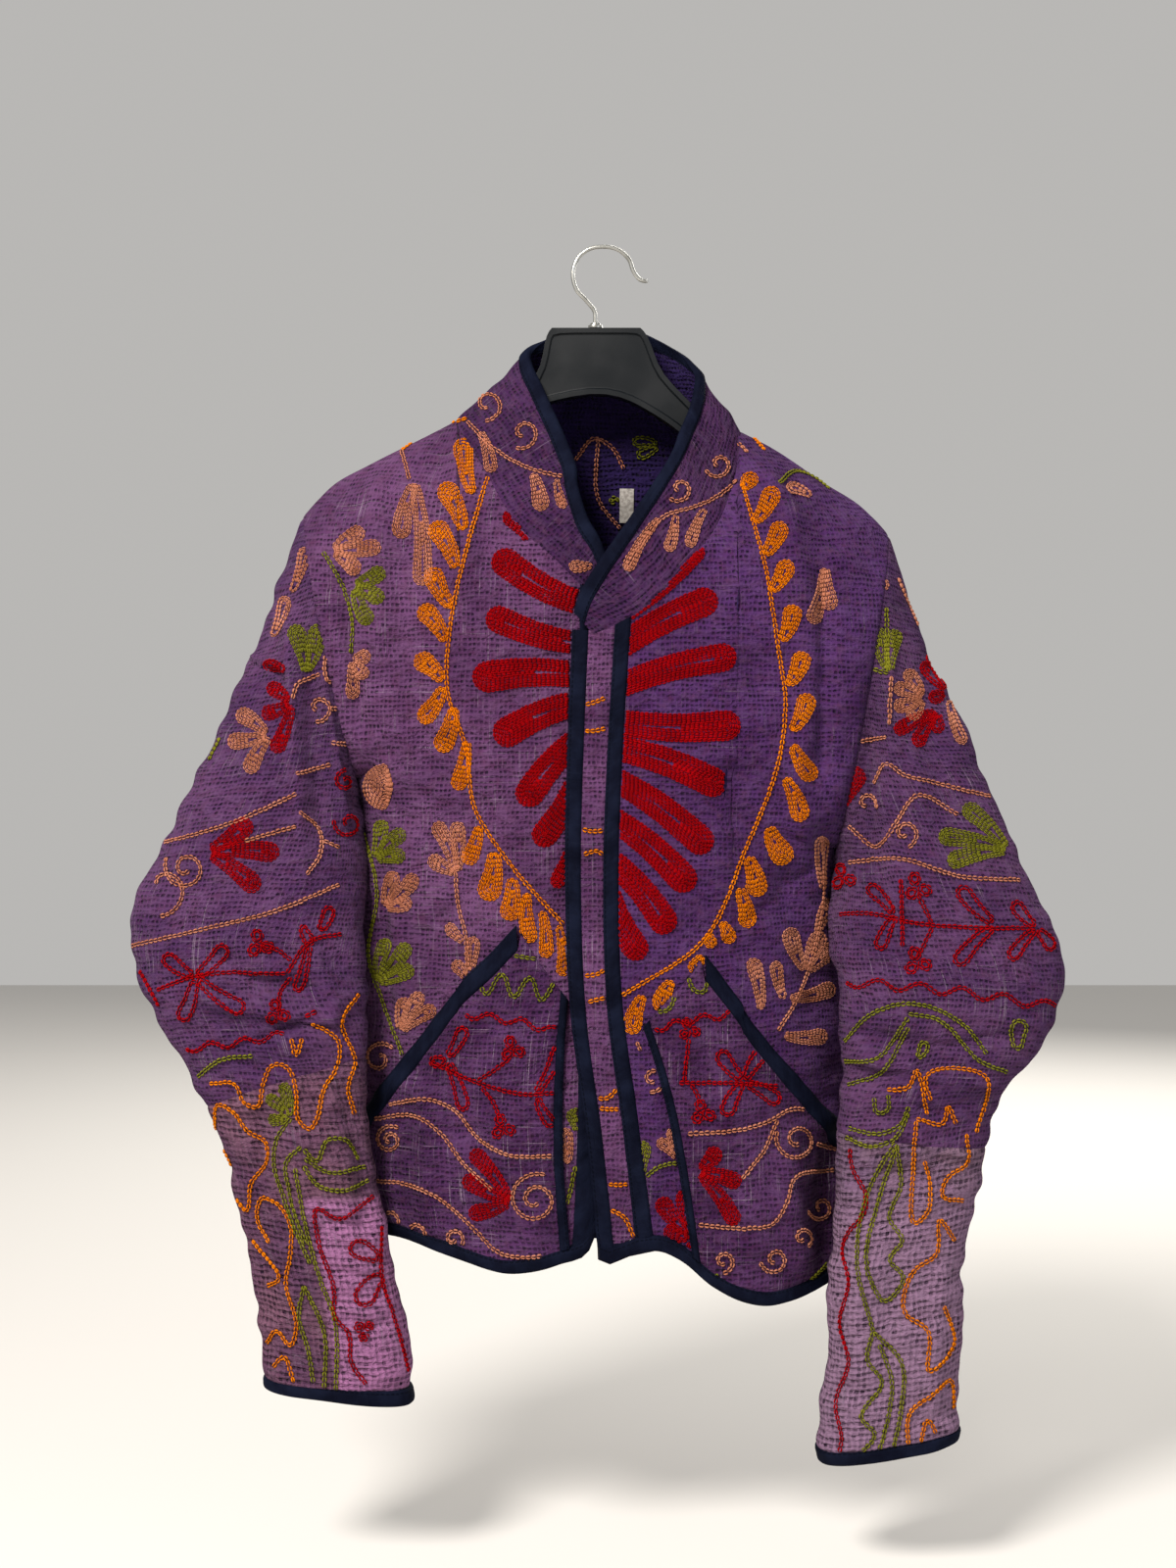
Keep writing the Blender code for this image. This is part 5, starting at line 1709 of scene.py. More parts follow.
class Cloth(Enum):
    """The dyes of the quilted cloth's panels."""

    # The third colour of each dye is the shade painted in its stitch dimples.
    VIOLET = KanthaCloth("kantha_violet", "#3c1f4a", "#482a5a", "#14081f", slubs=0.25)
    COLLAR = KanthaCloth("kantha_collar", "#2e1738", "#3e2248", "#13071e", slubs=0.30)
    FADED = KanthaCloth("kantha_faded", "#482a4d", "#5f3c62", "#180b23", slubs=0.65, patch=80.0)
    PATCHY = KanthaCloth("kantha_patchy", "#351a3d", "#4c2d55", "#160920", slubs=0.75, patch=45.0)
    SLEEVE = KanthaCloth("kantha_sleeve", "#41264c", "#54355a", "#160a22", slubs=0.50)
    LILAC = KanthaCloth(
        "kantha_lilac", "#5a3b56", "#745064", "#1c0c26", slubs=0.5, pucker=2.4, pitch=4.3, ripple=0.5,
        block=("#9a6690", 2.0, 474.0, 4.0),
    )
    WORN = KanthaCloth(
        "kantha_worn", "#5d4566", "#795f71", "#1c0c26", slubs=0.5, pucker=2.4, pitch=4.3, ripple=0.5,
        block=("#886a85", -70.0, 430.0, 30.0),
    )
    REVERSE = KanthaCloth("kantha_reverse", "#1f1539", "#291d48", "#0a0718", "#190d24", "#332b4b", slubs=0.25)


class Thread(Enum):
    """The dyes of the embroidery wool."""

    RED = WoolYarn("wool_red", "#9e020a", "#7a0106")
    ORANGE = WoolYarn("wool_orange", "#dc7c05", "#b05803")
    SALMON = WoolYarn("wool_salmon", "#c08068", "#96593f")
    OLIVE = WoolYarn("wool_olive", "#7f7d24", "#585814")


NAVY = FoldedCotton("navy_cotton_binding", "#0a0c19", "#111525")


@dataclass
class Palette:
    """Every finish of the jacket and its hanger, made once."""

    effects: Effects = field(default_factory=Effects)
    made: dict[str, bpy.types.Material] = field(default_factory=dict)

    def of(self, finish: object) -> bpy.types.Material:
        """The material of a finish.

        Args:
            finish: the finish, or a dye that holds one.

        Returns:
            The material.
        """
        finish = finish.value if isinstance(finish, Enum) else finish
        if finish.name not in self.made:
            self.made[finish.name] = finish.material(self.effects)
        return self.made[finish.name]


def mesh_grid(across: Array, down: Array) -> tuple[Array, Array]:
    """Shares across and down, as two grids."""
    return tuple(np.meshgrid(across, down, indexing="ij"))


def panel_rows(name: str, u: Array, top: float, foot: Array, head: int = 70, seam: int = 110) -> Array:
    """v down a panel: even rows to the underarm's level, then even rows to the foot.

    Args:
        name: the panel.
        u: its columns.
        top: v of the first row.
        foot: v of the last row at each column.
        head: rows above the underarm.
        seam: rows below it.

    Returns:
        v at each column and row.
    """
    panel = PANELS[name]
    underarm = panel.end.knots[TURN_POINTS - 1]
    if name == "back":
        underarm = u * underarm + (1 - u) * panel.start.knots[TURN_POINTS - 1]
    row = np.arange(head + seam + 1)
    above = top + (underarm - top) * row / head
    below = underarm + (foot - underarm) * (row - head) / seam
    return np.where(row < head, above, below)


@dataclass
class Workroom:
    """The finishes, and what has been sewn so far."""

    palette: Palette
    pieces: dict[str, bpy.types.Object] = field(default_factory=dict)
    trims: dict[str, list[bpy.types.Object]] = field(default_factory=dict)
    sheets: list[tuple[str, Wall, tuple[str, ...]]] = field(default_factory=list)

    def sew(
        self, wall: Wall, outside: object, inside: object, slot: str = "kantha_cloth"
    ) -> bpy.types.Object:
        """Builds a wall that stands for the CAD node of its name.

        Args:
            wall: the wall, named after the node.
            outside: the finish of its outer face.
            inside: the finish of its inner face.
            slot: the material slot of the node; not used.

        Returns:
            The piece.
        """
        node = wall.name
        wall.name = f"{node}_cloth"
        made = wall.build(self.palette.of(outside), self.palette.of(inside))
        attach(made, "root")
        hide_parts(node)
        self.pieces[node] = made
        LOG.info("%s: %d faces", made.name, len(made.data.polygons))
        return made

    def bind(self, wall: Wall, owner: str) -> None:
        """Builds a navy binding, folded round the edge of the cloth that it goes with.

        Args:
            wall: the binding's wall.
            owner: the node of that cloth.
        """
        wall.low -= BINDING_SINK
        made = self.sew(wall, NAVY, NAVY, "navy_binding")
        self.trims.setdefault(owner, []).append(made)

    def declare(self, node: str, wall: Wall, rests_on: tuple[str, ...]) -> None:
        """Notes a cloth piece, what it was cut to and what it lies on or is sewn to."""
        self.sheets.append((node, wall, rests_on))

    def close(self) -> None:
        """Logs each cloth piece's cut size and area, once its bindings and stitches are on it."""
        for node, wall, rests_on in self.sheets:
            across, down = arc(wall.ring(), 0) * MM, arc(wall.point, 1) * MM
            width, length = float(across[-1].max()), float(down[:, -1].max())
            area = min(wall.area() * MM * MM, width * length)
            trims = self.trims.get(node, [])
            names = [self.pieces[name].name if name in self.pieces else name for name in rests_on]
            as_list(trims)
            LOG.info("%s: cut %.0f by %.0f mm, %.4f square metres", node, width / MM, length / MM, area)


@dataclass
class Front:
    """One front: its main piece and the strips down its front edge."""

    side: str
    cloth: Cloth
    columns: int = 90
    lean: float = 1.6
    hem_drop: float = 3.0
    hem_reach: float = 7.0

    def across(self) -> Array:
        """Shares across the main piece, closer together towards the side seam."""
        return 1 - (1 - steps(self.columns)) ** self.lean

    def main(self) -> Wall:
        """The main piece, from the strips to the sleeve head and the side seam.

        Returns:
            The wall.
        """
        panel = PANELS[self.side]
        across = self.across()[:, None]
        u = front_u(self.side, across, np.ones_like(across))
        for _ in range(4):
            foot = 1.0 - hem_share(panel.surface, u, BINDING_WIDTH + LAP)
            u = front_u(self.side, across, foot)
        v = panel_rows(self.side, u, TOP_GAP, foot)
        edge = side_seam(self.side, panel.end, FRONT_TURNS)
        seams = ((np.s_[:, 0], top_seam(self.side)), (np.s_[-1, :], edge))
        grid = (front_u(self.side, across, v), v)
        return panel_wall(f"front_{self.side}", self.side, grid, WALL, seams=seams)

    def strip(self, name: str, low: Along, high: Along, wall: float) -> Wall:
        """A strip down the front.

        Args:
            name: the piece's name.
            low: its nearer line, as a distance from the front edge at v.
            high: its farther line.
            wall: how far its outer face stands out.

        Returns:
            The strip's wall.
        """
        surface = PANELS[self.side].surface
        across = steps(STRIP_COLUMNS)[:, None]
        one = np.ones_like(across)
        at_hem = edge_share(surface, one, low(one) + across * (high(one) - low(one)))
        foot = 1.0 - hem_share(surface, at_hem, BINDING_WIDTH + LAP)
        v = panel_rows(self.side, at_hem, STRIP_DROP, foot)
        u = edge_share(surface, v, low(v) + across * (high(v) - low(v)))
        return panel_wall(name, self.side, (u, v), wall)

    def binding(self, room: Workroom, name: str, low: Along, high: Along) -> None:
        """Sews a navy strip down the front.

        Args:
            room: the workroom.
            name: the piece's name.
            low: its nearer line, as a distance from the front edge at v.
            high: its farther line.
        """
        strip = self.strip(name, low, high, WALL + BINDING_RISE)
        room.bind(strip_flat(cushioned(strip, 0, BINDING_FOOT), 1), f"front_{self.side}")

    def hem(self) -> Wall:
        """The navy strip along the hem, thick enough to take in the pocket's edge.

        Returns:
            The wall.
        """
        surface = PANELS[self.side].surface
        under_strips = -1.0 + steps(4)[:-1]
        share, down = mesh_grid(np.concatenate([under_strips, self.across()]), steps(STRIP_COLUMNS))
        v = np.ones_like(share)
        for _ in range(4):
            before = (1 + share) * front_u(self.side, np.zeros_like(v), v)
            u = np.where(share < 0, before, front_u(self.side, share, v))
            v = 1.0 - hem_share(surface, u, BINDING_WIDTH) * (1 - down)
        high = POCKET_LIFT + POCKET_WALL + BINDING_RISE
        wall = panel_wall(f"hem_binding_{self.side}", self.side, (u, v), high)
        wall.high = wall.high - self.hem_drop * from_side(wall, self.hem_reach)
        return wall

    def sew(self, room: Workroom) -> None:
        """Makes the front in the workroom.

        Args:
            room: the workroom.
        """
        node = f"front_{self.side}"
        main = self.main().rolled(0.9)
        room.sew(main, self.cloth, Cloth.REVERSE)
        room.bind(strip_flat(cushioned(self.hem(), 1, WALL), 0), node)
        if self.side == "right":
            self.binding(room, "front_edge_binding_right", lambda v: 0 * v, lambda v: BINDING_WIDTH + 0 * v)
        else:
            lines = [placket_edge(row[0]) for row in PLACKET]
            self.binding(room, "front_edge_binding_left", lambda v: 0 * v, lines[0])
            self.binding(room, "placket_seam_binding", lambda v: lines[1](v) + LAP, lines[2])
            band = self.strip("placket_band", lambda v: lines[0](v) + LAP, lines[1], WALL).rolled(0.8)
            room.sew(band, Cloth.FADED, Cloth.REVERSE)
            room.declare("placket_band", band, ("front_left",))
        room.declare(node, main, ("hanger_body", "back_panel"))


@dataclass
class Back:
    """The back, in one piece, with its hem binding."""

    columns: int = 140
    lean: float = 1.5

    def across(self) -> Array:
        """Shares across, closer together towards both side seams.

        Returns:
            Shares of u.
        """
        even_steps = 2 * steps(self.columns) - 1
        bent = np.sign(even_steps) * (1 - (1 - np.abs(even_steps)) ** self.lean)
        return ((bent + 1) / 2).clip(SIDE_GAP, 1 - SIDE_GAP)

    def sew(self, room: Workroom) -> None:
        """Makes the back in the workroom.

        Args:
            room: the workroom.
        """
        panel = PANELS["back"]
        u = self.across()[:, None]
        foot = 1.0 - hem_share(panel.surface, u, BINDING_WIDTH + LAP)
        seams = (
            (np.s_[:, 0], top_seam("back")),
            (np.s_[0, :], side_seam("right", panel.start, BACK_TURNS)),
            (np.s_[-1, :], side_seam("left", panel.end, BACK_TURNS)),
        )
        grid = (u, panel_rows("back", u, TOP_GAP, foot))
        main = panel_wall("back_panel", "back", grid, WALL, seams=seams).rolled(0.9)
        room.sew(main, Cloth.VIOLET, Cloth.REVERSE)
        share, down = mesh_grid(self.across(), steps(STRIP_COLUMNS))
        grid = (share, 1.0 - hem_share(panel.surface, share, BINDING_WIDTH) * (1 - down))
        hem = panel_wall("hem_binding_back", "back", grid, WALL + BINDING_RISE)
        room.bind(strip_flat(cushioned(hem, 1, BINDING_FOOT), 0), "back_panel")
        room.declare("back_panel", main, ("hanger_body",))


@dataclass
class Pocket:
    """A patch pocket with a slanted, bound mouth and a bound inner edge."""

    side: str
    bow: float = 0.0
    columns: int = 56
    rows: int = 100
    lean: float = 1.4
    probe: float = 0.02
    binding_foot: float = 0.6
    inner: tuple[float, float] = field(init=False)
    inner_hem: tuple[float, float] = field(init=False)
    corner: tuple[float, float] = field(init=False)
    end: tuple[float, float] = field(init=False)
    mouth_drop: float = field(init=False)

    def __post_init__(self) -> None:
        """Finds the pocket's corners on its front."""
        places = POCKETS[self.side]
        surface = PANELS[self.side].surface
        self.inner, self.inner_hem, self.corner, self.end = (locate(surface, place) for place in places)
        rise, run = abs(places[3][1] - places[2][1]), abs(places[3][0] - places[2][0])
        self.mouth_drop = BINDING_WIDTH * math.hypot(rise, run) / run

    def inner_line(self, share: float, v: Array, past: float = 0.0) -> Array:
        """u of the line at this share of the inner binding's width, and this far past it.

        Args:
            share: share of the binding's width.
            v: shares down.
            past: millimetres past that line.

        Returns:
            Shares of u.
        """
        surface = PANELS[self.side].surface
        edge = np.interp(v, [self.inner[1], self.inner_hem[1]], [self.inner[0], self.inner_hem[0]])
        down = np.clip((v - self.inner[1]) / (self.inner_hem[1] - self.inner[1]), 0.0, 1.0)
        bow = self.bow * np.sin(np.pi * down)
        reach = np.linalg.norm(surface.point(edge + self.probe, v) - surface.point(edge, v), axis=-1)
        return edge + (bow + share * (NARROW_BINDING - 1.6 + 2.2 * down) + past) * self.probe / reach

    def top(self, u: Array) -> Array:
        """v along the upper edge: up the inner seam to the corner, then down the mouth."""
        places = [self.inner[0], self.corner[0], self.end[0]]
        return np.interp(u, places, [self.inner[1], self.corner[1], self.end[1]])

    def grid(
        self, column: Along, down: Array, begins: Along, depth: Array | None = None
    ) -> tuple[Array, Array]:
        """u and v of a grid of the pocket.

        Args:
            column: u of every column at v.
            down: shares down the grid.
            begins: how far under the upper edge the grid starts, at u.
            depth: how deep it is, or None where it runs down to the hem binding.

        Returns:
            u and v.
        """
        surface = PANELS[self.side].surface
        u = column(np.full_like(down, self.corner[1]))
        for _ in range(6):
            first = self.top(u) + hem_share(surface, u, begins(u))
            if depth is None:
                last = 1.0 - hem_share(surface, u, BINDING_WIDTH + POCKET_HEM_GAP)
            else:
                last = first + hem_share(surface, u, depth)
            v = first + down * (last - first)
            u = column(v)
        return u, v

    def sew(self, room: Workroom) -> None:
        """Makes the pocket in the workroom.

        Args:
            room: the workroom.
        """
        low, high = POCKET_LIFT, POCKET_LIFT + POCKET_WALL
        bound, node = high + BINDING_RISE, f"pocket_{self.side}"
        foot, across = high - self.binding_foot, 1 - (1 - steps(self.columns)) ** self.lean
        share, down = mesh_grid(across, steps(self.rows))
        seams = ((np.s_[-1, :], side_seam(self.side, PANELS[self.side].end, FRONT_TURNS)),)

        def patch_column(v: Array) -> Array:
            """u of the patch's columns at v."""
            edge = self.inner_line(1.0, v, LAP)
            return edge + share * (1.0 - SIDE_GAP - edge)

        def under_mouth(u: Array) -> Array:
            """How far under the upper edge the patch begins, at u."""
            return (self.mouth_drop + LAP) * (u > self.corner[0] - 0.004)

        grid = self.grid(patch_column, down, under_mouth)
        patch = settled(panel_wall(node, self.side, grid, high, low, seams)).rolled(0.8)
        room.sew(patch, Cloth.PATCHY, Cloth.REVERSE)

        share, down = mesh_grid(across, steps(STRIP_COLUMNS))

        def mouth_column(v: Array) -> Array:
            """u of the mouth binding's columns, the same at every v."""
            return self.corner[0] + share * (1.0 - SIDE_GAP - self.corner[0])

        grid = self.grid(mouth_column, down, lambda u: 0 * u, np.full_like(down, self.mouth_drop))
        mouth = settled(panel_wall(f"pocket_mouth_binding_{self.side}", self.side, grid, bound, low, seams))
        room.bind(strip_flat(cushioned(mouth, 1, foot), 0), node)

        share, down = mesh_grid(steps(STRIP_COLUMNS), steps(self.rows))

        def edge_column(v: Array) -> Array:
            """u of the inner binding's columns at v."""
            return self.inner_line(1.0, v) * share + self.inner_line(0.0, v) * (1 - share)

        grid = self.grid(edge_column, down, lambda u: 0 * u)
        edge = panel_wall(f"pocket_edge_binding_{self.side}", self.side, grid, bound, low)
        room.bind(strip_flat(cushioned(edge, 0, foot), 1), node)
        room.declare(node, patch, (f"front_{self.side}",))


@dataclass
class Collar:
    """The stand collar, one band round the neck with its ends crossed, and its top binding."""

    columns: int = 240
    slack: float = 0.9
    overlap: float = -0.6

    def wall(self, name: str, first: Array, last: Array, rows: int, high: float) -> Wall:
        """A band of the collar between two distances over its neck seam, as shares of its width.

        Args:
            name: the piece's name.
            first: where it begins at each column.
            last: where it ends.
            rows: how many rows of faces it has.
            high: how far its outer face stands out.

        Returns:
            The wall.
        """
        u, down = mesh_grid(steps(self.columns), steps(rows))
        v = first[:, None] + down * (last - first)[:, None]
        point, normal = smooth_collar(u, v), COLLAR_SURFACE.normals(u, v)
        normal[:, 0] = COLLAR_SURFACE.normals(u[:, 0], first.round())
        hold = soft_step(v, 0.0, 0.5)
        flat = np.stack([arc(point, 0)[:, :1] + 0 * v, arc(point, 1)], axis=-1)
        made = Wall(name, point, normal, flat, np.full(u.shape, high), hold=hold)
        made.point = made.point + normal * (self.slack * unevenness(point) * hold)[..., None]
        return made

    def sew(self, room: Workroom) -> None:
        """Makes the collar in the workroom.

        Args:
            room: the workroom.
        """
        u = steps(self.columns)
        gap, near = collar_share(u, self.overlap), 1 + collar_share(u, LAP)
        far = 1 + collar_share(u, LAP + BINDING_WIDTH)
        band = self.wall("collar", gap, np.ones_like(u), 20, WALL).rolled(0.7, 1.5)
        room.sew(band, Cloth.COLLAR, Cloth.REVERSE)
        top = self.wall("collar_binding", near, far, STRIP_COLUMNS, WALL + BINDING_RISE)
        room.bind(strip_flat(cushioned(top, 1, BINDING_FOOT), 0), "collar")
        room.declare("collar", band, ("back_panel", "front_right", "front_left"))


@dataclass
class Sleeve:
    """A sleeve in two parts, pieced below the elbow, with its bound cuff."""

    side: str
    sides: int = 96
    upper_rows: int = 170
    lower_rows: int = 124

    def turns(self) -> Array:
        """Turns of the columns round the sleeve, from its inner edge."""
        return (0.5 + np.arange(self.sides) / self.sides) % 1.0

    def tube(self, name: str, first: Array, last: Array, rows: int, high: float) -> Wall:
        """A tube of the sleeve between two places down it, given all round.

        Args:
            name: the piece's name.
            first: where it begins at each column.
            last: where it ends.
            rows: how many rows of faces it has.
            high: how far its outer face stands out.

        Returns:
            The wall, creased but not built yet.
        """
        sleeve = SLEEVES[self.side]
        u, down = mesh_grid(self.turns(), steps(rows))
        v = first[:, None] + down * (last - first)[:, None]
        point, normal = sleeve.surface.point(u, v), sleeve.surface.normals(u, v)
        if name.endswith("upper"):
            normal[:, 0] = sleeve.head_normal(u[:, 0])
        hold = soft_step(v * SLEEVE_LENGTH, 4.0, 34.0)
        around = arc(np.concatenate([point, point[:1]]), 0)
        around = around - around[self.sides * 3 // 4][None, :]
        along = arc(np.concatenate([point, point[:1]]), 1)
        down = np.concatenate([last, last[:1]])[:, None] * SLEEVE_LENGTH + along - along[:, -1:]
        flat = np.stack([around, down], axis=-1)
        made = Wall(name, point, normal, flat, np.full(u.shape, high), hold=hold, closed=True)
        return made.creased(SLEEVE_CREASES)

    def sew(self, room: Workroom) -> None:
        """Makes the sleeve in the workroom.

        Args:
            room: the workroom.
        """
        sleeve = SLEEVES[self.side]
        u = self.turns()
        gap, cuff = LAP / SLEEVE_LENGTH, 1.0 - BINDING_WIDTH / SLEEVE_LENGTH
        start = UNDERARM_EASE / SLEEVE_LENGTH * ((1 - np.cos(2 * np.pi * u)) / 2) ** 6
        piecing, whole = sleeve.piecing_at(u), np.ones_like(u)
        node = f"sleeve_{self.side}"
        upper = self.tube(f"{node}_upper", start, piecing, self.upper_rows, WALL).rolled(1.0)
        lower = self.tube(f"{node}_lower", piecing, cuff * whole - gap, self.lower_rows, WALL).rolled(1.0)
        name, high = f"cuff_binding_{self.side}", WALL + BINDING_RISE
        bound = cushioned(self.tube(name, cuff * whole, whole, STRIP_COLUMNS, high), 1, BINDING_FOOT)
        bound.flat = bound.flat - np.array([0.0, cuff * SLEEVE_LENGTH])
        room.sew(upper, Cloth.SLEEVE, Cloth.REVERSE)
        room.sew(lower, Cloth.LILAC if self.side == "right" else Cloth.WORN, Cloth.REVERSE)
        room.bind(bound, f"{node}_lower")
        room.declare(f"{node}_upper", upper, (f"front_{self.side}", "back_panel"))
        room.declare(f"{node}_lower", lower, (f"{node}_upper",))


@dataclass
class Label:
    """The small bare label inside the back of the neck."""

    corners: tuple[tuple[float, float], tuple[float, float]] = ((12.0, -166.0), (22.0, -191.0))
    thickness: float = 0.6

    def sew(self, room: Workroom) -> None:
        """Makes the label in the workroom.

        Args:
            room: the workroom.
        """
        surface = PANELS["back"].surface
        (u0, v0), (u1, v1) = (locate(surface, corner) for corner in self.corners)
        grid = mesh_grid(np.linspace(u0, u1, 9), np.linspace(v0, v1, 17))
        wall = panel_wall("label", "back", grid, -0.3, -0.3 - self.thickness)
        room.sew(wall, LabelWeave(), LabelWeave(), "label_cloth")
        room.declare("label", wall, ("back_panel",))


@dataclass
class Hanger:
    """The moulded hanger, its boss and its wire hook."""

    depth: float = 12.0
    clearance: float = 3.6
    arm_height: float = 26.0
    arm_taper: float = 0.45
    arm_shares: tuple[float, ...] = (0.10, 0.26, 0.44, 0.62, 0.80, 0.94)
    rim: float = 3.4
    slope: float = 1.2
    hollow: float = 1.3
    edge: float = 2.6
    boss_radius: float = 5.2
    boss_height: float = 4.0
    boss_step: float = 1.6
    boss_edge: float = 0.35
    wire_radius: float = 1.5
    wire_steps: int = 110

    def stations(self) -> Table:
        """x, upper z and lower z along the hanger, from tip to tip.

        Returns:
            The rows.
        """
        arms = {}
        for name, rows in (("right", SHOULDER_RIGHT), ("left", SHOULDER_LEFT)):
            arms[name] = []
            for share in self.arm_shares:
                x, _, z = Curve(rows).at(share)
                top = z - self.clearance * 1.2
                arms[name].append((x, top, top - self.arm_height * (1 - self.arm_taper * share**3)))
        return arms["right"][::-1] + HANGER_CREST + arms["left"]

    def pick(self, made: bpy.types.Object, wanted: Callable[[Vector], bool]) -> None:
        """Selects faces of a piece in edit mode, by their normals.

        Args:
            made: the piece.
            wanted: whether a face with this normal is wanted.
        """
        shape = bmesh.from_edit_mesh(made.data)
        for face in shape.faces:
            face.select_set(wanted(face.normal))
        bmesh.update_edit_mesh(made.data)

    def finished(self, made: bpy.types.Object, node: str, finish: bpy.types.Material) -> None:
        """Names a piece, dresses it and puts it in the place of its CAD node.

        Args:
            made: the piece.
            node: the CAD node.
            finish: its material.
        """
        made.name = f"{node}_shape"
        made.data.materials.clear()
        made.data.materials.append(finish)
        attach(made, "root")
        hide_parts(node)
        LOG.info("%s: %d faces", made.name, len(made.data.polygons))

    def body(self, room: Workroom) -> None:
        """The body: a cube drawn out along the stations, hollowed on both sides and rounded.

        Args:
            room: the workroom.
        """
        stations = self.stations()
        first = stations[0]
        bpy.ops.object.select_all(action="DESELECT")
        middle = (first[0] * MM, 0.0, (first[1] + first[2]) / 2 * MM)
        bpy.ops.mesh.primitive_cube_add(size=1.0, location=middle)
        made = bpy.context.object
        made.scale = (2.0 * MM, self.depth * MM, (first[1] - first[2]) * MM)
        bpy.ops.object.transform_apply(location=True, rotation=False, scale=True)
        bpy.ops.object.mode_set(mode="EDIT")
        bpy.ops.mesh.select_mode(type="FACE")
        self.pick(made, lambda normal: normal.x > 0.9)
        before = (first[0] + 1.0, *first[1:])
        for station in stations[1:]:
            here = Vector((station[0] * MM, 0.0, (station[1] + station[2]) / 2 * MM))
            last = Vector((before[0] * MM, 0.0, (before[1] + before[2]) / 2 * MM))
            bpy.ops.mesh.extrude_region_move(TRANSFORM_OT_translate={"value": here - last})
            grown = (station[1] - station[2]) / (before[1] - before[2])
            bpy.ops.transform.resize(value=(1.0, 1.0, grown), center_override=here)
            before = station
        bpy.ops.mesh.select_all(action="DESELECT")
        self.pick(made, lambda normal: abs(normal.y) > 0.9)
        bpy.ops.mesh.inset(thickness=self.rim * MM, depth=0.0)
        bpy.ops.mesh.inset(thickness=self.slope * MM, depth=-self.hollow * MM)
        bpy.ops.object.mode_set(mode="OBJECT")
        self.rounded(made, self.edge, 3, 1)
        self.finished(made, "hanger_body", room.palette.of(HangerPlastic()))

    def rounded(self, made: bpy.types.Object, width: float, segments: int, levels: int) -> None:
        """Bevels a piece's edges and smooths it, with both modifiers applied.

        Args:
            made: the piece.
            width: the bevel's width in millimetres.
            segments: its segments.
            levels: levels of subdivision.
        """
        bevel = made.modifiers.new("round_edges", "BEVEL")
        bevel.width, bevel.segments = width * MM, segments
        bevel.limit_method, bevel.angle_limit = "ANGLE", math.radians(40)
        smooth = made.modifiers.new("smooth_form", "SUBSURF")
        smooth.levels = smooth.render_levels = levels
        bpy.context.view_layer.objects.active = made
        for modifier in (bevel.name, smooth.name):
            bpy.ops.object.modifier_apply(modifier=modifier)
        made.data.shade_smooth()

    def boss(self, room: Workroom) -> None:
        """The boss on the crest: a cylinder with a step and a collar drawn up round the wire.

        Args:
            room: the workroom.
        """
        bpy.ops.object.select_all(action="DESELECT")
        x, base = HOOK_ROWS[0][0], CREST_TOP + 0.3
        middle = (x * MM, 0.0, (base + self.boss_height * 0.3) * MM)
        size = {"radius": self.boss_radius * MM, "depth": self.boss_height * 0.6 * MM}
        bpy.ops.mesh.primitive_cylinder_add(vertices=32, location=middle, **size)
        made = bpy.context.object
        bpy.ops.object.transform_apply(location=True, rotation=False, scale=True)
        bpy.ops.object.mode_set(mode="EDIT")
        bpy.ops.mesh.select_mode(type="FACE")
        self.pick(made, lambda normal: normal.z > 0.9)
        bpy.ops.mesh.inset(thickness=self.boss_step * MM, depth=0.0)
        rise = (0.0, 0.0, self.boss_height * 0.4 * MM)
        bpy.ops.mesh.extrude_region_move(TRANSFORM_OT_translate={"value": rise})
        bpy.ops.object.mode_set(mode="OBJECT")
        self.rounded(made, self.boss_edge, 2, 1)
        self.finished(made, "hanger_boss", room.palette.of(PlatedWire()))

    def hook(self, room: Workroom) -> None:
        """The wire hook: one smooth curve with a rounded tip, made a mesh.

        Args:
            room: the workroom.
        """
        route = Curve([(x, 0.0, z) for x, z in HOOK_ROWS]).at(steps(self.wire_steps)) * MM
        curve = bpy.data.curves.new("hook_wire", "CURVE")
        curve.dimensions, curve.use_fill_caps = "3D", True
        curve.bevel_depth, curve.bevel_resolution = self.wire_radius * MM, 5
        spline = curve.splines.new("POLY")
        spline.points.add(len(route) - 1)
        for index, (knot, place) in enumerate(zip(spline.points, route)):
            knot.co = (*[float(value) for value in place], 1.0)
            to_tip = (len(route) - 1 - index) / 3
            knot.radius = math.sqrt(max(1 - (1 - to_tip) ** 2, 0.05)) if to_tip < 1 else 1.0
        wire = placed("hook_wire", curve)
        bpy.ops.object.select_all(action="DESELECT")
        wire.select_set(True)
        bpy.context.view_layer.objects.active = wire
        bpy.ops.object.convert(target="MESH")
        made = bpy.context.object
        made.data.shade_smooth()
        made.data.set_sharp_from_angle(angle=math.radians(60))
        self.finished(made, "hanger_hook", room.palette.of(PlatedWire()))

    def build(self, room: Workroom) -> None:
        """Makes the hanger in the workroom.

        Args:
            room: the workroom.
        """
        self.body(room)
        self.boss(room)
        self.hook(room)


def flipped(points: Iterable[Row]) -> tuple[Row, ...]:
    """Rows whose first number is a sketch's x, with right and left changed over."""
    return tuple((SKETCH_WIDTH - x, *others) for x, *others in points)


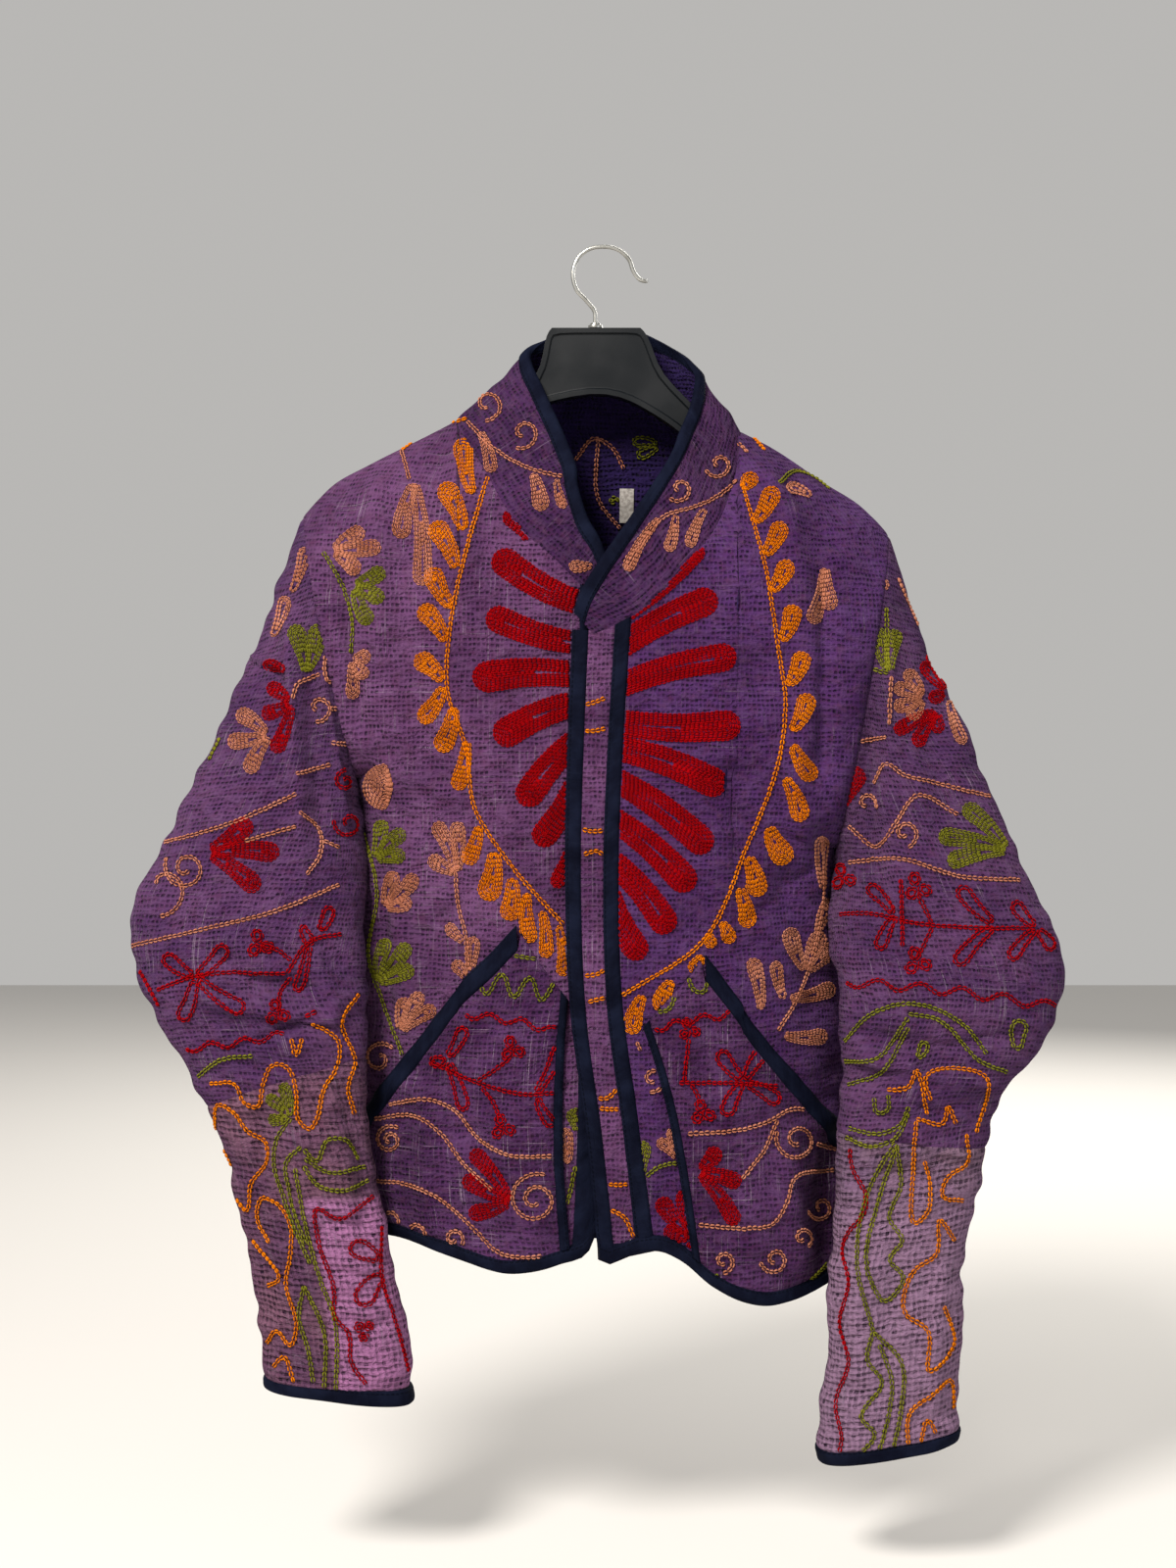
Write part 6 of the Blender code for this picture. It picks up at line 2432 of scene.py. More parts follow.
@dataclass(frozen=True)
class Motif:
    """Embroidery in one wool, in units of a sketch.

    petals: x, y of the tip, x, y of the base, and the width.
    fans: x, y of the base, the width, and the tips of petals that spring from it.
    lines: points of a smooth line.
    waves: points of a line, how many waves it makes, and how far they swing.
    curls: x, y, radius, turns and the angle where it ends, in degrees.
    loops: x, y of the tip, x, y of the base, and the width of an open leaf.
    knots: x, y and radius of a round of three small open leaves.
    """

    wool: Thread
    petals: tuple[Row, ...] = ()
    fans: tuple[tuple, ...] = ()
    lines: tuple[tuple[Row, ...], ...] = ()
    waves: tuple[tuple, ...] = ()
    curls: tuple[Row, ...] = ()
    loops: tuple[Row, ...] = ()
    knots: tuple[Row, ...] = ()
    waist: float = 0.5
    plump: float = 1.15
    close: float = 2.9
    yarn: float = 0.56

    def capsule(self, tip: Array, base: Array, width: float, inset: float) -> Array:
        """One outline of a club-shaped petal, this far inside its edge.

        Args:
            tip: the tip.
            base: the base.
            width: the width near the tip.
            inset: how far inside the edge the outline runs.

        Returns:
            The outline's points.
        """
        along = tip - base
        length = max(float(np.linalg.norm(along)), 1e-6)
        along = along / length
        side = np.array([-along[1], along[0]])
        big, small = width / 2, width / 2 * self.waist
        run = max(length - big - small, 0.1)
        first = max(0.0, (inset - small) / max(big - small, 1e-6))
        share = np.linspace(first, 1.0, max(3, int(run / 4)))
        radius = np.maximum(small + (big - small) * share**0.8 - inset, 0.0)
        middle = base + along * (small + run * share)[:, None]
        bend = 0.03 * length * np.sin(np.pi * share) * (1 if int(tip[0] + tip[1]) % 2 else -1)
        middle = middle + side * bend[:, None]
        turn = np.linspace(-np.pi / 2, np.pi / 2, max(5, int((big - inset) * 1.2)))
        cap = middle[-1] + (big - inset) * (np.cos(turn)[:, None] * along + np.sin(turn)[:, None] * side)
        up, down = middle - side * radius[:, None], middle + side * radius[:, None]
        return np.concatenate([up, cap[1:-1], down[::-1], up[:1]])

    def filled(self) -> Iterator[Array]:
        """The rows of stitches that fill the petals.

        Returns:
            The points of one row after another.
        """
        fanned = [(*tip, x, y, width) for x, y, width, *tips in self.fans for tip in tips]
        for tip_x, tip_y, base_x, base_y, width in [*self.petals, *fanned]:
            tip, base, wide = np.array([tip_x, tip_y]), np.array([base_x, base_y]), width * self.plump
            rings = int(wide / 2 / self.close + 0.25)
            for index in range(rings):
                yield self.capsule(tip, base, wide, (index + 0.5) * self.close)
            if wide / 2 - rings * self.close > -0.1 * self.close:
                yield self.capsule(tip, base, wide, wide / 2 - 0.2)

    def drawn(self) -> Iterator[Array]:
        """The single rows of stitches that draw lines.

        Returns:
            The points of one row after another.
        """
        for tip_x, tip_y, base_x, base_y, width in self.loops:
            yield self.capsule(np.array([tip_x, tip_y]), np.array([base_x, base_y]), width * 1.1, 0.8)
        for x, y, radius in self.knots:
            for turn in (0.4, 2.3, 4.4):
                tip = np.array([x + 1.5 * radius * math.cos(turn), y + 1.5 * radius * math.sin(turn)])
                yield self.capsule(tip, np.array([x, y]), radius * 1.1, 0.2)
        for line in self.lines:
            run = Curve(line)
            yield run.at(steps(max(4, int(run.length / 2.5))))
        for line, count, swing in self.waves:
            run = Curve(line)
            share = steps(max(8, int(run.length / 1.5)))
            points, slope = run.at(share), unit(np.gradient(run.at(share), axis=0))
            push = swing * np.sin(2 * np.pi * count * share)
            yield points + np.stack([-slope[:, 1], slope[:, 0]], axis=-1) * push[:, None]
        for x, y, radius, turns, end in self.curls:
            share = steps(max(12, int(radius * turns * 3)))
            angle = math.radians(end) + 2 * np.pi * turns * (1 - share)
            reach = radius * (1 - 0.82 * share)
            yield np.stack([x + reach * np.cos(angle), y + reach * np.sin(angle)], axis=-1)

    def mirrored(self) -> "Motif":
        """The same on the other sketch, where right and left change places.

        Returns:
            The turned motif.
        """
        petals, loops = (
            tuple((x, y, SKETCH_WIDTH - base_x, *others) for x, y, base_x, *others in flipped(rows))
            for rows in (self.petals, self.loops)
        )
        return replace(
            self,
            petals=petals,
            loops=loops,
            fans=tuple((x, y, width, *flipped(tips)) for x, y, width, *tips in flipped(self.fans)),
            lines=tuple(flipped(line) for line in self.lines),
            waves=tuple((flipped(line), count, -swing) for line, count, swing in self.waves),
            curls=tuple((*others, 180 - end) for *others, end in flipped(self.curls)),
            knots=flipped(self.knots),
        )


MEDALLION = [
    Motif(
        Thread.RED,
        petals=(
            (718, 559, 630, 636, 16), (731, 607, 612, 674, 30), (751, 667, 612, 707, 29),
            (756, 741, 610, 735, 31), (741, 803, 610, 757, 31), (726, 866, 612, 785, 30),
            (708, 906, 614, 826, 30), (686, 950, 616, 868, 29), (654, 979, 618, 902, 27),
            (515, 522, 545, 552, 18), (503, 567, 602, 622, 30), (496, 628, 600, 660, 28),
            (482, 691, 600, 688, 32), (504, 753, 600, 712, 31), (531, 820, 596, 746, 30),
            (549, 863, 592, 792, 27), (566, 906, 588, 850, 16),
        ),
        waist=0.8, plump=1.0, close=2.6, yarn=0.62,
    ),
    Motif(
        Thread.ORANGE,
        lines=(
            (
                (498, 485), (476, 560), (458, 650), (456, 700), (477, 770), (483, 820), (518, 878),
                (576, 945),
            ),
            (
                (757, 493), (780, 575), (797, 680), (801, 706), (797, 765), (760, 868), (719, 958),
                (635, 1016),
            ),
        ),
        petals=(
            (471, 447, 482, 508, 18), (453, 492, 475, 545, 20), (443, 532, 468, 583, 20),
            (438, 580, 462, 623, 19), (430, 617, 457, 657, 19), (425, 668, 455, 697, 19),
            (430, 738, 455, 698, 18), (450, 768, 465, 718, 19), (467, 807, 477, 753, 16),
            (477, 883, 490, 840, 16), (498, 920, 505, 865, 22), (520, 940, 523, 892, 19),
            (540, 963, 537, 908, 16), (558, 978, 553, 927, 14), (575, 997, 570, 942, 12),
            (770, 482, 757, 503, 16), (792, 497, 768, 537, 18), (800, 533, 778, 570, 18),
            (807, 572, 785, 607, 18), (812, 617, 797, 658, 18), (822, 665, 803, 703, 18),
            (827, 708, 807, 750, 18), (830, 797, 807, 757, 18), (820, 838, 800, 790, 18),
            (803, 882, 782, 840, 22), (775, 915, 762, 870, 20), (765, 947, 753, 903, 17),
            (747, 963, 735, 938, 14), (727, 968, 722, 950, 13), (705, 993, 718, 972, 14),
            (671, 1032, 686, 997, 18), (642, 1055, 657, 1012, 18),
        ),
    ),
]
RIGHT_SPRIGS = [
    Motif(
        Thread.OLIVE,
        lines=(
            ((370, 840), (385, 910), (377, 980), (390, 1020), (415, 1087)),
            ((330, 563), (350, 600), (360, 633), (358, 667)),
        ),
        fans=(
            (382, 877, 15, (391, 836), (413, 847), (414, 872)),
            (383, 1003, 15, (395, 957), (418, 963), (423, 988)),
            (360, 598, 16, (393, 582), (392, 612), (377, 638)),
        ),
    ),
    Motif(
        Thread.SALMON, lines=(((465, 890), (467, 920), (475, 953), (477, 987)), ((410, 460), (418, 490))),
        fans=(
            (392, 927, 15, (403, 889), (426, 893), (421, 920)),
            (408, 1053, 14, (413, 1017), (430, 1012), (445, 1027)),
            (467, 892, 15, (445, 838), (467, 838), (437, 875)), (475, 963, 12, (455, 943)),
            (477, 1000, 13, (463, 980), (484, 955)), (423, 490, 18, (407, 550), (432, 598)),
            (338, 562, 16, (372, 540), (389, 558), (368, 584)),
            (358, 673, 14, (379, 668), (375, 692), (360, 714)),
        ),
        curls=((388, 1080, 17, 1.2, 250),),
    ),
    Motif(Thread.SALMON, petals=((370, 803, 402, 803, 42),), waist=0.08),
]
LEFT_SPRIGS = [
    Motif(
        Thread.SALMON, lines=(((838, 853), (840, 910), (833, 960), (807, 1030), (793, 1053)),),
        fans=((842, 577, 15, (829, 637), (848, 623)), (822, 993, 17, (803, 947), (857, 963), (838, 950))),
        petals=(
            (838, 852, 840, 910, 14), (847, 917, 833, 955, 14), (853, 1008, 803, 1020, 15),
            (790, 980, 800, 1022, 13), (768, 977, 777, 1033, 15), (845, 1058, 797, 1057, 15),
            (802, 495, 830, 507, 12),
        ),
    ),
    Motif(Thread.OLIVE, lines=(((795, 493), (810, 481), (830, 487), (847, 500)),)),
    Motif(Thread.ORANGE, lines=(((757, 433), (780, 460)),)),
    Motif(Thread.SALMON, lines=(((747, 427), (750, 447), (763, 463)),)),
    Motif(
        Thread.SALMON, lines=(((650, 1063), (654, 1072)),),
        fans=((693, 1183, 12, (684, 1150), (671, 1162)),), curls=((666, 1101, 14, 1.2, 30),),
    ),
    Motif(
        Thread.OLIVE, petals=((655, 1163, 653, 1212, 18),),
        lines=(((648, 1223), (660, 1200), (683, 1187), (700, 1188)),),
    ),
    Motif(Thread.RED, fans=((707, 1263, 17, (671, 1223), (697, 1213), (677, 1255), (707, 1290)),)),
]
STRIP_SPRIGS = [
    Motif(Thread.SALMON, fans=((580, 1190, 12, (577, 1150), (570, 1172)),)),
    Motif(
        Thread.OLIVE, lines=(((587, 1190), (583, 1210), (578, 1230)),),
        petals=((585, 1130, 590, 1158, 16),),
    ),
    Motif(Thread.RED, petals=((600, 1177, 600, 1247, 22),)),
]
COLLAR_SPRIGS = [
    Motif(
        Thread.SALMON,
        lines=(
            ((477, 430), (503, 457), (537, 477), (575, 487)),
            ((753, 490), (727, 510), (700, 520), (677, 527), (660, 547), (637, 583)),
        ),
        petals=(
            (503, 483, 490, 438, 13), (554, 522, 543, 480, 16), (575, 520, 567, 487, 10),
            (638, 583, 673, 527, 12), (682, 564, 690, 523, 12), (702, 559, 720, 517, 12),
            (580, 578, 607, 577, 12),
        ),
        curls=(
            (497, 413, 17, 1.1, 60), (534, 442, 17, 1.1, 80), (733, 474, 15, 1.1, 120),
            (693, 499, 14, 1.1, 100),
        ),
    ),
    Motif(Thread.OLIVE, lines=(((705, 440), (698, 466)),)),
    Motif(Thread.ORANGE, lines=(((410, 460), (440, 440), (477, 427)),)),
]
RIGHT_POCKET = [
    Motif(
        Thread.OLIVE, waves=((((490, 1003), (530, 1007), (575, 1012)), 3, 12),),
        lines=(((512, 973), (553, 980)),),
    ),
    Motif(
        Thread.RED, waves=((((475, 1035), (525, 1042), (573, 1053)), 3, 4),),
        lines=(
            ((440, 1083), (483, 1103), (543, 1117), (569, 1115)), ((488, 1103), (505, 1092), (520, 1080)),
            ((492, 1110), (503, 1124), (511, 1142)),
        ),
        knots=((523, 1070, 9), (513, 1150, 9)),
        loops=(
            (475, 1048, 457, 1080, 12), (439, 1085, 457, 1080, 12), (475, 1133, 457, 1082, 12),
            (572, 1067, 547, 1117, 11), (563, 1150, 547, 1119, 10),
        ),
        fans=((523, 1227, 16, (482, 1173), (472, 1202), (478, 1240)),),
    ),
    Motif(
        Thread.SALMON,
        lines=(
            ((397, 1127), (437, 1122), (463, 1132), (487, 1160), (513, 1177), (564, 1180)),
            ((373, 1143), (427, 1140), (450, 1157), (473, 1187), (503, 1215)),
            ((383, 1205), (413, 1208), (443, 1220), (483, 1253), (507, 1277), (569, 1282)),
        ),
        curls=(
            (398, 1163, 15, 1.6, 90), (546, 1224, 27, 1.7, 40), (424, 1258, 11, 1.1, 0),
            (463, 1264, 11, 1.1, 0), (397, 1245, 11, 1.1, 0),
        ),
    ),
]
# Dashes on the placket band. Columns: x, y, then how far its middle and its end lie under its start.
DASHES = [
    (620, 637, 2, 5), (593, 720, -3, -8), (594, 745, 1, -2), (593, 846, 3, 1), (596, 872, -4, 6),
    (597, 996, -2, -10), (600, 1022, -3, -5), (606, 1119, 2, -10), (612, 1131, 1, 1), (618, 1208, 1, 0),
    (622, 1234, 6, 30),
]
BAND_DASHES = [
    Motif(
        Thread.ORANGE,
        lines=tuple(((x, y), (x + 13, y + half), (x + 25, y + whole)) for x, y, half, whole in DASHES),
    ),
]
LEFT_POCKET = [
    Motif(
        Thread.OLIVE,
        lines=(
            ((702, 995), (707, 1010), (717, 1013), (722, 990)), ((670, 1033), (683, 1030), (688, 1017)),
            ((735, 1003), (743, 1017)), ((730, 1300), (760, 1323), (787, 1327), (820, 1310), (847, 1287)),
        ),
    ),
    Motif(
        Thread.RED, waves=((((668, 1050), (710, 1040), (754, 1034)), 3, 4),),
        lines=(
            ((703, 1060), (698, 1103)), ((693, 1105), (747, 1105), (795, 1108)),
            ((705, 1107), (711, 1116), (715, 1127)),
        ),
        knots=((703, 1050, 8), (717, 1135, 9)),
        loops=(
            (733, 1073, 758, 1103, 14), (784, 1066, 758, 1103, 14), (739, 1138, 758, 1103, 14),
            (796, 1124, 760, 1104, 14),
        ),
        fans=((712, 1195, 16, (735, 1172), (757, 1207), (753, 1249)),),
    ),
    Motif(
        Thread.SALMON,
        lines=(
            ((702, 1157), (753, 1153), (787, 1143), (806, 1132), (842, 1137)),
            ((757, 1203), (780, 1173), (793, 1143)), ((833, 1167), (853, 1173)),
            ((713, 1250), (767, 1253), (787, 1250), (803, 1227), (810, 1203), (855, 1193)),
        ),
        curls=(
            (813, 1163, 22, 1.4, 60), (738, 1287, 12, 1.2, 20), (790, 1285, 15, 1.3, 60),
            (818, 1263, 11, 1.1, 20), (837, 1232, 14, 1.2, 90),
        ),
    ),
]
RIGHT_SLEEVE = [
    Motif(
        Thread.OLIVE, petals=((318, 520, 326, 536, 10),),
        fans=(
            (313, 689, 17, (300, 637), (326, 637)), (297, 1141, 12, (289, 1104), (272, 1117), (273, 1143)),
        ),
        lines=(
            ((225, 753), (213, 777)), ((202, 1099), (222, 1083), (259, 1077)),
            ((297, 1141), (282, 1164), (280, 1190), (289, 1221), (302, 1256), (317, 1290)),
            ((307, 1170), (293, 1184), (295, 1214), (312, 1270)),
            ((310, 1173), (323, 1186), (334, 1163), (350, 1162), (366, 1184)),
            ((311, 1182), (333, 1196), (374, 1190)), ((310, 1190), (322, 1208), (350, 1215), (377, 1203)),
            ((301, 1192), (313, 1256), (327, 1306), (341, 1345), (343, 1419)),
            ((310, 1312), (330, 1356), (331, 1419)), ((310, 1312), (305, 1345), (314, 1375), (320, 1411)),
        ),
    ),
    Motif(
        Thread.SALMON, petals=((313, 558, 297, 607, 12), (293, 608, 278, 652, 13)),
        lines=(
            ((315, 557), (332, 587), (323, 610)), ((323, 623), (338, 628)),
            ((298, 713), (302, 700), (327, 688)), ((337, 723), (350, 725)), ((338, 758), (357, 760)),
            ((168, 860), (230, 842), (303, 810)), ((302, 790), (338, 780)),
            ((305, 828), (326, 848), (327, 870), (312, 893)), ((330, 858), (347, 865)),
            ((250, 858), (303, 843)), ((135, 965), (213, 947), (280, 930), (347, 902)),
        ),
        fans=((275, 750, 16, (242, 725), (232, 758), (252, 789)),), loops=((339, 663, 336, 700, 14),),
        curls=((190, 886, 22, 1.5, 30), (165, 905, 30, 0.7, 200), (325, 722, 15, 1.0, 100)),
    ),
    Motif(
        Thread.RED,
        fans=(
            (298, 717, 15, (273, 698), (267, 731), (281, 769)),
            (212, 870, 19, (257, 838), (285, 869), (265, 907)),
        ),
        petals=((268, 677, 294, 684, 12),),
        lines=(
            ((160, 1010), (197, 997), (293, 993)), ((293, 993), (317, 960), (350, 953)),
            ((297, 980), (281, 968), (265, 963)), ((297, 997), (286, 1013), (284, 1033)),
            ((143, 990), (163, 1027)), ((311, 1037), (324, 1032)),
            (
                (381, 1220), (366, 1232), (347, 1244), (322, 1233), (324, 1262), (341, 1318), (342, 1345),
                (356, 1360), (358, 1389), (374, 1413),
            ),
            ((389, 1251), (390, 1307), (403, 1347), (417, 1400)),
        ),
        waves=((((190, 1070), (240, 1064), (291, 1056)), 3, 4),),
        loops=(
            (167, 975, 199, 998, 14), (232, 965, 200, 998, 14), (249, 1032, 200, 998, 14),
            (186, 1042, 200, 998, 14), (338, 925, 326, 952, 12), (318, 965, 307, 943, 10),
            (303, 1013, 315, 963, 10), (357, 1270, 389, 1286, 18), (366, 1331, 391, 1297, 20),
            (362, 1351, 372, 1358, 10), (380, 1349, 372, 1358, 10), (370, 1369, 372, 1358, 10),
        ),
        knots=((265, 963, 10), (283, 1033, 9)), curls=((352, 797, 11, 1.2, 200), (355, 840, 15, 1.2, 120)),
    ),
    Motif(
        Thread.ORANGE,
        lines=(
            (
                (214, 1106), (240, 1106), (250, 1126), (262, 1130), (269, 1104), (278, 1087), (292, 1088),
                (302, 1114), (305, 1144), (316, 1153), (325, 1136), (330, 1112), (344, 1088), (345, 1062),
                (318, 1044),
            ),
            ((297, 1060), (302, 1078), (308, 1059)),
            ((366, 1014), (349, 1040), (362, 1086), (355, 1108), (362, 1138)),
            (
                (237, 1190), (220, 1146), (222, 1127), (238, 1134), (252, 1154), (272, 1166), (273, 1184),
                (256, 1208), (252, 1236), (241, 1222),
            ),
            (
                (275, 1268), (262, 1238), (268, 1222), (280, 1226), (297, 1252), (297, 1276), (292, 1306),
                (302, 1358), (297, 1374), (282, 1357), (272, 1372),
            ),
            ((258, 1265), (283, 1308), (272, 1312)), ((279, 1395), (289, 1384), (300, 1411)),
        ),
    ),
]
LEFT_SLEEVE = [
    Motif(
        Thread.SALMON,
        petals=(
            (854, 522, 896, 548, 18), (879, 612, 879, 572, 16), (904, 603, 887, 572, 12),
            (983, 760, 967, 713, 12),
        ),
        fans=((943, 712, 14, (924, 683), (911, 700), (911, 723), (927, 735)),),
        lines=(
            ((916, 590), (927, 617), (937, 640)), ((851, 677), (871, 670)), ((857, 650), (859, 667)),
            ((909, 690), (907, 740)), ((861, 762), (877, 757), (906, 752)),
            ((892, 800), (904, 779), (921, 790), (951, 798), (1011, 813)),
            ((866, 843), (895, 864), (914, 840), (934, 812), (979, 832)),
            ((866, 880), (914, 876), (984, 895), (1042, 898)),
        ),
        curls=((884, 820, 12, 0.9, 60), (923, 850, 15, 1.1, 40), (873, 710, 16, 0.9, 200)),
    ),
    Motif(
        Thread.OLIVE,
        lines=(
            ((887, 550), (871, 580)), ((904, 620), (907, 687)), ((854, 690), (881, 682), (907, 687)),
            ((862, 1063), (884, 1038), (925, 1024), (985, 1047), (1007, 1076)),
            ((862, 1083), (891, 1082), (927, 1038)), ((865, 1107), (894, 1098), (928, 1047)),
            ((927, 1035), (954, 1039), (1004, 1085), (1029, 1094)),
            ((927, 1129), (919, 1148), (897, 1157), (865, 1151)),
            ((892, 1120), (895, 1136), (906, 1133), (906, 1117)),
            ((927, 1136), (915, 1160), (891, 1170), (862, 1160)),
            ((916, 1164), (897, 1192), (878, 1243), (875, 1293), (891, 1359)),
            (
                (916, 1168), (897, 1222), (887, 1303), (902, 1328), (922, 1302), (907, 1285), (921, 1266),
                (907, 1242), (919, 1213), (915, 1170),
            ),
            ((891, 1359), (885, 1388), (900, 1409), (879, 1448), (893, 1463), (872, 1488)),
            ((891, 1359), (919, 1388), (919, 1441), (910, 1485)),
            ((897, 1372), (910, 1408), (906, 1447), (894, 1489)),
        ),
        fans=((907, 687, 15, (894, 640), (914, 642)), (1029, 867, 17, (984, 821), (957, 852), (966, 879))),
        loops=((1040, 1040, 1038, 1074, 16), (945, 1062, 936, 1082, 10)),
    ),
    Motif(
        Thread.RED,
        fans=(
            (966, 705, 14, (940, 676), (948, 665), (947, 715)),
            (957, 725, 14, (912, 747), (933, 762), (956, 749)),
        ),
        lines=(
            ((857, 933), (884, 932), (934, 942), (1007, 947), (1057, 947)), ((919, 897), (921, 967)),
            ((951, 942), (936, 912)), ((951, 947), (936, 978)),
        ),
        waves=(
            (((864, 1002), (960, 1010), (1077, 1027)), 5, 5),
            (((868, 1172), (880, 1210), (863, 1283), (862, 1375), (852, 1491)), 4, 5),
        ),
        knots=((861, 895, 9), (936, 905, 10), (936, 981, 10)),
        loops=(
            (886, 903, 914, 933, 12), (896, 969, 914, 933, 12), (978, 906, 1014, 943, 14),
            (975, 984, 1014, 944, 14), (1033, 921, 1057, 947, 12), (1030, 979, 1057, 947, 12),
            (1075, 969, 1057, 947, 12),
        ),
    ),
    Motif(Thread.RED, petals=((873, 781, 864, 824, 24),), waist=0.08),
    Motif(
        Thread.ORANGE, petals=((852, 565, 869, 584, 9),),
        lines=(
            ((905, 1112), (928, 1109), (934, 1092), (946, 1138)),
            ((950, 1123), (944, 1100), (985, 1091), (1004, 1097), (996, 1156)),
            ((935, 1142), (963, 1146), (967, 1128), (976, 1148)),
            ((935, 1144), (932, 1190), (936, 1248), (946, 1238), (948, 1205), (943, 1184)),
            ((986, 1157), (986, 1188), (967, 1201), (961, 1221), (984, 1225)),
            (
                (974, 1266), (959, 1244), (954, 1282), (935, 1294), (925, 1342), (946, 1356), (948, 1400),
                (973, 1372), (963, 1332),
            ),
            ((927, 1478), (928, 1442), (952, 1423), (969, 1408), (973, 1438)),
            ((939, 1471), (947, 1448), (955, 1463)),
        ),
    ),
]
NECK_REVERSE = [
    Motif(
        Thread.SALMON,
        lines=(((587, 470), (607, 447), (627, 460), (637, 480)), ((610, 447), (612, 513), (635, 542))),
    ),
    Motif(
        Thread.OLIVE, loops=((645, 450, 673, 453, 10), (650, 466, 673, 454, 10)),
        curls=((626, 512, 6, 1.0, 0),),
    ),
]


def on_oval(middle: Row, half: Row, turn: float) -> Row:
    """A point of an oval, this far round from its top."""
    return (middle[0] + half[0] * math.sin(turn), middle[1] - half[1] * math.cos(turn))


def ringed(
    count: int, middle: Row, inner: Row, outer: Row, width: float, skip: float = 0.0
) -> tuple[Row, ...]:
    """Petals that spread round an oval, for the back.

    Args:
        count: how many.
        middle: the oval's middle.
        inner: its half width and height at the petals' bases.
        outer: the same at their tips.
        width: the petals' width.
        skip: how far the tips are turned on, in degrees.

    Returns:
        Rows of petals.
    """
    rows = []
    for index in range(count):
        turn = 2 * math.pi * (index + 0.5) / count
        tip, base = on_oval(middle, outer, turn + math.radians(skip)), on_oval(middle, inner, turn)
        rows.append((*tip, *base, width))
    return tuple(rows)


def oval(middle: Row, half: Row, count: int = 24) -> tuple[Row, ...]:
    """Points round an oval."""
    return tuple(on_oval(middle, half, 2 * math.pi * index / count) for index in range(count + 1))


BACK_MEDALLION = [
    Motif(
        Thread.RED, petals=ringed(18, (600, 735), (46, 62), (118, 178), 27), waist=0.6, close=2.6,
        yarn=0.62,
    ),
    Motif(
        Thread.ORANGE, lines=(oval((600, 742), (158, 250)),),
        petals=ringed(34, (600, 742), (163, 255), (192, 288), 18, 9.0),
    ),
    Motif(
        Thread.SALMON, curls=((600, 735, 26, 1.8, 0), (470, 1090, 26, 1.5, 40), (730, 1090, 26, 1.5, 140)),
        lines=(
            (
                (420, 1150), (455, 1128), (500, 1124), (545, 1150), (600, 1168), (655, 1150), (700, 1124),
                (745, 1128), (785, 1150),
            ),
        ),
        fans=(
            (440, 1240, 16, (420, 1196), (446, 1190), (466, 1212)),
            (600, 1250, 17, (578, 1204), (602, 1194), (626, 1206)),
            (760, 1240, 16, (736, 1206), (760, 1192), (784, 1202)),
        ),
    ),
    Motif(
        Thread.OLIVE,
        lines=(
            ((380, 640), (368, 760), (384, 880), (376, 1000)),
            ((820, 640), (836, 760), (818, 880), (828, 1000)),
        ),
        fans=(
            (374, 720, 15, (352, 684), (390, 676), (398, 704)),
            (380, 860, 15, (358, 824), (396, 816), (404, 846)),
            (830, 720, 15, (808, 690), (836, 676), (856, 702)),
            (822, 860, 15, (800, 828), (828, 816), (848, 842)),
        ),
        waves=((((430, 1180), (600, 1200), (770, 1180)), 9, 10),),
    ),
]


# One leg of a link. Columns: place along the link, way out from its middle, height and thickness.
LINK_LEG = [(-0.12, 0.0, 0.3, 0.0), (0.22, 0.80, 1.0, 0.95), (0.70, 1.0, 1.05, 1.0), (1.14, 0.12, 0.5, 0.0)]
LINK_POINTS = 16


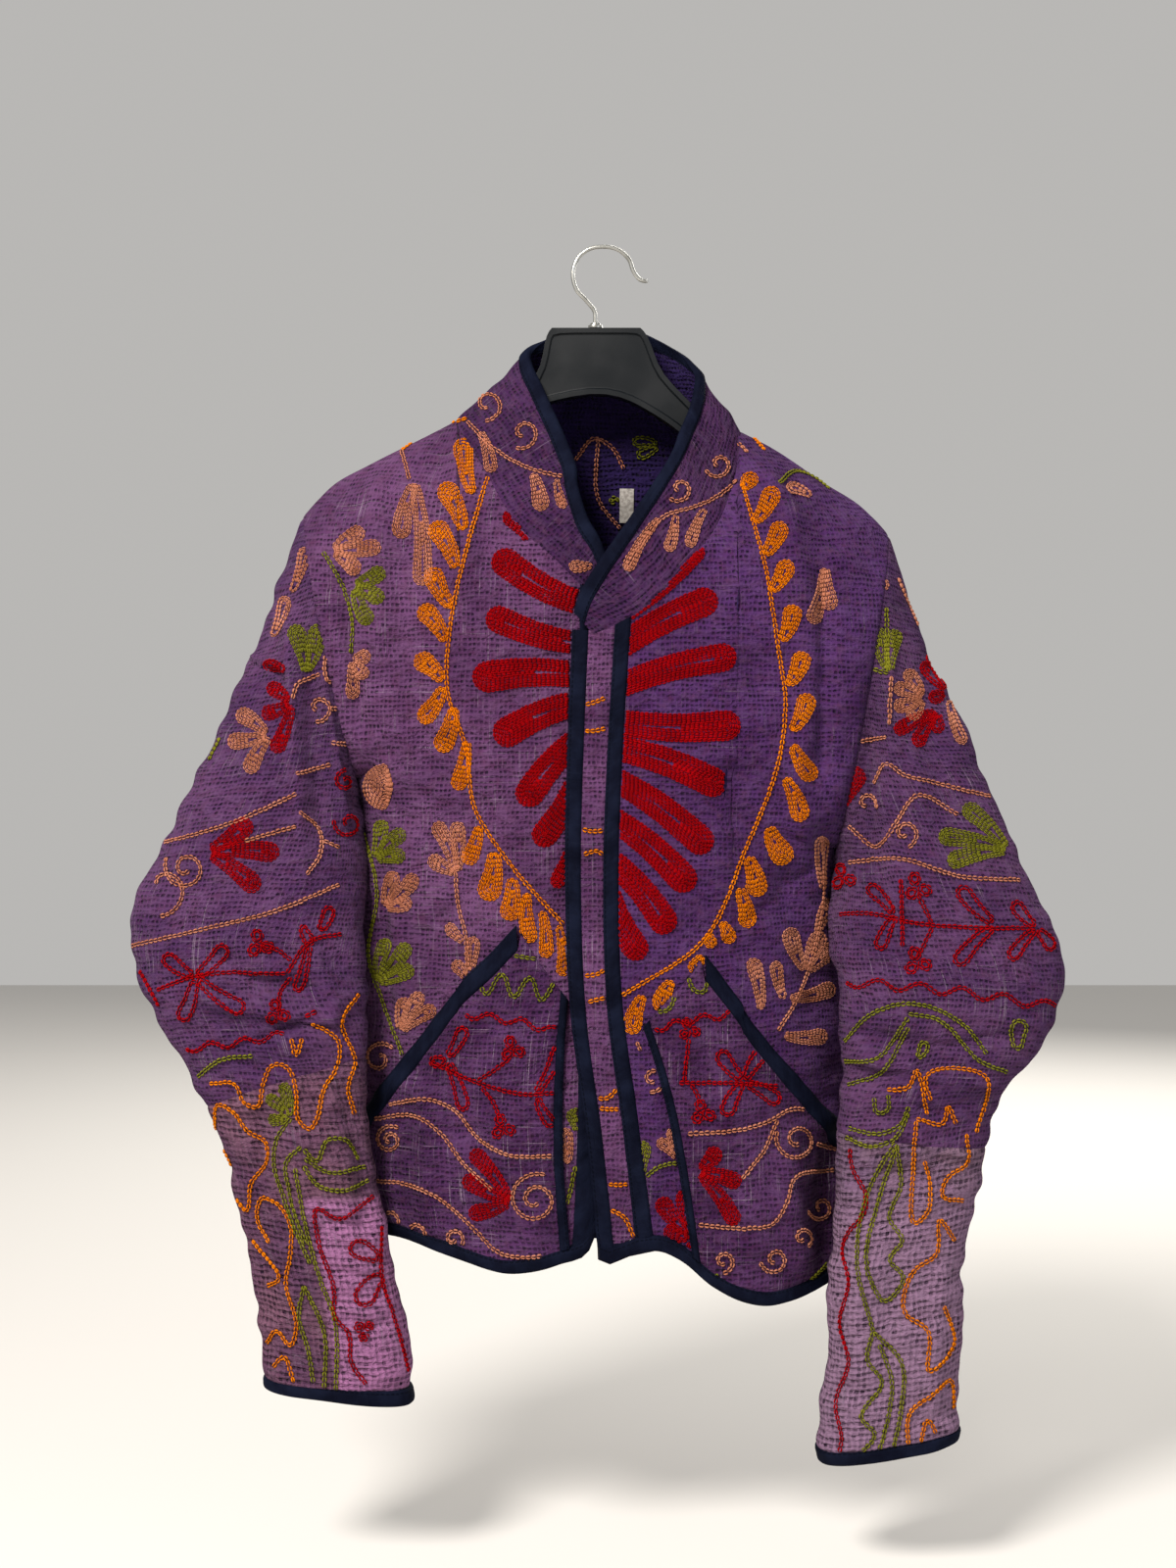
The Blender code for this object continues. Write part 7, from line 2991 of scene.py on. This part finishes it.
@dataclass
class Embroidery:
    """Chain stitch in wool, drawn on the sketches and laid onto the cloth."""

    room: Workroom
    fill_link: float = 3.2
    line_link: float = 3.7
    fill_width: float = 2.5
    line_width: float = 3.7
    line_yarn: float = 0.76
    look_every: float = 1.6
    break_at: float = 8.0
    seed: int = 11
    owners: list[str] = field(default_factory=list)
    links: dict[tuple[Thread, str], list[Array]] = field(default_factory=dict)

    def __post_init__(self) -> None:
        """Gathers every face that can hide or carry a stitch."""
        corners, faces, owner, inner = [], [], [], []
        for node, piece in self.room.pieces.items():
            mesh = piece.data
            start = len(corners)
            places = np.empty(len(mesh.vertices) * 3)
            mesh.vertices.foreach_get("co", places)
            corners.extend(map(tuple, places.reshape(-1, 3) / MM))
            faces.extend([start + corner for corner in face.vertices] for face in mesh.polygons)
            owner.extend([len(self.owners)] * len(mesh.polygons))
            inner.extend(face.material_index for face in mesh.polygons)
            self.owners.append(node)
        self.tree = BVHTree.FromPolygons(corners, faces)
        self.owner, self.inner = np.array(owner), np.array(inner)
        self.chance = np.random.default_rng(self.seed)

    def lay(self, view: View, on: tuple[str, ...], motif: Motif, inside: bool = False) -> None:
        """Lays a motif onto the pieces that it may be sewn to.

        Args:
            view: the sketch.
            on: the nodes of those pieces.
            motif: what is drawn.
            inside: whether it is sewn on the inner face.
        """
        allowed = [self.owners.index(node) for node in on]
        eye = view.eye()
        rows = [(row, (self.fill_width, self.fill_link, motif.yarn)) for row in motif.filled()]
        rows += [(row, (self.line_width, self.line_link, self.line_yarn)) for row in motif.drawn()]
        for row, sizes in rows:
            lengths = arc(row, 0)
            dense = np.arange(0.0, lengths[-1], self.look_every)
            places = view.place(between(dense, lengths, row))
            found = []
            for place in places:
                spot, normal, index, _ = self.tree.ray_cast(Vector(eye), Vector(place - eye))
                fits = index is not None and self.owner[index] in allowed and self.inner[index] == inside
                found.append((*spot, *normal, self.owner[index]) if fits else None)
            self.split(found, motif.wool, sizes)

    def split(self, found: list[Row | None], wool: Thread, sizes: Row) -> None:
        """Cuts a row where it leaves its piece, and stitches each run.

        Args:
            found: each point's place, normal and owner, or None where it may not be sewn.
            wool: the wool.
            sizes: the chain's width, the length of its links and the yarn's radius.
        """
        run: list[Row] = []
        for spot in [*found, None]:
            if run and (
                spot is None or spot[6] != run[-1][6] or math.dist(spot[:3], run[-1][:3]) > self.break_at
            ):
                self.stitch(np.array(run), wool, sizes)
                run = []
            if spot is not None:
                run.append(spot)

    def stitch(self, run: Array, wool: Thread, sizes: Row) -> None:
        """Divides a run into links of the chain.

        Args:
            run: place, normal and owner of each point.
            wool: the wool.
            sizes: the chain's width, the length of its links and the yarn's radius.
        """
        if len(run) < 2:
            return
        lengths = arc(run[:, :3], 0)
        width, link, yarn = sizes
        count = int(round(lengths[-1] / link))
        if count < 1:
            return
        rows = between(np.linspace(0.0, lengths[-1], count + 1), lengths, run[:, :6])
        key = (wool, self.owners[int(run[0, 6])])
        links = np.concatenate([rows[:-1], rows[1:], np.tile([width, yarn], (count, 1))], axis=1)
        self.links.setdefault(key, []).append(links)

    def chain(self, links: Array) -> tuple[Array, Array, Array]:
        """Two plump legs for each link.

        Args:
            links: start, normal, end and normal of each, its width and the yarn's radius.

        Returns:
            The points, the triangles and a tone for each point.
        """
        count = len(links)
        start, end, normal = links[:, 0:3], links[:, 6:9], unit(links[:, 3:6] + links[:, 9:12])
        thick = links[:, 13:14]
        reach = links[:, 12:13] / 2 - thick
        along = end - start
        side = unit(np.cross(along, normal))
        wide = self.chance.normal(1.0, 0.10, (count, 1))
        start = start + side * self.chance.normal(0.0, 0.12, (count, 1))
        points = []
        for sign in (-1.0, 1.0):
            for place, out, height, radius in LINK_LEG:
                middle = start + along * place + side * sign * out * reach * wide + normal * height * thick
                turns = (90, 210, 330) if radius else (90,)
                for turn in turns:
                    around = side * math.cos(math.radians(turn)) + normal * math.sin(math.radians(turn))
                    points.append(middle + around * radius * thick)
        leg = [(0, 2, 1), (0, 3, 2), (0, 1, 3), (7, 4, 5), (7, 5, 6), (7, 6, 4)]
        for a, b in ((1, 2), (2, 3), (3, 1)):
            leg += [(a, b, b + 3), (a, b + 3, a + 3)]
        pattern = np.array([*leg, *[tuple(8 + corner for corner in face) for face in leg]])
        places = np.stack(points, axis=1).reshape(-1, 3)
        faces = (pattern[None] + LINK_POINTS * np.arange(count)[:, None, None]).reshape(-1, 3)
        return places, faces, np.repeat(self.chance.random(count), LINK_POINTS)

    def build(self) -> None:
        """Makes one piece for each wool on each piece of cloth."""
        for (wool, node), runs in self.links.items():
            places, faces, tone = self.chain(np.concatenate(runs))
            name = f"stitches_{wool.name.lower()}_{node}"
            mesh = bpy.data.meshes.new(name)
            mesh.from_pydata((places * MM).tolist(), [], faces.tolist())
            mesh.attributes.new("link_tone", "FLOAT", "POINT").data.foreach_set("value", tone)
            turned_out(mesh)
            mesh.materials.append(self.room.palette.of(wool))
            made = placed(name, mesh)
            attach(made, "root")
            self.room.trims.setdefault(node, []).append(made)
            LOG.info("%s: %d faces", name, len(mesh.polygons))

    def sew(self) -> None:
        """Lays every motif and makes the stitches."""
        fronts, pockets = ("front_right", "front_left"), ("pocket_right", "pocket_left")
        right = ("sleeve_right_upper", "sleeve_right_lower")
        left = ("sleeve_left_upper", "sleeve_left_lower")
        for on, motifs in (
            (fronts, [*MEDALLION, *STRIP_SPRIGS]),
            (("front_right",), RIGHT_SPRIGS),
            (("front_left",), LEFT_SPRIGS),
            (("collar", *fronts), COLLAR_SPRIGS),
            (pockets, [*RIGHT_POCKET, *LEFT_POCKET]),
            (("placket_band",), BAND_DASHES),
            (right, RIGHT_SLEEVE),
            (left, LEFT_SLEEVE),
        ):
            for motif in motifs:
                self.lay(View.FRONT, on, motif)
        for on, motifs in ((right, RIGHT_SLEEVE), (left, LEFT_SLEEVE)):
            for motif in motifs:
                self.lay(View.BACK, on, motif.mirrored())
        for motif in BACK_MEDALLION:
            self.lay(View.BACK, ("back_panel",), motif)
        for motif in NECK_REVERSE:
            self.lay(View.FRONT, ("back_panel", "collar"), motif, inside=True)
        self.build()


@dataclass
class Studio:
    """The camera at the photograph's angle, a pale floor and soft light."""

    floor_z: float = -0.93
    floor_size: float = 9.0
    sensor: float = 36.0
    middle_z: float = -0.42
    daylight: float = 0.55

    def camera(self) -> None:
        """A level camera whose frame takes in the picture's height at the hanger's plane."""
        made = bpy.data.cameras.new("front_camera")
        made.sensor_fit, made.sensor_height = "VERTICAL", self.sensor
        made.lens = self.sensor * EYE_DISTANCE * MM / PICTURE_HEIGHT
        holder = placed("front_camera", made)
        holder.location = (EYE_X * MM, -EYE_DISTANCE * MM, EYE_Z * MM)
        holder.rotation_euler = (math.radians(90), 0.0, 0.0)
        bpy.context.scene.camera = holder

    def floor(self) -> None:
        """A plain pale floor, which is not part of the object."""
        bpy.ops.object.select_all(action="DESELECT")
        bpy.ops.mesh.primitive_plane_add(size=self.floor_size, location=(0.0, 0.0, self.floor_z))
        made = bpy.context.object
        made.name = "studio_floor"
        material, web, shader = new_material("pale_floor")
        shader.inputs["Base Color"].default_value = colour("#c6c4c1")
        shader.inputs["Roughness"].default_value = 0.9
        made.data.materials.append(material)

    def lamp(self, name: str, place: Row, size: float, power: float, tint: str) -> None:
        """A soft area lamp that looks at the jacket's middle.

        Args:
            name: the lamp's name.
            place: where it stands, in metres.
            size: its width in metres.
            power: its power in watts.
            tint: its colour.
        """
        made = bpy.data.lights.new(name, "AREA")
        made.shape, made.size, made.energy, made.color = "DISK", size, power, colour(tint)[:3]
        holder = placed(name, made)
        holder.location = place
        aim = Vector((0.0, 0.0, self.middle_z)) - Vector(place)
        holder.rotation_euler = aim.to_track_quat("-Z", "Y").to_euler()

    def build(self) -> None:
        """Makes the studio."""
        self.camera()
        self.floor()
        self.lamp("key_light", (-1.2, -2.1, 1.6), 0.9, 165.0, "#fff9f2")
        self.lamp("fill_light", (1.9, -1.6, -0.1), 1.8, 12.0, "#f2f5ff")
        self.lamp("back_light", (0.9, 2.4, 1.0), 1.8, 78.0, "#fffaf2")
        world = bpy.data.worlds.new("pale_room")
        world.use_nodes = True
        ground = world.node_tree.nodes["Background"]
        ground.inputs["Color"].default_value = colour("#f1efec")
        ground.inputs["Strength"].default_value = self.daylight
        bpy.context.scene.world = world
        bpy.context.scene.view_settings.view_transform = "Standard"


def main() -> None:
    """Builds the jacket, its hanger and the studio."""
    logging.basicConfig(level=logging.INFO, format="%(message)s")
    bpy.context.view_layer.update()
    room = Workroom(Palette())
    Studio().build()
    Hanger().build(room)
    Back().sew(room)
    Front("right", Cloth.FADED).sew(room)
    Front("left", Cloth.VIOLET).sew(room)
    for side, bow in (("right", 4.5), ("left", 0.0)):
        Pocket(side, bow).sew(room)
        Sleeve(side).sew(room)
    Collar().sew(room)
    Label().sew(room)
    Embroidery(room).sew()
    room.close()


if __name__ == "__main__":
    main()
